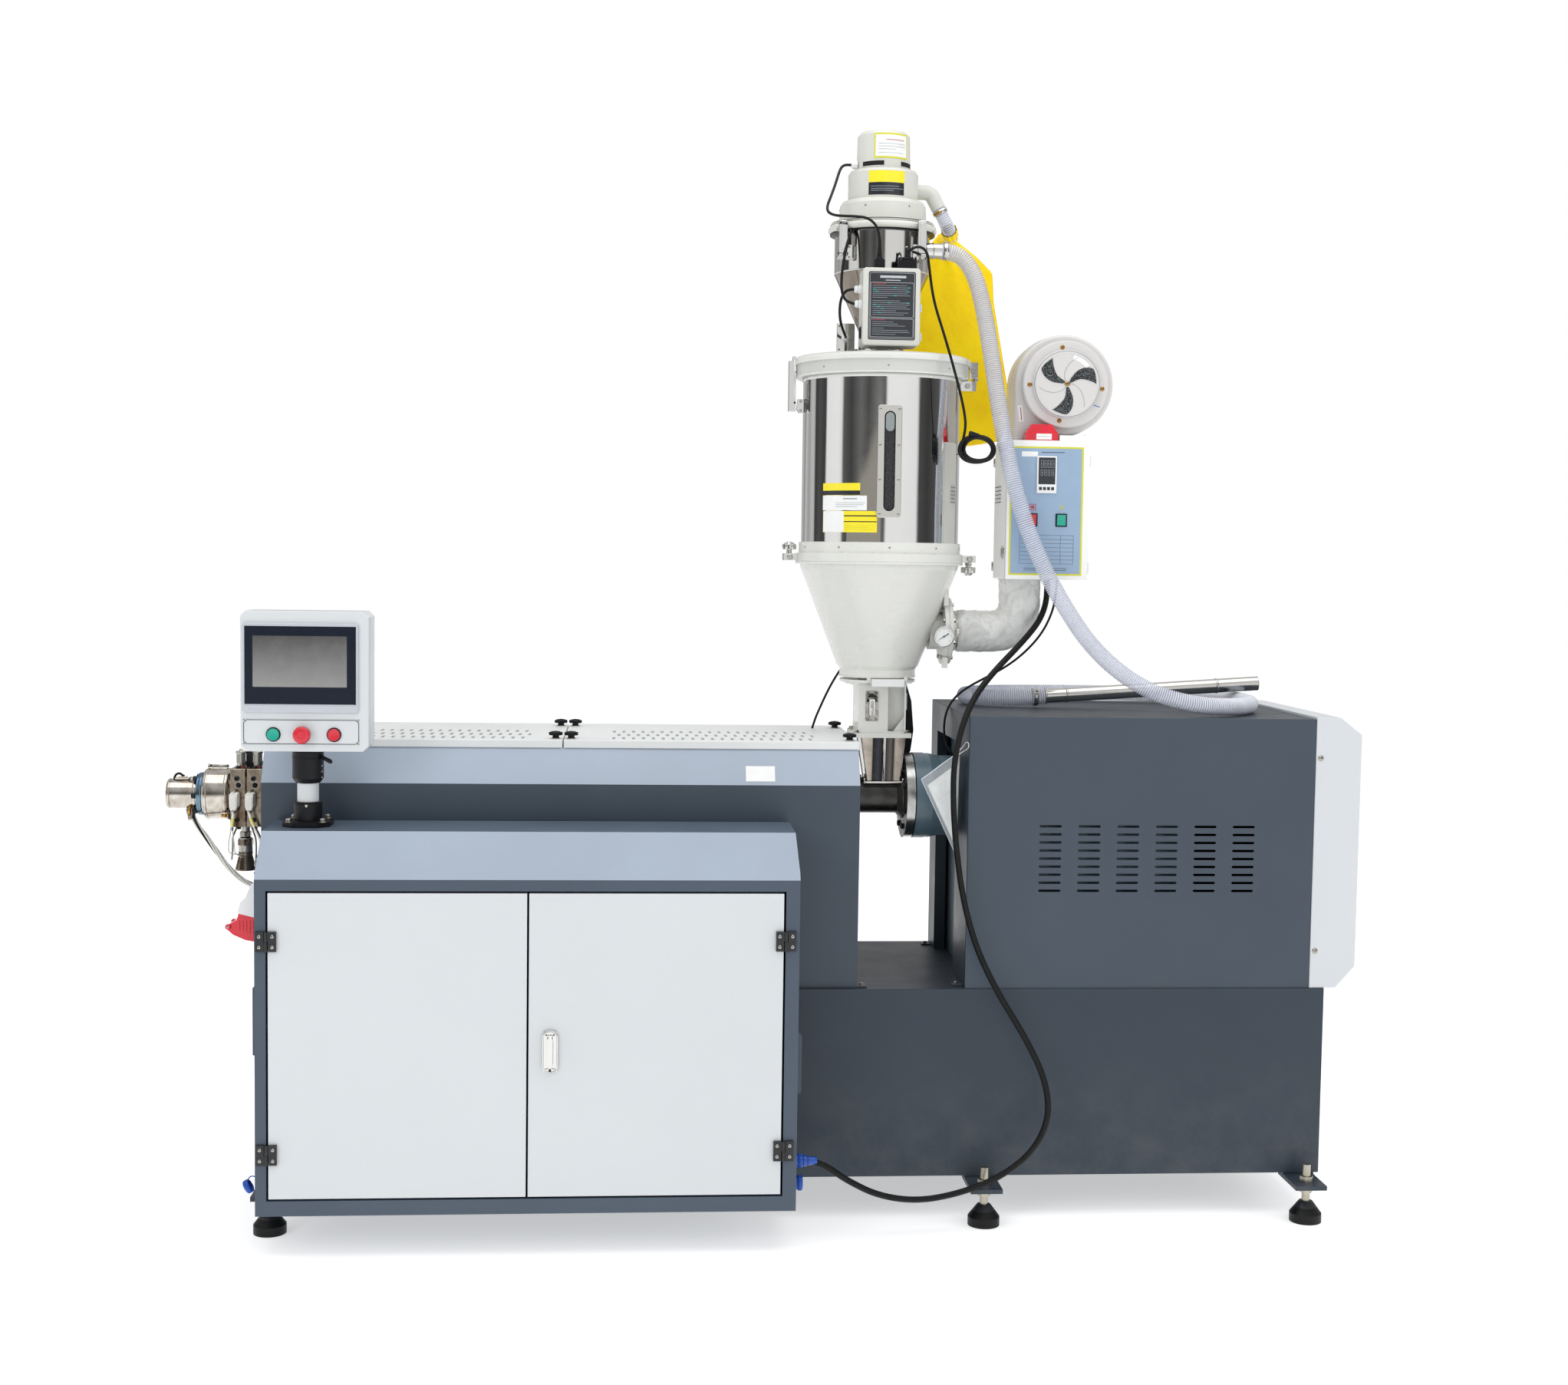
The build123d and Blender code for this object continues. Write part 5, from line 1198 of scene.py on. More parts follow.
# nozzle band: rolled ends, clamp ear, lifting loop, latch plates
k.lathe((-322, AY, DZ), (1, 0, 0), [(2, 38.4), (3, 39.2), (8, 39.2), (9, 38.4)], M["heater"], 48)
k.lathe((-322, AY, DZ), (1, 0, 0), [(66, 38.4), (67, 39.2), (74, 39.2), (75, 38.4)], M["heater"], 48)
k.box(-304, -266, 560, 580, 1072.5, 1076.5, M["heater"], b=1)
k.box(-296, -274, 563, 577, 1076.5, 1080, M["heater"], b=0.8)
k.hexa((-285, 570, 1080), (0, 0, 1), 8, 4.5, M["black_bolt"])
loop = [Vector((-306 + 13 * (1 - math.cos(math.radians(t))) * 0.9, 566, 1073 + 15 * math.sin(math.radians(t)))) for t in range(0, 181, 15)]
k.tube(loop, 3.0, M["black"], seg=10)
k.tube([Vector((-268, 560, 1073)), Vector((-262, 552, 1079)), Vector((-254, 548, 1079)), Vector((-250, 548, 1074))], 2.2, M["bolt"], seg=8)
# heat-blued flange with its screws
for a in (30, 90, 150, 210, 270, 330):
    hexbolt_x(-242, a, 47.5, M["black_bolt"], rr=7.4, h=12)
k.lathe((-242, AY, DZ), (1, 0, 0), [(4, 55.2), (5, 56), (12, 56), (13, 55.2)], M["blued"], 48)
# large band: seam, clamp bolt, terminal cover
k.lathe((-222, AY, DZ), (1, 0, 0), [(1, 66.2), (2, 67), (7, 67), (8, 66.2)], M["heater"], 56)
k.lathe((-222, AY, DZ), (1, 0, 0), [(50, 66.2), (51, 67), (56, 67), (57, 66.2)], M["heater"], 56)
k.box(-214, -170, 560, 584, 1099, 1104, M["heater"], b=1)
k.cyl((-216, 572, 1108), (-168, 572, 1108), 3.2, M["bolt"], 12)
k.hexa((-216, 572, 1108), (-1, 0, 0), 9, 5, M["bolt"])
for y in (540, 560):
    k.cyl((-176, y - 26, 985), (-162, y - 26, 985), 4.2, M["brass"], 14)
    k.hexa((-162, y - 26, 985), (1, 0, 0), 9, 4, M["brass"])
# small brass nipple under the nozzle, cable boot
k.cyl((-263, 548, 1008), (-263, 540, 985), 4.0, M["brass"], 12)
k.lathe((-262, 560, 998), (0.05, -0.35, -0.93), [(0, 12), (4, 13.5), (10, 12.5), (20, 9.5), (30, 7.8)], M["block_steel"], 20)
k.make("nozzle_heater_details", "machine")

k = Kit()
# block faces: cap screws, drilled bores, joint bolts on top
for bx in (-131.5, -89.5):
    for z in (1083, 976):
        k.socket((bx - 2, 495, z), (0, -1, 0), 6.2, 5.5, M["black_bolt"])
    k.lathe((bx + 2, 495.2, 1066), (0, -1, 0), [(0, 8.6), (0.5, 8.6), (0.7, 7.4), (-3, 7.0)], M["bolt"], 24)
    # dark disc at the foot of the bore: painted shade
    k.lathe((bx + 2, 494.7, 1066), (0, -1, 0), [(0, 6.8), (0.1, 0)], M["slot_shade_and_joint_dark"], 24)
    for y in (505, 632):
        k.socket((bx, y, 1108), (0, 0, 1), 6.2, 6.5, M["black_bolt"])
        k.socket((bx, y, 958), (0, 0, -1), 6.2, 6.5, M["black_bolt"])
for z in (982, 1088):
    for y in (512, 628):
        k.socket((-150, y, z), (-1, 0, 0), 7.0, 8.0, M["black_bolt"])
k.box(-150.4, -71, 494.2, 494.9, 1033, 1034.2, M["slot_shade_and_joint_dark"])
k.make("die_block_screws", "machine")

k = Kit()
# probe heads: knurled collars, hexagons, cable caps; and the box between them
for sx in (-131, -89):
    k.hexa((sx, 540, 1110), (0, 0, 1), 19, 7, M["bolt"])
    for i in range(18):
        a = 2 * math.pi * i / 18
        c = Vector((sx + 11.1 * math.cos(a), 540 + 11.1 * math.sin(a), 1120))
        k.cyl(c, c + Vector((0, 0, 22)), 0.8, M["bolt"], 6)
    k.lathe((sx, 540, 1108), (0, 0, 1), [(0, 12.2), (2.0, 12.2), (2.0, 9)], M["label_red"], 24)
    k.lathe((sx, 540, 1144), (0, 0, 1), [(0, 12.8), (1, 13.6), (4.6, 13.6), (5.4, 12.6), (5.4, 5), (9, 4.4), (12, 3.4), (12, 0)],
            M["bolt"], 24)
k.box(-120, -100, 548, 572, 1108.5, 1150, M["black"], b=1.5)
k.box(-118, -102, 546.6, 548, 1118, 1140, M["black"], b=0.5)
k.make("probe_heads", "machine")

k = Kit()
# white heater plugs and their braided leads
for sx, bend in ((-137, -6), (-97, 34)):
    k.prism(rounded(sx - 11, sx + 11, 1012, 1049, 5, 4, 495), (0, -1, 0), 20, M["ceramic"], b=1.5)
    k.prism(rounded(sx - 9, sx + 9, 1004, 1041, 6, 4, 475), (0, -1, 0), 15, M["ceramic"], b=2.5)
    k.lathe((sx, 468, 1006), (0, -0.15, -1), [(0, 7), (6, 6.4), (9, 5.2)], M["bolt"], 18)
    route = [(sx, 467, 999), (sx + bend * 0.1, 465, 984), (sx + bend * 0.35, 466, 964), (sx + bend * 0.62, 472, 944),
             (sx + bend * 0.8, 484, 922), (sx + bend * 0.7, 496, 898), (sx + bend * 0.4, 500, 872)]
    if bend < 0:
        route = [(sx, 467, 999), (sx - 0.6, 465, 984), (sx - 3, 464, 966), (sx - 4, 464, 953)]
        for line in ([(sx - 5, 464, 957), (sx - 10, 463, 935), (sx - 13, 464, 908), (sx - 11, 466, 896), (sx - 2, 470, 892),
                      (sx + 8, 484, 889), (sx + 12, 512, 886), (-128, 540, 884)],
                     [(sx - 2, 464, 957), (sx + 1, 463, 930), (sx + 3, 464, 910), (sx + 2, 466, 898), (sx + 8, 474, 890),
                      (sx + 16, 492, 880), (sx + 18, 514, 878), (-121, 540, 876)]):
            k.tube(spline_points(line, step=4), 1.4, M["lead_white"], seg=8)
    pts = spline_points(route, step=2.2)
    k.tube(pts, 4.2, M["bolt"], seg=10, rfun=lambda i, s: 3.9 if i % 2 else 4.3,
           matfun=lambda i: M["label_yellow"] if 6 <= i <= 14 and i % 3 else (M["bolt"] if i > 16 else M["ceramic"]))
    k.hexa((sx, 482, 1049.5), (0, 0, 1), 7, 3.5, M["bolt"])
k.make("heater_plugs", "machine")

k = Kit()
# drain pipe: union nut, knuckle, stub
k.hexa((-124, 560, 926), (0, 0, 1), 27, 13, M["bolt"])
k.hexa((-124, 560, 903), (0, 0, 1), 36, 17, M["block_steel"])
k.lathe((-124, 560, 862), (0, 0, 1), [(0, 12), (0, 15.4), (3, 16.4), (14, 16.4), (18, 18.2), (24, 18.2)], M["block_steel"], 32)
# bell mouth at its foot
k.lathe((-124, 560, 888), (0, 0, -1), [(0, 15.8), (8, 16.6), (46, 26.5), (50, 27.0), (50, 25.2), (46, 24.4), (8, 13.0)], M["block_steel"], 36,
        caps=False)
for i, (a, b, c) in enumerate((((-140, 540, 960), (-150, 520, 930), (-146, 506, 898)), ((-108, 548, 958), (-92, 530, 925), (-88, 512, 880)))):
    pts = spline_points([a, ((a[0] + b[0]) / 2, (a[1] + b[1]) / 2, (a[2] + b[2]) / 2 - 4), b, c, (c[0] - 4, c[1] + 2, c[2] - 26)], step=4)
    k.tube(pts, 2.4, M["bolt"], seg=8)
k.make("drain_pipe_details", "machine")

# ------------------------------------------------------------------ throat
k = Kit()
for i in range(8):
    a = math.radians(22.5 + 45 * i)
    k.socket((1594, 570 + 86 * math.cos(a), 1041 + 86 * math.sin(a)), (-1, 0, 0), 8.0, 7.0, M["black_bolt"])
    k.hexa((1648, 570 + 92 * math.cos(a), 1041 + 92 * math.sin(a)), (1, 0, 0), 14, 8.0, M["black_bolt"])
k.lathe((1586, 570, 1041), (1, 0, 0), [(-10, 47.6), (-6, 52), (0, 58.2), (2, 60), (8, 62.5)], M["flange_dark"], 48)
# dark ring in the groove between flange and casting: painted shade
k.lathe((1616, 570, 1041), (1, 0, 0), [(0, 109.4), (3, 109.4)], M["slot_shade_and_joint_dark"], 64)
for x in (1619, 1648):
    s = 1 if x == 1619 else -1
    k.lathe((x, 570, 1041), (s, 0, 0), [(0, 112.0), (1.4, 113.9), (2.2, 113.6)], M["casting"], 72, caps=False)
k.make("throat_bolts", "machine")
k = Kit()
# bright frame at the funnel's foot, its centre seam and corner folds
for y in (524, 616):
    k.tube([(1487, y, 1090), (1487, y, 1083), (1492, y, 1079), (1586, y, 1079), (1590, y, 1083), (1590, y, 1090)], 3.4, M["tube_steel"],
           seg=10)
for x in (1489, 1588):
    k.tube([(x, 524, 1079.5), (x, 616, 1079.5)], 3.2, M["tube_steel"], seg=10)
k.tube([(1538.5, 525.2, 1085), (1534.5, 511.0, 1199)], 1.8, M["tube_steel"], seg=8)
k.tube([(1538.5, 614.8, 1085), (1534.5, 629.0, 1199)], 1.8, M["tube_steel"], seg=8)
for x0, x1 in ((1494, 1476), (1583, 1592)):
    for y0, y1 in ((527, 512), (613, 628)):
        k.tube([(x0, y0, 1084), (x1, y1, 1199)], 1.6, M["tube_steel"], seg=8)
k.make("funnel_frame", "machine")
k = Kit()
for x in (1462, 1596):
    for y in (505, 635):
        k.lathe((x, y, 1211.5), (0, 0, 1), [(0, 8.6), (1.4, 8.6), (1.4, 5)], M["zinc"], 20)
        k.hexa((x, y, 1212.9), (0, 0, 1), 11, 6.5, M["bolt"])
for x in (1480, 1580):
    for y in (520, 622):
        if x == 1480 or y > 600:
            k.hexa((x, y, 1336), (0, 0, -1), 9, 5.5, M["bolt"])
# over-centre toggle latch on the neck
k.prism(rounded(1485, 1519, 1243, 1322, 3, 3, 508), (0, -1, 0), 1.6, M["latch_steel"], b=0.5)
for z in (1248.5, 1316.5):
    for x in (1491, 1513):
        k.lathe((x, 506.4, z), (0, -1, 0), [(0, 3.6), (1.5, 2.6), (1.9, 0)], M["latch_steel"], 14)
k.prism(rounded(1494, 1510, 1256, 1304, 5, 4, 504.5), (0, -1, 0), 5.5, M["chrome"], b=1.6)
k.cyl((1502, 500, 1258), (1502, 500, 1296), 3.4, M["chrome"], 16, b=0.8)
k.box(1488, 1516, 505.9, 506.6, 1293, 1312, M["black_bolt"], b=0.2)
k.cyl((1490, 501, 1303), (1514, 501, 1303), 3.4, M["latch_steel"], 14)
for x in (1489, 1515):
    k.tube([(x, 502, 1303), (x, 500, 1310), (1502 + (x - 1502) * 0.5, 500, 1316)], 1.7, M["latch_steel"], seg=8)
k.hexa((1502, 506.4, 1311), (0, -1, 0), 10, 5, M["black_bolt"])
k.make("neck_latch", "machine")
k = Kit()
# clear bracket at the neck's right
k.prism([(1592.3, 600, 1266), (1607, 600, 1266), (1607, 600, 1311), (1592.3, 600, 1311)], (0, -1, 0), 3, M["clear_rib"], b=0.4)
k.make("neck_bracket", "machine")
k = Kit()
# back wall of the neck's side recess
k.box(1543.5, 1588.5, 541.0, 546.0, 1215.5, 1339.5, M["cream"], b=0.4)
k.make("neck_recess_back", "machine")
k = Kit()
# rubber sheet that hangs behind the neck, its free edge to the right
k.prism([(1512, 682, 1092), (1600, 682, 1092), (1630, 682, 1150), (1637, 682, 1205), (1630, 682, 1285), (1612, 682, 1343), (1512, 682, 1343)],
        (0, -1, 0), 7.6, M["rubber"], b=0.8)
k.make("rear_apron_sheet", "machine", replaces=["rear_apron"])
k = Kit()
k.box(1494.5, 1579.5, 454.6, 456.0, 1336.5, 1355.5, M["cover"], b=0.6)
k.make("gate_lip", "gate")
k = Kit()
# lower flange lip of the cone, with its screws
k.lathe((1522, 570, 1352), (0, 0, 1), [(5, 100.2), (6, 101.4), (9, 101.4), (10, 100.2)], M["cream"], 64)
for i in range(8):
    a = math.radians(22.5 + 45 * i)
    k.hexa((1522 + 90 * math.cos(a), 570 + 90 * math.sin(a), 1345), (0, 0, -1), 8, 4, M["bolt"])
k.lathe((1522, 570, 1653), (0, 0, 1), [(-0.4, 219.6), (1, 220.6), (5, 220.6), (6.4, 219.6)], M["cream"], 96)
for i in range(16):
    a = math.radians(11.25 + 22.5 * i)
    k.screw((1522 + 213 * math.cos(a), 570 + 213 * math.sin(a), 1680), (0, 0, 1), 3.2, 2.0, M["bolt"])
for i in range(10):
    a = math.radians(18 + 36 * i)
    d = (math.cos(a), math.sin(a), 0)
    k.screw((1522 + 212.6 * d[0], 570 + 212.6 * d[1], 1696), d, 3.0, 1.8, M["bolt"])
k.make("cone_flange_details", "machine")

# ------------------------------------------------------------------ hopper drum: blank labels, sight glass, lid trim
k = Kit()
DL = [(1359, 1447, 1828, 1859, "label_yellow", 0), (1359, 1447, 1828.6, 1840, "label_black", 1),
      (1359, 1464, 1790, 1827, "label_white", 0), (1406, 1440, 1818, 1820.5, "label_grey", 1),
      (1388, 1460, 1808, 1809.6, "label_line", 1), (1388, 1456, 1803, 1804.6, "label_line", 1),
      (1388, 1440, 1798, 1799.6, "label_line", 1), (1360, 1490, 1734, 1788, "label_yellow", 0),
      (1360.5, 1408, 1734.4, 1787.6, "label_white", 1), (1409, 1489, 1774.4, 1777.4, "label_black", 1),
      (1409, 1489, 1760, 1762.4, "label_black", 1), (1412, 1484, 1751, 1752.2, "label_border", 1),
      (1412, 1470, 1746, 1747.2, "label_border", 1), (1412, 1480, 1741, 1742.2, "label_border", 1)]
for x0, x1, z0, z1, mt, up_ in DL:
    a0, a1 = (math.degrees(math.asin(max(-1, min(1, (x - 1522) / 206.5)))) for x in (x0, x1))
    k.arcplate(1522, 570, 206.55 + 0.3 * up_, a0, a1, z0, z1, 0.25 if not up_ else 0.1, M[mt], seg=14)
k.make("drum_labels", "machine")
k = Kit()
k.prism(rounded(1506.5, 1530.5, 1790.5, 2038.5, 11.9, 8, 357.95), (0, -1, 0), 0.25, M["granules"])
k.prism(rounded(1507.5, 1529.5, 1990, 2037.5, 10.9, 8, 357.6), (0, -1, 0), 0.15, M["glass"])
ringo = rounded(1505.5, 1531.5, 1789.5, 2039.5, 12.9, 8, 357.6)
k.tube([Vector(p) for p in ringo] + [Vector(ringo[0])], 1.3, M["rubber"], seg=8, caps=False)
for x in (1494, 1542):
    for z in (1781, 1868, 1955, 2046):
        k.screw((x, 358, z), (0, -1, 0), 3.6, 2.4, M["bolt"])
ringo = rounded(1487.6, 1548.4, 1772.6, 2055.4, 8, 5, 358.1)
k.tube([Vector(p) for p in ringo] + [Vector(ringo[0])], 0.6, M["chrome"], seg=6, caps=False)
k.make("sight_glass_window", "machine")

k = Kit()
for i in range(8):
    a = math.radians(-48 + 45 * i)
    d = (math.sin(a), -math.cos(a), 0)
    k.screw((1522 + 226 * d[0], 570 + 226 * d[1], 2154), d, 2.6, 1.6, M["bolt"])
k.lathe((1522, 570, 2137), (0, 0, 1), [(0.2, 226.1), (1, 226.9), (3.4, 226.9), (4.2, 226.1)], M["cream"], 96)
k.lathe((1522, 570, 2137), (0, 0, 1), [(-0.2, 206.6), (-0.2, 209.4), (-8, 209.4), (-9, 206.6)], M["cream"], 96)
k.lathe((1522, 570, 2171), (0, 0, 1), [(0.2, 230.1), (1.2, 230.9), (14.2, 230.9), (15.4, 229.8)], M["cream"], 96)
k.make("lid_trim", "machine")

# lid latch, lid hinge, flange hinge bolts and star knobs
k = Kit()
for y in (556, 584):
    k.cyl((1290, y, 2183), (1291.5, y, 2072), 2.2, M["chrome"], 10)
k.cyl((1290, 554, 2183), (1290, 586, 2183), 3.2, M["chrome"], 12)
k.cyl((1291.5, 554, 2072), (1291.5, 586, 2072), 3.2, M["chrome"], 12)
k.prism([(1286, 558, 2192), (1294, 558, 2192), (1289.5, 558, 2120), (1283.5, 558, 2122)], (0, 1, 0), 24, M["chrome"], b=0.6)
k.prism([(1300, 559, 2082), (1314.5, 559, 2082), (1314.5, 559, 2046), (1304, 559, 2046), (1297, 559, 2056)], (0, 1, 0), 22, M["chrome"],
        b=0.6)
for z in (2052, 2076):
    k.hexa((1308, 557.6, z), (0, -1, 0), 7, 3.4, M["bolt"])
for x, z in ((1759, 2162), (1745, 2123)):
    k.hexa((x, 545, z), (0, -1, 0), 13, 6.5, M["bolt"])
    k.hexa((x, 595, z), (0, 1, 0), 13, 6.5, M["bolt"])
k.cyl((1768, 543, 2139), (1768, 597, 2139), 5.0, M["chrome"], 16, b=0.8)
for s, x in ((-1, 1283), (1, 1761)):
    for z in (1670,):
        k.hexa((x - s * 1, 548, z), (0, -1, 0), 11, 5, M["bolt"])
        k.lathe((x - s * 1, 548, z), (0, -1, 0), [(0, 8.0), (1.0, 8.0), (1.0, 4)], M["bolt"], 18)
cx, cy = 1522 + 206.5 + 32, 570
k.hexa((cx, cy, 1661), (0, 0, -1), 17, 8, M["chrome"])
k.lathe((cx, cy, 1636), (0, 0, 1), [(-9, 10.3), (-8.2, 11), (-6, 11.6), (-4, 11.6), (-3, 10)], M["chrome"], 24)
for i in range(6):
    a = 2 * math.pi * i / 6
    c = Vector((cx + 15.6 * math.cos(a), cy + 15.6 * math.sin(a), 1633))
    k.cyl(c, c + Vector((0, 0, 16)), 4.0, M["chrome"], 12, b=1.2)
cx = 1522 - 206.5 - 32
for i in range(6):
    a = 2 * math.pi * i / 6
    c = Vector((cx + 14.6 * math.cos(a), cy + 14.6 * math.sin(a), 1689.5))
    k.cyl(c, c + Vector((0, 0, 13.5)), 4.0, M["chrome"], 12, b=1.2)
k.lathe((cx, cy, 1708), (0, 0, 1), [(0, 6), (1.6, 5), (2.0, 0)], M["chrome"], 20)
k.make("hopper_clamp_details", "machine")

# dial thermometer on the hot-air inlet, with its bracket
k = Kit()
tx, ty, tz = 1684.0, 478.0, 1468.0
k.lathe((tx, ty, tz), (0, -1, 0), [(-6, 0), (-6, 25), (-4, 27.6), (6, 27.6), (8.6, 26.2), (8.6, 24.2), (6.4, 23.8)], M["chrome"], 48,
        caps=False)
k.lathe((tx, ty, tz), (0, -1, 0), [(6.3, 24), (6.4, 0)], M["label_white"], 48, False, caps=False)
k.lathe((tx, ty, tz), (0, -1, 0), [(7.6, 23.9), (7.9, 12), (8.0, 0)], M["glass_clear"], 48, caps=False)
for i in range(25):
    a = math.radians(-130 + 260 * i / 24)
    L = 3.6 if i % 4 == 0 else 2.0
    p0 = Vector((tx + 20.6 * math.sin(a), ty - 6.6, tz + 20.6 * math.cos(a)))
    p1 = Vector((tx + (20.6 - L) * math.sin(a), ty - 6.6, tz + (20.6 - L) * math.cos(a)))
    k.cyl(p0, p1, 0.42 if i % 4 == 0 else 0.25, M["label_black"], 5)
p0, p1 = Vector((tx + 12.5, ty - 7.2, tz + 7.8)), Vector((tx - 14.5, ty - 7.2, tz - 8.8))
k.tube([p0, (p0 + p1) / 2, p1], 0.8, M["label_black"], seg=6, rfun=lambda i, s: (1.3, 1.0, 0.3)[i])
k.lathe((tx, ty, tz), (0, -1, 0), [(6.6, 2.8), (7.8, 2.4), (8.0, 0)], M["label_black"], 16)
k.cyl((tx, ty + 6, tz), (tx, 521.5, tz + 1), 4.2, M["chrome"], 16)
k.hexa((tx, 500, tz), (0, 1, 0), 15, 12, M["bolt"])
# clamp ears of the inlet flange
for z0, z1, xt in ((1384, 1412, 1694), (1548, 1590, 1694)):
    k.prism([(xt - 7, 500, z0), (xt + 5, 500, z0), (xt + 5, 500, z1), (xt - 7, 500, z1)], (0, 1, 0), 26, M["cream"], b=1.0)
k.make("inlet_thermometer", "machine")

# ------------------------------------------------------------------ wrapped hot-air duct
path = [Vector((1700.5, 568, 1480))]
for i in range(1, 21):
    path.append(Vector((1700.5 + (1827 - 1700.5) * i / 20, 568, 1480)))
for i in range(1, 30):
    a = math.radians(90 * i / 29)
    path.append(Vector((1827 + 72 * math.sin(a), 568, 1552 - 72 * math.cos(a))))
for i in range(1, 13):
    path.append(Vector((1899, 568, 1552 + (1619.6 - 1552) * i / 12)))
dense = []
for a, b in zip(path, path[1:]):
    n = max(1, int((b - a).length / 2.2))
    dense += [a.lerp(b, i / n) for i in range(n)]
dense.append(path[-1])
from mathutils import noise as mnoise
SEG = 96
v, s_ = [], 0.0
side = Vector((0, 1, 0))
for i, q in enumerate(dense):
    if i:
        s_ += (q - dense[i - 1]).length
    tg = (dense[min(i + 1, len(dense) - 1)] - dense[max(i - 1, 0)]).normalized()
    up = tg.cross(side).normalized()
    for j in range(SEG):
        a = 2 * math.pi * j / SEG
        d = side * math.cos(a) + up * math.sin(a)
        f = (s_ / 31.0 + j / SEG) % 1.0
        lap = 1.3 * (f if f < 0.93 else (1 - f) / 0.07 * 0.93)
        crease = mnoise.noise(Vector((s_ / 9.0 + 2.2 * math.cos(a), 2.6 * math.cos(a), 2.6 * math.sin(a)))) * 1.1
        crease += mnoise.noise(Vector((s_ / 30.0, 3.5 * math.cos(a + s_ / 60), 3.5 * math.sin(a + s_ / 60)))) * 1.3
        tie = -3.6 * math.exp(-((s_ - 26) / 5.0) ** 2) + 1.2 * math.exp(-((s_ - 46) / 16.0) ** 2)
        r = 54.0 + lap + crease + tie
        v.append(q + d * min(57.2, r))
f = [(i * SEG + j, i * SEG + (j + 1) % SEG, (i + 1) * SEG + (j + 1) % SEG, (i + 1) * SEG + j)
     for i in range(len(dense) - 1) for j in range(SEG)]
k = Kit()
k.add(v, f, M["wrap"], True)
k.lathe((1700.4, 568, 1480), (1, 0, 0), [(0, 50), (0, 86.5), (1.0, 88), (10.4, 88), (11.6, 86.8), (11.6, 50)], M["cream"], 64)
for i in range(8):
    a = math.radians(22.5 + 45 * i)
    k.hexa((1712, 568 + 75 * math.cos(a), 1480 + 75 * math.sin(a)), (1, 0, 0), 11, 6, M["bolt"])
    k.hexa((1690, 568 + 75 * math.cos(a), 1480 + 75 * math.sin(a)), (-1, 0, 0), 11, 5, M["bolt"])
# wire tie round the wrap, and the collar at the control box
k.lathe((1726.5, 568, 1480), (1, 0, 0), [(-2.6, 51.5), (-2.2, 53.0), (2.2, 53.0), (2.6, 51.5)], M["tube_steel"], 64)
k.box(1722, 1731, 509.5, 515.5, 1472, 1486, M["tube_steel"], b=1)
k.lathe((1899, 568, 1619.6), (0, 0, -1), [(0.1, 57.8), (3.2, 57.8), (4.0, 56.6), (4.0, 50)], M["cover"], 64)
k.make("hot_air_duct_wrapped", "machine", replaces=["dryer_duct"])

# ------------------------------------------------------------------ dryer control box
k = Kit()
F = 442.6
k.prism(rounded(1844, 2036, 1631, 1963, 2, 2, F + 0.3), (0, -1, 0), 0.35, M["label_border"])
k.prism(rounded(1848.5, 2031.5, 1635.5, 1958.5, 1, 2, F), (0, -1, 0), 0.2, M["label_blue"])
# plain table grid
zs = [1661 + (1734.5 - 1661) * i / 7 for i in range(8)]
for z in zs:
    k.box(1872, 2013, F - 0.55, F - 0.2, z - 0.35, z + 0.35, M["label_ink"])
for x in (1872, 1979, 2013):
    k.box(x - 0.35, x + 0.35, F - 0.55, F - 0.2, 1661, 1734.5, M["label_ink"])
k.box(1884, 1996, F - 0.5, F - 0.2, 1643.4, 1644.8, M["label_ink"])
k.box(1884, 1996, F - 0.5, F - 0.2, 1648.4, 1649.8, M["label_ink"])
k.box(1873, 1915, F - 0.5, F - 0.2, 1937, 1950, M["label_white"])
k.box(1925, 1985, F - 0.5, F - 0.2, 1947.5, 1949.5, M["label_ink"])
# small plain markers over the switches
for a, b, c, d in ((1896, 1912.5, 1799, 1800.5), (1896, 1912.5, 1813.5, 1815), (1896, 1897.5, 1799, 1815), (1911, 1912.5, 1799, 1815)):
    k.box(a, b, F - 0.5, F - 0.2, c, d, M["label_red"])
k.box(1900, 1908.5, F - 0.5, F - 0.2, 1803, 1811, M["label_red"])
for i in range(4):
    a = math.radians(45 * i)
    c = Vector((1981, F - 0.4, 1807))
    k.cyl(c - Vector((math.cos(a) * 7, 0, math.sin(a) * 7)), c + Vector((math.cos(a) * 7, 0, math.sin(a) * 7)), 0.5, M["label_border"], 5)
k.make("dryer_panel_label", "machine")
k = Kit()
# digital meter
k.prism(rounded(1913, 1965, 1843, 1939, 2.5, 4, F), (0, -1, 0), 4.6, M["white_plastic"], b=1.0)
k.prism(rounded(1917, 1961, 1866, 1935, 1.2, 3, F - 4.6), (0, -1, 0), 0.25, M["label_black"])
for z0, sc_ in ((1909, 1.0), (1888, 0.82)):
    for i in range(4):
        x0 = 1923 + i * 9.2
        w, h = 6.2 * sc_, 18 * sc_
        for a, b, c, d in ((0, w, 0, 0.9), (0, w, h / 2, h / 2 + 0.9), (0, w, h, h + 0.9), (0, 0.9, 0, h), (w, w + 0.9, 0, h)):
            k.box(x0 + a, x0 + b, F - 5.0, F - 4.84, z0 + c, z0 + d, M["label_grey"])
for i in range(4):
    k.box(1919 + i * 10.6, 1926.5 + i * 10.6, F - 5.6, F - 4.5, 1851, 1859, M["label_black"], b=0.4)
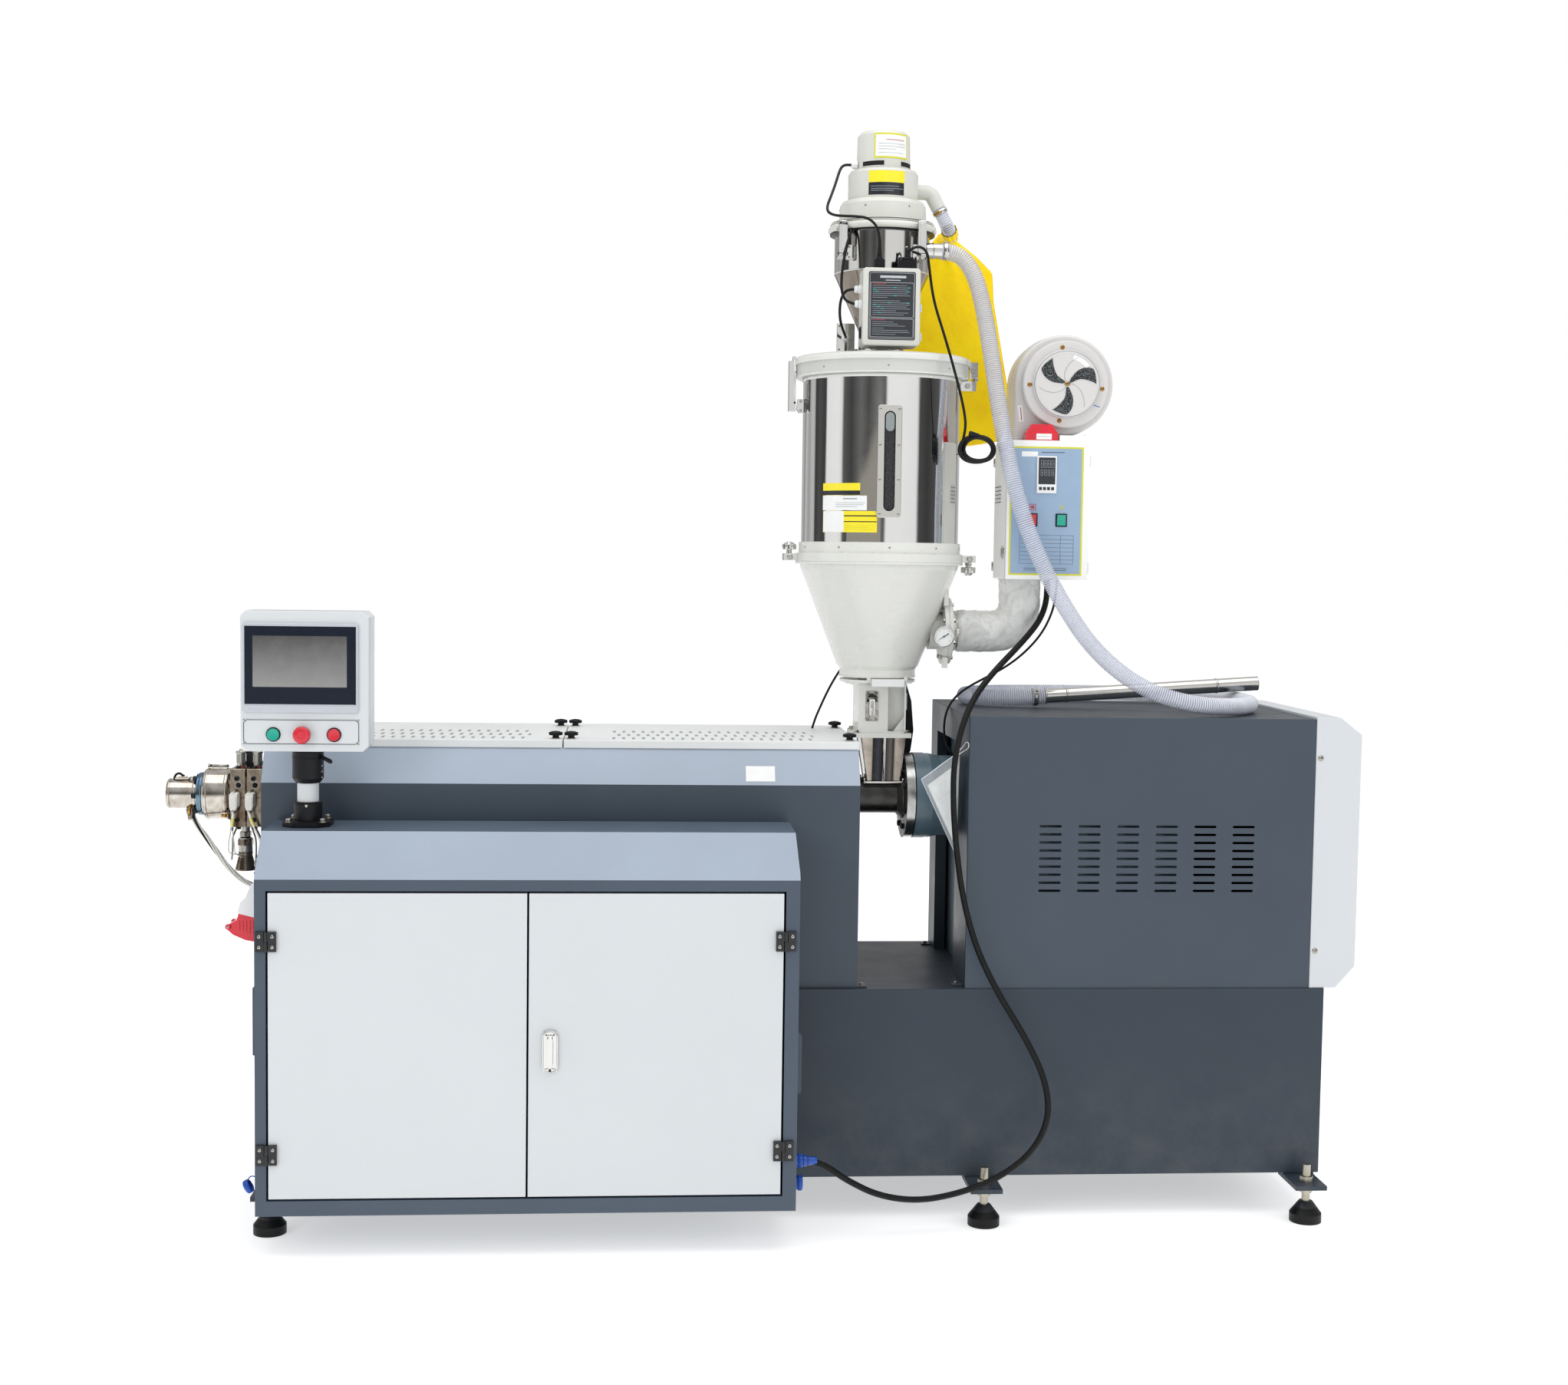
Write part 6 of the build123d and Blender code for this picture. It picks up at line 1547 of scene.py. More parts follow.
# lit rocker switches in black frames
for x0, x1, mt in ((1893, 1915.5, "button_red"), (1967, 1993, "button_green")):
    k.prism(rounded(x0 - 2, x1 + 2, 1757, 1791, 2, 3, F), (0, -1, 0), 2.6, M["black"], b=0.8)
    k.prism([(x0 + 1.5, F - 2.6, 1760), (x1 - 1.5, F - 2.6, 1760), (x1 - 1.5, F - 2.6, 1788), (x0 + 1.5, F - 2.6, 1788)], (0, -1, 0), 1.0,
            M[mt], b=0.4)
    k.add([(x0 + 2, F - 3.5, 1773.8), (x1 - 2, F - 3.5, 1773.8), (x1 - 2, F - 7.2, 1787.5), (x0 + 2, F - 7.2, 1787.5),
           (x0 + 2, F - 3.3, 1787.6), (x1 - 2, F - 3.3, 1787.6)],
          [(0, 1, 2, 3), (3, 2, 5, 4), (0, 3, 4), (1, 5, 2)], M[mt])
    k.add([(x0 + 2, F - 3.5, 1773.8), (x1 - 2, F - 3.5, 1773.8), (x1 - 2, F - 4.1, 1761), (x0 + 2, F - 4.1, 1761),
           (x0 + 2, F - 3.3, 1760.8), (x1 - 2, F - 3.3, 1760.8)],
          [(0, 1, 2, 3), (3, 2, 5, 4), (0, 3, 4), (1, 5, 2)], M[mt])
k.make("dryer_meter", "machine")
k = Kit()
# door joint, louvres, toggle latch and pin hinges on its left side; top bracket screws
for x in (1836.6,):
    k.box(x, x + 0.5, 455.6, 457.0, 1620, 1979, M["label_grey"])
    for i in range(5):
        z = 1822 + i * 10
        k.prism([(x + 0.3, 528, z), (x + 0.3, 603, z), (x + 0.3, 603, z + 3.2), (x + 0.3, 528, z + 3.2)], (-1, 0, 0), 2.4, M["cover"], b=1.0)
        # dark gaps under the louvres: painted shade
        k.box(x - 2.2, x + 0.1, 529, 602, z - 1.3, z - 0.1, M["slot_shade_and_joint_dark"])
    k.box(x - 4, x + 0.2, 474, 488, 1672, 1706, M["chrome"], b=1.2)
    k.cyl((x - 4.5, 476, 1698), (x - 4.5, 486, 1698), 3.0, M["chrome"], 12)
    k.box(x - 7.0, x - 4.0, 476, 486, 1676, 1697, M["chrome"], b=1.0)
    k.box(x - 3, x + 0.2, 452, 466, 1684, 1700, M["chrome"], b=1.0)
for z in (1652, 1928):
    k.cyl((2052.5, 449, z - 14), (2052.5, 449, z + 14), 3.6, M["cover"], 14, b=0.6)
    k.cyl((1836.0, 627.5, z - 12), (1836.0, 627.5, z + 12), 3.0, M["bolt"], 12, b=0.5)
for x in (1990, 2040):
    k.screw((x, 460, 1993), (0, 0, 1), 3.0, 1.8, M["bolt"])
k.make("dryer_box_hardware", "machine")

# ------------------------------------------------------------------ blower face
# blower inlet mesh: near-black cell centres are painted shade seen through the holes, the lighter rims are the wires
t = Mat("blower_mesh", lin("#6F7376"), 0.8, 0.4)
hx = t.voronoi(420)
t.color(t.ramp(hx, [(0.0, lin("#101214")), (0.40, lin("#1E2022")), (0.62, lin("#5E6264")), (1.0, lin("#8A8E90"))]))
t.rough(t.remap(t.noise(300, 2), 0.3, 0.7, 0.3, 0.5))
t.bump(hx, 0.9, 0.0012)
M["blower_mesh"] = t.m
BX, BZ = 1992.0, 2127.0


def smooth_closed(pts, n=6):
    out, m = [], len(pts)
    for i in range(m):
        p0, p1, p2, p3 = (Vector((*pts[(i + j) % m], 0)) for j in (-1, 0, 1, 2))
        for s in range(n):
            t_ = s / n
            q = 0.5 * ((2 * p1) + (p2 - p0) * t_ + (2 * p0 - 5 * p1 + 4 * p2 - p3) * t_ ** 2 + (3 * p1 - p0 - 3 * p2 + p3) * t_ ** 3)
            out.append((q.x, q.y))
    return out


k = Kit()
blade = [(9.0, 1.8), (5.3, 6.5), (10, 16), (25, 33), (46, 42.5), (66, 40.8), (73.5, 29.5), (76.6, 12), (76.5, -0.5), (70, 3.0),
         (52, 9.0), (32, 11.0)]
for rot in (0, 120, 240):
    a = math.radians(rot + 1)
    pts = [(x * math.cos(a) - z * math.sin(a), x * math.sin(a) + z * math.cos(a)) for x, z in blade]
    pts = smooth_closed(pts, 5)
    face = [Vector((BX + x, 461.75, BZ + z)) for x, z in pts]
    k.add(face, [list(range(len(face)))[::-1]], M["blower_mesh"])
    for p, q in zip(face, face[1:] + face[:1]):
        k.tube([p - Vector((0, 0.05, 0)), q - Vector((0, 0.05, 0))], 0.75, M["blower_grey"], seg=6, caps=False)
    # closed shutter's curved joint between the openings
    arc = []
    for i in range(13):
        f_ = i / 12
        rr, th = 6 + 68 * f_, math.radians(rot + 104 - 62 * f_ ** 0.8 + 26)
        arc.append((BX + rr * math.cos(th), 461.85, BZ + rr * math.sin(th)))
    k.tube(arc, 0.55, M["label_grey"], seg=5)
k.lathe((BX, 462, BZ), (0, -1, 0), [(-0.6, 84.2), (0.2, 84.4), (0.4, 85.2), (-0.8, 86)], M["label_grey"], 96, caps=False)
k.lathe((BX, 462, BZ), (0, -1, 0), [(0, 78.6), (0.5, 79.2), (0.5, 80.4), (0, 81)], M["blower_grey"], 96, caps=False)
k.lathe((BX, 462, BZ), (0, -1, 0), [(0, 7.8), (1.0, 7.8), (1.1, 5)], M["zinc"], 24)
k.screw((BX, 461, BZ), (0, -1, 0), 5.4, 3.4, M["brass"])
for x, z in ((1980, 2224), (1878, 2124), (2086, 2117), (1974, 2020)):
    d = Vector((x - BX, 0, z - BZ)).normalized()
    c = Vector((BX, 0, BZ)) + d * 96
    k.lathe((c.x, 476, c.z), (0, -1, 0), [(0, 5.8), (0.8, 5.8), (0.9, 4)], M["brass"], 20)
    k.screw((c.x, 475.2, c.z), (0, -1, 0), 4.2, 2.6, M["brass"])
# shutter lever end, and blank stickers
k.tube([(BX + 70, 461.5, BZ - 53), (BX + 80, 461, BZ - 56.5), (BX + 87, 463.5, BZ - 58)], 1.1, M["blue"], seg=8)
v0 = []
for i in range(9):
    a = math.radians(78 - 38 * i / 8)
    for rr in (64.5, 76):
        v0.append((BX + rr * math.cos(a), 461.6, BZ + rr * math.sin(a)))
k.add(v0, [(2 * i, 2 * i + 1, 2 * i + 3, 2 * i + 2) for i in range(8)], M["label_white"])
k.prism([(BX - 122, 499.6, BZ - 55), (BX - 110, 499.6, BZ - 54), (BX - 104, 499.6, BZ - 96), (BX - 117, 499.6, BZ - 98)], (0, -1, 0), 0.25,
        M["label_white"])
k.prism([(BX - 115.4, 499.3, BZ - 59), (BX - 113.2, 499.3, BZ - 59), (BX - 109.2, 499.3, BZ - 93), (BX - 111.4, 499.3, BZ - 93)], (0, -1, 0),
        0.15, M["label_red"])
k.make("blower_face", "machine")
k = Kit()
# volute seam, rear rim, motor fins and fan cover
k.lathe((BX, 556, BZ), (0, 1, 0), [(-1.4, 130.2), (-1.4, 132.4), (1.4, 132.4), (1.4, 130.2)], M["blower_grey"], 96, start=0, end=360)
for i in range(22):
    a = 2 * math.pi * i / 22
    d = Vector((math.cos(a), 0, math.sin(a)))
    u_ = Vector((-math.sin(a), 0, math.cos(a)))
    c = Vector((BX, 0, BZ)) + d * 73.2
    q = [c + u_ * s - d * 3.8 + Vector((0, y, 0)) for s, y in ((-1.1, 622), (1.1, 622), (1.1, 676), (-1.1, 676))]
    q2 = [p + d * 8 for p in q]
    k.add(q + q2, [(0, 1, 2, 3), (4, 5, 6, 7), (0, 1, 5, 4), (1, 2, 6, 5), (2, 3, 7, 6), (3, 0, 4, 7)], M["blower_grey"])
k.lathe((BX, 680, BZ), (0, 1, 0), [(0, 70.2), (0, 74.5), (20, 74.5), (25, 70), (26.6, 62), (26.6, 0)], M["black_metal"], 64)
for r in (14, 26, 38, 50):
    # slots of the fan cover as near-black rings: painted shade
    k.lathe((BX, 706.4, BZ), (0, 1, 0), [(0, r), (0.9, r), (0.9, r + 3.4), (0, r + 3.4)], M["slot_shade_and_joint_dark"], 48)
k.box(BX - 28, BX + 28, 630, 672, BZ + 66, BZ + 84, M["blower_grey"], b=3)
k.make("blower_motor_details", "machine")
k = Kit()
k.box(1911, 1951, 446.2, 447.0, 1981.5, 1996.5, M["label_white"])
k.box(1914, 1948, 445.9, 446.3, 1988.5, 1990.0, M["label_line"])
k.lathe((1926, 463.5, 2021), (0, 0, 1), [(-0.5, 8), (0.6, 7.4), (1, 6), (1, 0)], M["red"], 20)
k.make("alarm_label", "machine")

# ------------------------------------------------------------------ loader
k = Kit()
LXc, LYc = 1516.0, 570.0
k.arcplate(LXc, LYc, 69.9, -27.3, 52, 2698, 2762, 0.35, M["label_border"], seg=16, r1=68.6)
k.arcplate(LXc, LYc, 70.25, -24.2, 48.9, 2702.5, 2757.5, 0.2, M["label_white"], seg=16, r1=69.05)
k.arcplate(LXc, LYc, 91.1, -31, 30, 2633, 2662.5, 0.25, M["label_yellow"], seg=14)
k.arcplate(LXc, LYc, 91.1, -31, 29, 2601, 2632.5, 0.25, M["label_black"], seg=14)
for z, a1 in ((2622, 20), (2616, 27), (2611, 10)):
    k.arcplate(LXc, LYc, 91.4, -27, a1, z, z + 1.4, 0.1, M["label_grey"], seg=10)
for z, a0, a1, mt in ((2744, -2, 40, "label_red"), (2734, -18, 44, "label_line"), (2727, -18, 44, "label_line"), (2720, -18, 20, "label_line"),
                      (2711, -18, 38, "label_line")):
    k.arcplate(LXc, LYc, 70.5, a0, a1, z, z + 1.3, 0.1, M[mt], seg=10)
k.make("loader_labels", "machine")
k = Kit()
for c_ in (-31, 59, 149, 239):
    # vent slots of the head as recessed near-black strips: painted shade
    k.arcplate(LXc, LYc, 69.2, c_ - 25.5, c_ + 25.5, 2679.5, 2691.5, 0.9, M["slot_shade_and_joint_dark"], seg=12, r1=69.0)
    k.arcplate(LXc, LYc, 69.9, c_ - 27, c_ + 27, 2677.6, 2679.6, 0.9, M["loader_grey"], seg=12)
    k.arcplate(LXc, LYc, 69.7, c_ - 27, c_ + 27, 2691.4, 2693.4, 0.9, M["loader_grey"], seg=12)
k.lathe((LXc, LYc, 2670), (0, 0, 1), [(-0.5, 86.6), (1.4, 86.2), (2.2, 84)], M["loader_grey"], 64, caps=False)
for z, r in ((2532, 136.4), (2537, 133.6)):
    k.lathe((LXc, LYc, z), (0, 0, 1), [(0, r - 4), (0.6, r), (2.0, r), (2.8, r - 4)], M["loader_grey"], 96)
for i in range(6):
    a = math.radians(30 + 60 * i)
    d = (math.sin(a), -math.cos(a), 0)
    k.screw((LXc + 112 * d[0], LYc + 112 * d[1], 2572), d, 3.2, 2.0, M["bolt"])
# clamp ears of the head's rim
for a in (-66, 66, 170):
    d = Vector((math.sin(math.radians(a)), -math.cos(math.radians(a)), 0))
    c = Vector((LXc, LYc, 2519)) + d * 139
    k.cyl(c - d * 4, c + d * 4.5, 9, M["loader_grey"], 20, b=1.5)
k.lathe((LXc, LYc, 2511.6), (0, 0, 1), [(0, 124.2), (0, 137), (-3.0, 137), (-3.0, 124.2)], M["rubber"], 96)
k.make("loader_head_details", "machine")

k = Kit()
# over-centre latches: long handle, hook, spring plate, pivot
for lx, y0, yc, s in ((1403, 468, 462, 1), (1603, 440, 434, -1)):
    prof = rounded(lx - 10.5, lx + 10.5, 2440, 2530, 5, 5, y0 - 0.3)
    k.prism(prof, (0, -1, 0), 4.5, M["chrome"], b=1.6)
    k.prism(rounded(lx - 6, lx + 6, 2456, 2524, 3, 4, y0 - 4.8), (0, -1, 0), 1.0, M["chrome"], b=0.8)
    k.cyl((lx - 13, y0 - 1, 2447), (lx + 13, y0 - 1, 2447), 4.0, M["black_bolt"], 14, b=0.6)
    k.prism(rounded(lx + s * 16 - 8, lx + s * 16 + 8, 2432, 2470, 3, 4, y0 + 10), (0, -1, 0), 10, M["chrome"], b=1.0)
    for z in (2438, 2464):
        k.screw((lx + s * 16, y0, z), (0, -1, 0), 3.0, 1.8, M["bolt"])
    k.tube([(lx - 4, y0 - 3, 2449), (lx - 4, y0 - 4, 2484), (lx - 3, y0 + 4, 2512), (lx + 3, y0 + 4, 2512), (lx + 4, y0 - 4, 2484),
            (lx + 4, y0 - 3, 2449)], 1.5, M["black_bolt"], seg=6)
k.make("loader_latches", "machine")

k = Kit()
# vessel seams, lower clamp band and neck ring
k.lathe((LXc, LYc, 2408), (0, 0, 1), [(-1.4, 123.4), (-0.4, 124.6), (1.0, 124.8), (2.0, 124.1)], M["chrome"], 96)
k.lathe((LXc, LYc, 2208), (0, 0, 1), [(-7.6, 78.2), (-7, 79), (-1, 79), (0, 78.2)], M["chrome"], 72)
k.lathe((LXc, LYc, 2262), (0, 0, 1), [(-1.4, 58.2), (-0.2, 59.4), (1.4, 60.4)], M["chrome"], 72)
for i in range(6):
    a = math.radians(15 + 60 * i)
    k.hexa((LXc + 69 * math.cos(a), LYc + 69 * math.sin(a), 2208), (0, 0, 1), 10, 6, M["bolt"])
k.tube([(1516, 693.9, 2410), (1516, 694.2, 2460), (1516, 694.2, 2510)], 0.9, M["chrome"], seg=6)
# valve plate: white gland and screws
for x, z in ((1409, 2216), (1445, 2216), (1409, 2277)):
    k.screw((x, 592, z), (0, -1, 0), 2.8, 1.7, M["bolt"])
k.make("vessel_details", "machine")
k = Kit()
k.hexa((1426, 592, 2246), (0, -1, 0), 20, 5, M["white_plastic"])
k.lathe((1426, 587, 2246), (0, -1, 0), [(0, 9), (5, 9), (7.5, 7.4), (9, 5.2), (9, 3.6)], M["white_plastic"], 24)
for gx, gy, gz in ((1447, 424, 2314), (1447, 440, 2353), (1447, 560, 2688)):
    k.hexa((gx - 0.2, gy, gz), (-1, 0, 0), 21, 5.5, M["white_plastic"])
    k.lathe((gx - 5.7, gy, gz), (-1, 0, 0), [(0, 9.4), (7, 9.4), (9.4, 8.2), (11, 5.6), (11.2, 3.7)], M["white_plastic"], 24)
k.make("cable_glands", "machine")

k = Kit()
# the box's front plate: blank fields framed by thin lines
Fy = 385.0
k.prism(rounded(1461, 1581, 2221, 2392, 5, 5, Fy + 0.1), (0, -1, 0), 0.5, M["label_black"])


def frame_line(x0, x1, z0, z1, r, y, w, mat):
    o_ = rounded(x0, x1, z0, z1, r, 5, y)
    k.tube([Vector(p) for p in o_] + [Vector(o_[0])], w, mat, seg=5, caps=False)


frame_line(1464.2, 1577.8, 2224.2, 2388.8, 4, Fy - 0.45, 0.55, M["label_line"])
frame_line(1466.4, 1575.6, 2277.5, 2364.5, 3, Fy - 0.45, 0.6, M["label_line"])
frame_line(1466.4, 1575.6, 2228.0, 2274.0, 3, Fy - 0.45, 0.6, M["label_line"])
rows = [(2357, 88), (2352, 96), (2347, 92), (2342, 96), (2337, 90), (2332, 96), (2327, 38), (2319, 70), (2314, 96), (2309, 96), (2304, 88),
        (2299, 96), (2294, 60), (2289, 92), (2284, 80), (2266, 54), (2261, 66), (2256, 84), (2250, 30), (2245, 92), (2240, 96), (2235, 60)]
for n_, (z, L) in enumerate(rows):
    k.box(1471, 1471 + L, Fy - 0.62, Fy - 0.4, z - 0.55, z + 0.55, M["label_grey"])
for x, z, w in ((1524, 2352, 8), (1560, 2352, 8), (1472, 2347, 8), (1478, 2342, 8), (1556, 2342, 9), (1525, 2332, 8), (1511, 2314, 8),
                (1557, 2314, 8), (1472, 2309, 8), (1483, 2304, 8), (1492, 2299, 8), (1485, 2289, 8)):
    k.box(x, x + w, Fy - 0.8, Fy - 0.4, z - 1.2, z + 1.2, M["label_teal"])
k.box(1471, 1506, Fy - 0.7, Fy - 0.4, 2361, 2362.2, M["label_red"])
k.box(1471, 1502, Fy - 0.7, Fy - 0.4, 2270.4, 2271.6, M["label_red"])
k.box(1490, 1556, Fy - 0.62, Fy - 0.4, 2376, 2382, M["label_line"])
k.box(1504, 1542, Fy - 0.62, Fy - 0.4, 2369.5, 2371.5, M["label_line"])
k.make("loader_panel_label", "machine")
k = Kit()
# rocker switch on the left side, hinges and screws of the cover
k.box(1444.4, 1447.1, 414, 433, 2226, 2257, M["black"], b=1.0)
k.box(1442.6, 1444.6, 416.5, 430.5, 2229, 2254, M["black"], b=1.0)
k.box(1446.6, 1447.3, 397.0, 398.2, 2214, 2396, M["label_grey"])
k.box(1593.8, 1594.4, 397.0, 398.2, 2214, 2396, M["label_grey"])
for z in (2230, 2302):
    k.box(1593.8, 1598.4, 389, 405, z - 10, z + 10, M["loader_grey"], b=1.2)
    k.screw((1598.4, 397, z), (1, 0, 0), 3.0, 1.6, M["bolt"])
k.box(1456, 1586, 396.8, 398.2, 2206.6, 2207.2, M["label_grey"])
for x in (1460, 1580):
    for z in (2398.0,):
        k.screw((x, 430, 2402), (0, 0, 1), 3.0, 1.8, M["bolt"])
k.make("loader_box_hardware", "machine")

k = Kit()
# appliance plug with a tapered strain relief, and the multi-pole connector
k.prism([(1477.5, 396.5, 2402.2), (1502.5, 396.5, 2402.2), (1500, 396.5, 2424.3), (1496, 396.5, 2427), (1484, 396.5, 2427), (1480, 396.5, 2424.3)],
        (0, 1, 0), 27, M["black"], b=1.5)
k.lathe((1490, 410, 2425), (0, 0, 1), [(0, 8.6), (3, 8.2), (5, 7.4)], M["black"], 24)
for i in range(6):
    z = 2430 + i * 5.2
    r = 7.2 - i * 0.48
    k.lathe((1490, 410, z), (0, 0, 1), [(0, r - 1.3), (0.6, r), (2.9, r - 0.15), (3.5, r - 1.3), (5.2, r - 1.5)], M["black"], 20)
for i, (x, w) in enumerate(((1538.5, 5), (1579.5, 5))):
    k.box(x, x + w, 400, 420, 2402.2, 2431, M["black"], b=1.0)
for x in (1549, 1558, 1567):
    k.box(x, x + 4.5, 396.6, 398.2, 2405, 2422, M["black"], b=0.4)
k.box(1547, 1577, 401, 419, 2424, 2432, M["black"], b=1.6)
k.lathe((1562, 410, 2431), (0, 0, 1), [(0, 7.6), (4, 7.4), (8, 5.9), (16, 5.0), (24, 4.1), (24.3, 3.6)], M["black"], 20)
k.make("lead_strain_reliefs", "machine")

k = Kit()
# hose clamp on the inlet stub, and the bead of the blower's outlet
k.lathe((1673, 500, 2463.2), (1, 0, 0), [(-6.2, 22.7), (-5.8, 23.7), (5.8, 23.7), (6.2, 22.7)], M["tube_steel"], 48, caps=False)
k.box(1666, 1680, 474.4, 482, 2438, 2447, M["tube_steel"], b=1)
k.cyl((1673, 470, 2441), (1673, 489, 2443), 3.6, M["bolt"], 14)
k.hexa((1673, 470, 2441), (0, -1, -0.1), 8, 4, M["bolt"])
k.lathe((1640, 500, 2463), (1, 0, 0), [(-2, 20.1), (-1.4, 21.4), (1.4, 21.4), (2, 20.1)], M["tube_steel"], 40)
k.make("inlet_hose_clamp", "machine")

# ------------------------------------------------------------------ blower outlet hose and dust bag
EXR = [(1668.2, 600, 2587.6), (1677, 600, 2571.5), (1686.5, 603, 2555), (1696, 614, 2541.5), (1705, 634, 2532), (1712, 662, 2528.5),
       (1718, 700, 2531.5), (1722, 745, 2537.5), (1723, 790, 2540), (1723, 807.4, 2540)]
ex_pts = spline_points(EXR, step=1.6)
k = Kit()
k.tube(ex_pts, 18, M["clear_pvc"], seg=20, rfun=lambda i, s: 17.9 if i % 3 == 1 else 16.2,
       matfun=lambda i: M["clear_rib"] if i % 3 == 0 else M["clear_pvc"])
exh = k.make("exhaust_hose_ribbed", "machine", replaces=["exhaust_hose"])
k = Kit()
ax0 = (ex_pts[8] - ex_pts[2]).normalized()
k.lathe(ex_pts[5], ax0, [(-5.6, 18.2), (-5.2, 19.4), (5.2, 19.4), (5.6, 18.2)], M["tube_steel"], 40, caps=False)
c = ex_pts[5] + Vector((-4, -17.5, -3))
k.lathe(c, (0.9, -0.1, 0.4), [(-6, 0), (-6, 3.4), (6, 3.4), (6, 0)], M["brass"], 14)
k.lathe(ex_pts[5], ax0, [(-3.6, 19.5), (-3.4, 19.8), (3.4, 19.8), (3.6, 19.5)], M["brass"], 40, start=200, end=290)
k.make("exhaust_hose_clamp", "machine")

BAG_O = [(1704, 2562), (1742, 2562), (1756, 2540), (1810, 2500), (1854, 2458), (1859, 2379), (1885, 2240), (1908, 2119), (1884, 1966),
         (1776, 1944), (1640, 1950), (1604, 2100), (1606, 2300), (1628, 2440), (1650, 2500), (1690, 2540)]
NU, NV = 72, 120


def bag_edges(z):
    """Left and right x of the bag's outline at height z."""
    xs = []
    m_ = len(BAG_O)
    for i in range(m_):
        (xa, za), (xb, zb) = BAG_O[i], BAG_O[(i + 1) % m_]
        if (za - z) * (zb - z) <= 0 and abs(za - zb) > 1e-6:
            xs.append(xa + (xb - xa) * (z - za) / (zb - za))
    return min(xs), max(xs)


def bag_front(u, w):
    """Point of one panel; u 0..1 across, w 0..1 from the bottom hem to the neck; returns x, z and its bulge 0..1."""
    z = 1976 + (2560 - 1976) * w
    xa, xb = bag_edges(min(2560.5, max(1966.5, z)))
    x = xa + (xb - xa) * u
    # the hem hangs lower at one side, as the outline shows
    if w < 0.12:
        k_ = (0.12 - w) / 0.12
        z -= k_ * (8 * math.sin(math.pi * u) - 22 * u * k_)
    across = max(0.0, 1 - (2 * u - 1) ** 2)
    bulge = across ** 0.55 * (0.42 + 0.58 * math.sin(math.pi * min(1, 0.10 + w * 0.80)) ** 0.7)
    bulge *= min(1.0, (w / 0.05)) ** 0.5
    return x, z, bulge


k = Kit()
for sgn in (-1, 1):
    v = []
    for j in range(NV + 1):
        w = j / NV
        for i in range(NU + 1):
            u = i / NU
            x, z, b = bag_front(u, w)
            half = 17.0 * b
            # folds fanning down from the neck, a few slack cross folds near the hem, fine crumple
            dx, dz = x - 1722, 2556 - z
            ang = math.atan2(dx, max(dz, 1.0))
            fan = math.sin(ang * 13 + sgn * 1.3 + 0.5 * math.sin(dz / 70)) * min(1, dz / 60) * math.exp(-dz / 330)
            slack = math.sin(z / 31 + dx / 70 + sgn) * math.exp(-((z - 2010) / 80) ** 2)
            soft = mnoise.noise(Vector((x / 62, z / 120, sgn * 3.1))) * 1.6
            fine = abs(mnoise.noise(Vector((x / 21 + z / 60, z / 34, sgn * 7.7)))) * 1.1
            inner = min(1, b * 1.6)
            y = 829 + sgn * (half + 1.0 + inner * (2.7 * fan + 1.8 * slack + 1.5 * soft - 1.1 * fine))
            y = max(808.6, min(849.4, y))
            if b < 0.05:
                y = 829.0
            v.append((x, y, z))
    W_ = NU + 1
    f = []
    for j in range(NV):
        for i in range(NU):
            zc = v[j * W_ + i][2]
            if sgn < 0 and zc > 2520 and math.hypot(v[j * W_ + i][0] - 1723, zc - 2540) < 15.5:
                continue
            f.append((j * W_ + i, j * W_ + i + 1, (j + 1) * W_ + i + 1, (j + 1) * W_ + i))
    k.add(v, f, M["bag"], True)
bag = k.make("dust_bag_sewn", "machine", replaces=["dust_bag"])
# neck sleeve: the bag's mouth gathered over the hose and tied
k = Kit()
i0 = next(i for i, q in enumerate(ex_pts) if run_length(ex_pts[:i + 1]) > 66)
neck = ex_pts[i0:]
v = []
NS = 60
n_ = len(neck)
for i in range(0, n_, 2):
    q = neck[i]
    tg = (neck[min(i + 1, n_ - 1)] - neck[max(i - 1, 0)]).normalized()
    _, u_, w_ = basis(tg)
    s = i / (n_ - 1)
    for j in range(NS):
        a = 2 * math.pi * j / NS
        flare = 1.8 * math.exp(-s * 9) + 4.0 * math.exp(-((1 - s) / 0.12) ** 2)
        pinch = -0.9 * math.exp(-((s - 0.16) / 0.03) ** 2)
        r = 19.4 + flare + pinch + (0.9 + flare * 0.3) * math.sin(11 * a + 5 * s) * (0.4 + 0.6 * abs(math.sin(3 * a)))
        v.append(q + (u_ * math.cos(a) + w_ * math.sin(a)) * r)
rows_ = len(v) // NS
f = [(i * NS + j, i * NS + (j + 1) % NS, (i + 1) * NS + (j + 1) % NS, (i + 1) * NS + j) for i in range(rows_ - 1) for j in range(NS)]
k.add(v, f, M["bag"], True)
q = neck[int(n_ * 0.16)]
tg = (neck[int(n_ * 0.16) + 1] - neck[int(n_ * 0.16) - 1]).normalized()
k.lathe(q, tg, [(-1.6, 19.6), (-1.2, 20.6), (1.2, 20.6), (1.6, 19.6)], M["white_plastic"], 40, caps=False)
sleeve = k.make("dust_bag_neck", "machine")
# sewn side seam allowances
k = Kit()
seam = []
for j in range(4, NV - 1, 2):
    x, z, b = bag_front(1.0, j / NV)
    seam.append((x, 829, z))
k.tube(seam, 1.5, M["bag"], seg=6)
seam = []
for j in range(4, NV - 1, 2):
    x, z, b = bag_front(0.0, j / NV)
    seam.append((x, 829, z))
k.tube(seam, 1.5, M["bag"], seg=6)
seams = k.make("dust_bag_seams", "machine")
for j in range(NV):
    xa, _, _ = bag_front(0, j / NV)
    xb, _, _ = bag_front(1, j / NV)

# ------------------------------------------------------------------ document pouch on the gear housing's corner
k = Kit()
A_ = Vector((1605, 296, 1113))
U_ = Vector((86, -12, 66)).normalized()
V_ = Vector((84, 4, -175)).normalized()
PWD, PLN = 150.0, 205.0


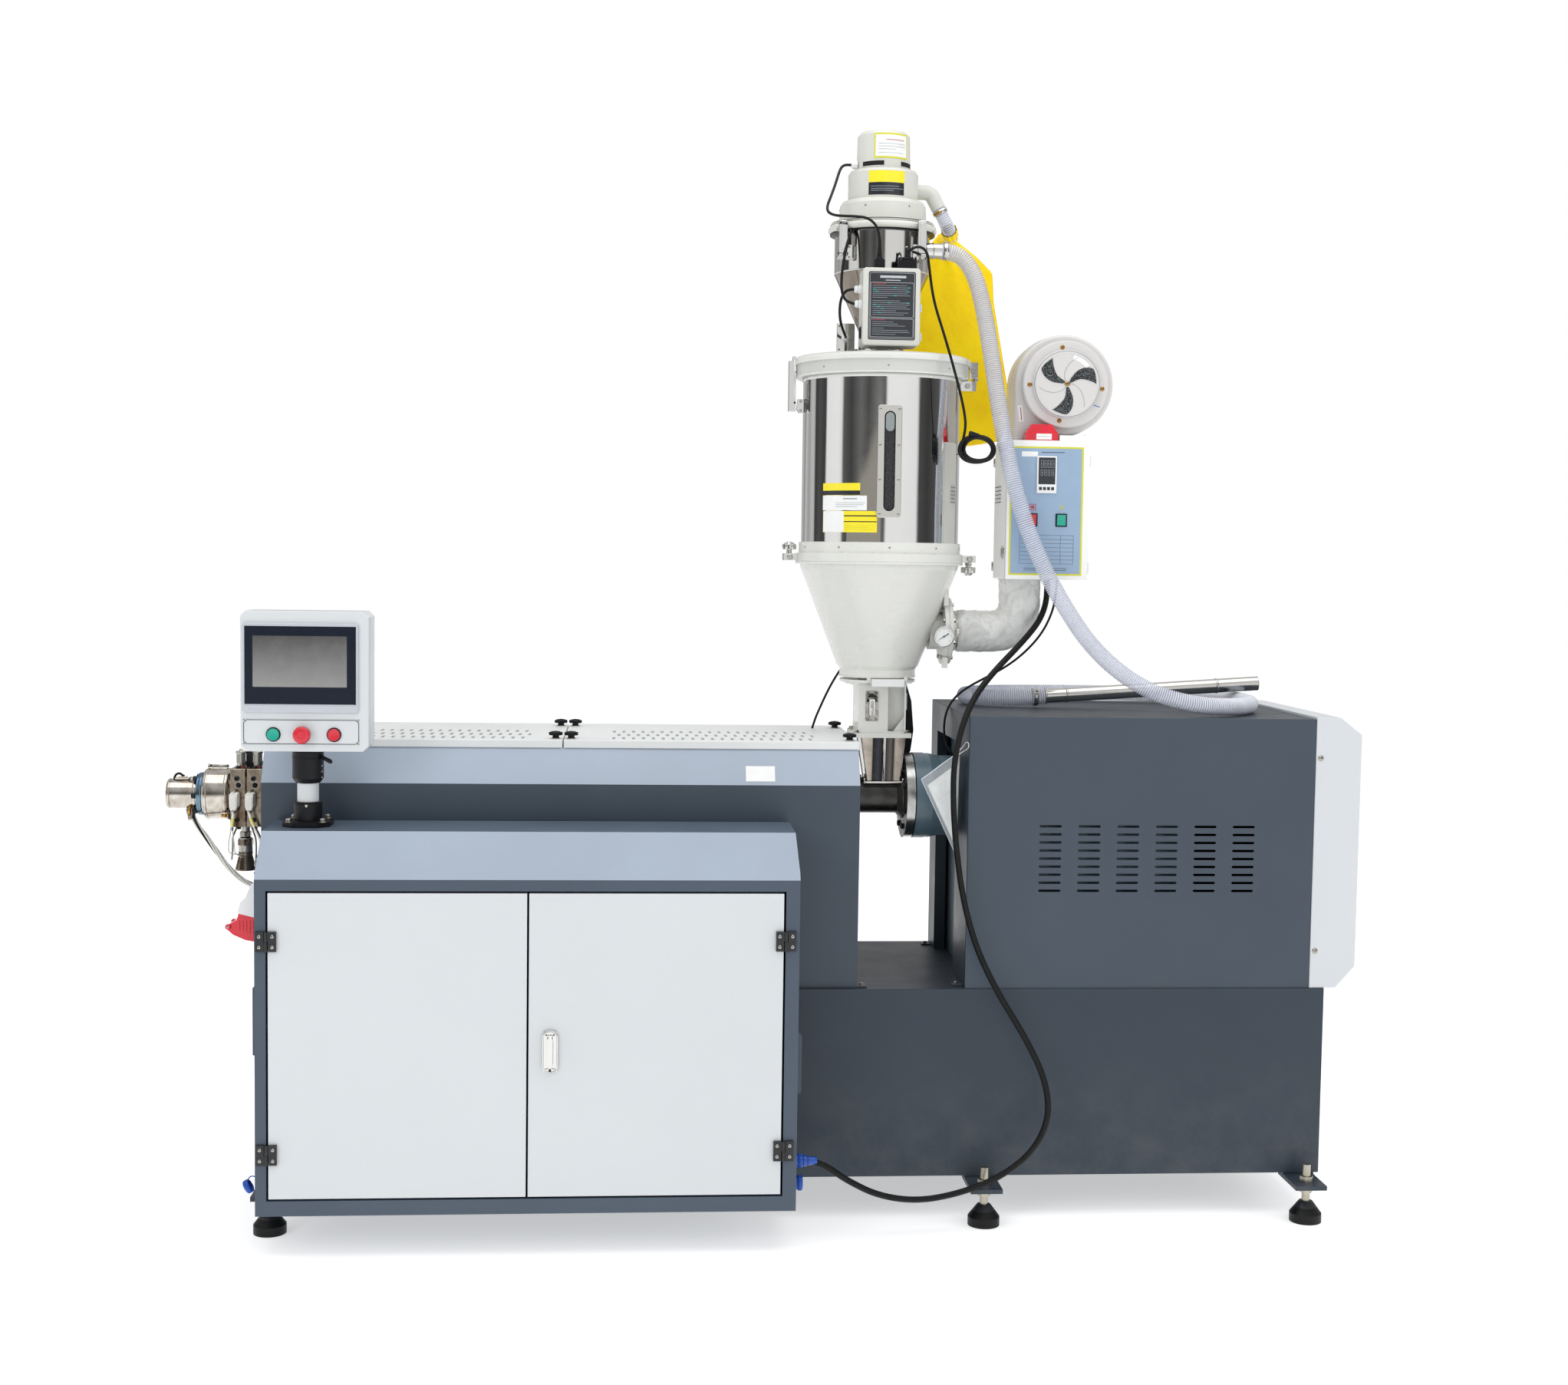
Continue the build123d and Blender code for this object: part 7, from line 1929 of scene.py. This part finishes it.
def pouch_pt(a, b, lift):
    p = A_ + U_ * a + V_ * b
    e = p.x - 1690
    if e > 0:
        R = 12.0
        t_ = min(e / R, math.pi / 2)
        rest = e - R * t_
        p.x = 1690 + R * math.sin(t_)
        p.y = p.y + R * (1 - math.cos(t_)) + rest
    fold = 3.0 * math.sin(a / 17 + b / 60) * math.exp(-b / 120) + 2.2 * mnoise.noise(Vector((a / 26, b / 44, 1.7)))
    return p + Vector((-0.05, -1, 0.05)) * (lift + fold)


nu, nv = 34, 44
v, f = [], []
for j in range(nv + 1):
    for i in range(nu + 1):
        v.append(pouch_pt(PWD * i / nu, PLN * j / nv, 1.2))
f = [(j * (nu + 1) + i, j * (nu + 1) + i + 1, (j + 1) * (nu + 1) + i + 1, (j + 1) * (nu + 1) + i) for j in range(nv) for i in range(nu)]
k.add(v, f, M["pouch"], True)
pouch = k.make("document_pouch", "machine")
k = Kit()
v = [pouch_pt(8 + (PWD - 18) * i / nu, 22 + (PLN - 30) * j / nv, -0.4) for j in range(nv + 1) for i in range(nu + 1)]
k.add(v, f, M["label_white"], True)
for n_ in range(9):
    b = 70 + n_ * 12
    k.tube([pouch_pt(20, b, 0.1), pouch_pt(45, b, 0.1), pouch_pt(70 if n_ % 3 else 55, b, 0.1)], 0.5, M["label_line"], seg=4)
sheet_in = k.make("pouch_insert", "machine")
k = Kit()
rim = [pouch_pt(0, PLN * j / 20, 1.3) for j in range(21)]
k.tube(rim, 0.9, M["clear_rib"], seg=6)
rim = [pouch_pt(PWD * i / 20, 0, 1.3) for i in range(21)]
k.tube(rim, 1.4, M["clear_rib"], seg=6)
tie = pouch_pt(96, 6, 1.5)
k.tube(spline_points([tie, tie + Vector((2, -3, 10)), (1706, tie.y - 8, 1196), (1709, 262, 1208), (1713, 251.5, 1214), (1718, 250.5, 1206),
                      (1716, 252, 1196), (1709, tie.y - 10, 1188), tie + Vector((3, -2, 4))], step=3), 1.0, M["white_plastic"], seg=6)
string = k.make("pouch_string", "machine")

# ------------------------------------------------------------------ wand and hose clamps
k = Kit()
wd = Vector((582, -4, 40.5)).normalized()
c = Vector((1954.3, 604.1, 1303.7))
hd = (Vector((1980, 604, 1305.5)) - Vector((1885.2, 604.7, 1298.9))).normalized()
k.lathe(c, hd, [(-6.2, 22.7), (-5.8, 23.8), (5.8, 23.8), (6.2, 22.7)], M["tube_steel"], 48, caps=False)
k.box(c.x - 7, c.x + 7, 578, 586, c.z + 10, c.z + 20, M["tube_steel"], b=1)
k.cyl((c.x, 572, c.z + 16), (c.x, 590, c.z + 18), 3.4, M["bolt"], 12)
w0 = Vector((1980, 604, 1305.5))
k.lathe(w0, wd, [(0.2, 19.2), (1.0, 21.4), (4.4, 21.4), (5.4, 19.2)], M["tube_steel"], 48)
end_ = Vector((2562, 600, 1346))
k.lathe(end_, wd, [(-1.4, 19.3), (-0.3, 19.7), (0.3, 19.1), (0.3, 17.6), (-1.6, 17.4)], M["tube_steel"], 48)
# dark disc just inside the wand's end: painted shade of its bore
k.lathe(end_, wd, [(0.12, 17.4), (0.13, 0)], M["slot_shade_and_joint_dark"], 32, False)
for s in (60, 470):
    c = w0 + wd * s
    k.lathe(c, wd, [(-3, 19.1), (-2, 20.4), (2, 20.4), (3, 19.1)], M["tube_steel"], 48)
k.make("wand_details", "machine")


# ------------------------------------------------------------------ stage, light and world
def stage_plane(name, size, z, mat):
    me = bpy.data.meshes.new(name)
    s = size / 2
    me.from_pydata([(-s, -s, z), (s, -s, z), (s, s, z), (-s, s, z)], [], [(0, 1, 2, 3)])
    me.materials.append(mat)
    ob = bpy.data.objects.new(name, me)
    bpy.context.scene.collection.objects.link(ob)
    return ob


t = Mat("studio_floor", (0.86, 0.86, 0.86, 1), 0.0, 0.75, Emission_Color=(0.95, 0.955, 0.96, 1), Emission_Strength=0.5)
t.color(t.mix(t.remap(t.noise(0.8, 3), 0.3, 0.7), (0.85, 0.85, 0.855, 1), (0.88, 0.88, 0.88, 1)))
stage_plane("studio_floor", 60, -0.0006, t.m)

world = bpy.data.worlds.new("studio")
bpy.context.scene.world = world
world.use_nodes = True
nt = world.node_tree
nt.nodes.clear()


def wn(kind, **props):
    n = nt.nodes.new(kind)
    for a, b in props.items():
        setattr(n, a, b)
    return n


def wmath(op, a, b=0.0, c=None):
    n = wn("ShaderNodeMath", operation=op)
    for s, v in zip(n.inputs, (a, b, c)):
        if v is None:
            continue
        if isinstance(v, (int, float)):
            s.default_value = v
        else:
            nt.links.new(v, s)
    return n.outputs[0]


def wramp(fac, stops, mode="LINEAR"):
    n = wn("ShaderNodeValToRGB")
    n.color_ramp.interpolation = mode
    while len(n.color_ramp.elements) < len(stops):
        n.color_ramp.elements.new(0.5)
    for e, (p, c) in zip(n.color_ramp.elements, stops):
        e.position = p
        e.color = (c, c, c, 1)
    nt.links.new(fac, n.inputs["Fac"])
    return n.outputs["Color"]


out = wn("ShaderNodeOutputWorld")
tc = wn("ShaderNodeTexCoord")
sep = wn("ShaderNodeSeparateXYZ")
nt.links.new(tc.outputs["Generated"], sep.inputs[0])
dx, dy, dz = sep.outputs
# azimuth 0.5 looks towards the operator's side (-Y), 0.75 towards +X
az = wmath("ADD", wmath("DIVIDE", wmath("ARCTAN2", dx, wmath("MULTIPLY", dy, -1.0)), 2 * math.pi), 0.5)
strips = wramp(az, [(0.0, 0.5), (0.02, 0.3), (0.04, 0.6), (0.07, 0.3), (0.09, 0.62), (0.12, 0.4), (0.15, 0.62), (0.164, 0.5),
                    (0.172, 0.05), (0.20, 0.09), (0.235, 0.05), (0.243, 0.95), (0.30, 1.0), (0.316, 0.9), (0.325, 0.12),
                    (0.36, 0.06), (0.40, 0.16), (0.43, 0.08), (0.47, 0.2), (0.496, 0.14), (0.505, 1.0), (0.57, 1.0),
                    (0.628, 0.95), (0.64, 0.08), (0.68, 0.05), (0.735, 0.1), (0.75, 0.45), (0.79, 0.25), (0.83, 0.6),
                    (0.88, 0.3), (0.93, 0.62), (1.0, 0.5)])
# a lighter wedge low in the dark bay at the left of the camera
rise = wmath("SUBTRACT", wmath("ADD", 0.022, wmath("MULTIPLY", wmath("SUBTRACT", az, 0.345), 0.385)), dz)
low = wn("ShaderNodeMapRange")
low.clamp = True
low.inputs["From Min"].default_value = 0.0
low.inputs["From Max"].default_value = 0.003
nt.links.new(rise, low.inputs["Value"])
bay = wmath("MULTIPLY", wmath("GREATER_THAN", az, 0.343), wmath("LESS_THAN", az, 0.484))
wedge = wn("ShaderNodeMix", data_type="RGBA")
nt.links.new(wmath("MULTIPLY", low.outputs[0], bay), wedge.inputs["Factor"])
nt.links.new(strips, wedge.inputs[6])
wedge.inputs[7].default_value = (0.36, 0.34, 0.30, 1)
strips = wedge.outputs[2]
upness = wramp(wmath("ADD", wmath("MULTIPLY", dz, 0.5), 0.5),
               [(0.0, 0.35), (0.42, 0.5), (0.485, 0.95), (0.6, 1.0), (1.0, 1.0)])
mixn = wn("ShaderNodeMix", data_type="RGBA", blend_type="MULTIPLY")
mixn.inputs["Factor"].default_value = 1.0
# strips fade out towards the zenith and below the horizon
fade = wramp(wmath("ADD", wmath("MULTIPLY", dz, 0.5), 0.5), [(0.0, 0.0), (0.40, 0.3), (0.47, 1.0), (0.58, 1.0), (0.72, 0.35), (0.85, 0.0), (1.0, 0.0)])
one = wn("ShaderNodeMix", data_type="RGBA")
nt.links.new(fade, one.inputs["Factor"])
one.inputs[6].default_value = (0.72, 0.72, 0.72, 1)
nt.links.new(strips, one.inputs[7])
nt.links.new(upness, mixn.inputs[6])
nt.links.new(one.outputs[2], mixn.inputs[7])
env = wn("ShaderNodeBackground")
env.inputs["Strength"].default_value = 0.96
nt.links.new(mixn.outputs[2], env.inputs["Color"])
plain = wn("ShaderNodeBackground")
plain.inputs["Color"].default_value = (1.0, 1.0, 1.0, 1)
plain.inputs["Strength"].default_value = 1.0
lp = wn("ShaderNodeLightPath")
sw = wn("ShaderNodeMixShader")
nt.links.new(lp.outputs["Is Camera Ray"], sw.inputs["Fac"])
nt.links.new(env.outputs[0], sw.inputs[1])
nt.links.new(plain.outputs[0], sw.inputs[2])
nt.links.new(sw.outputs[0], out.inputs["Surface"])


def area(name, at, to, size, power, size_y=None, color=(1, 1, 1)):
    la = bpy.data.lights.new(name, "AREA")
    la.energy = power
    la.size = size
    la.color = color
    if size_y:
        la.shape = "RECTANGLE"
        la.size_y = size_y
    ob = bpy.data.objects.new(name, la)
    ob.location = at
    ob.rotation_euler = (Vector(to) - Vector(at)).to_track_quat("-Z", "Y").to_euler()
    ob.visible_glossy = size_y == 3.5
    bpy.context.scene.collection.objects.link(ob)
    return ob


area("top_softbox", (0.0, -0.8, 5.2), (0, 0, 0.8), 5.5, 98, 3.5, (1.0, 0.995, 0.985))
area("front_left_softbox", (-4.2, -5.0, 3.4), (0, 0, 1.2), 2.6, 84, 2.6, (0.98, 0.99, 1.0))
area("right_softbox", (5.0, -2.2, 2.8), (0.4, 0, 1.2), 2.0, 46, 2.6)
area("back_softbox", (0.5, 5.0, 3.6), (0, 0, 1.2), 3.5, 60, 2.5)

sc = bpy.context.scene
sc.view_settings.view_transform = "Standard"
sc.view_settings.look = "None"
sc.view_settings.exposure = 0.0

bpy.context.view_layer.update()
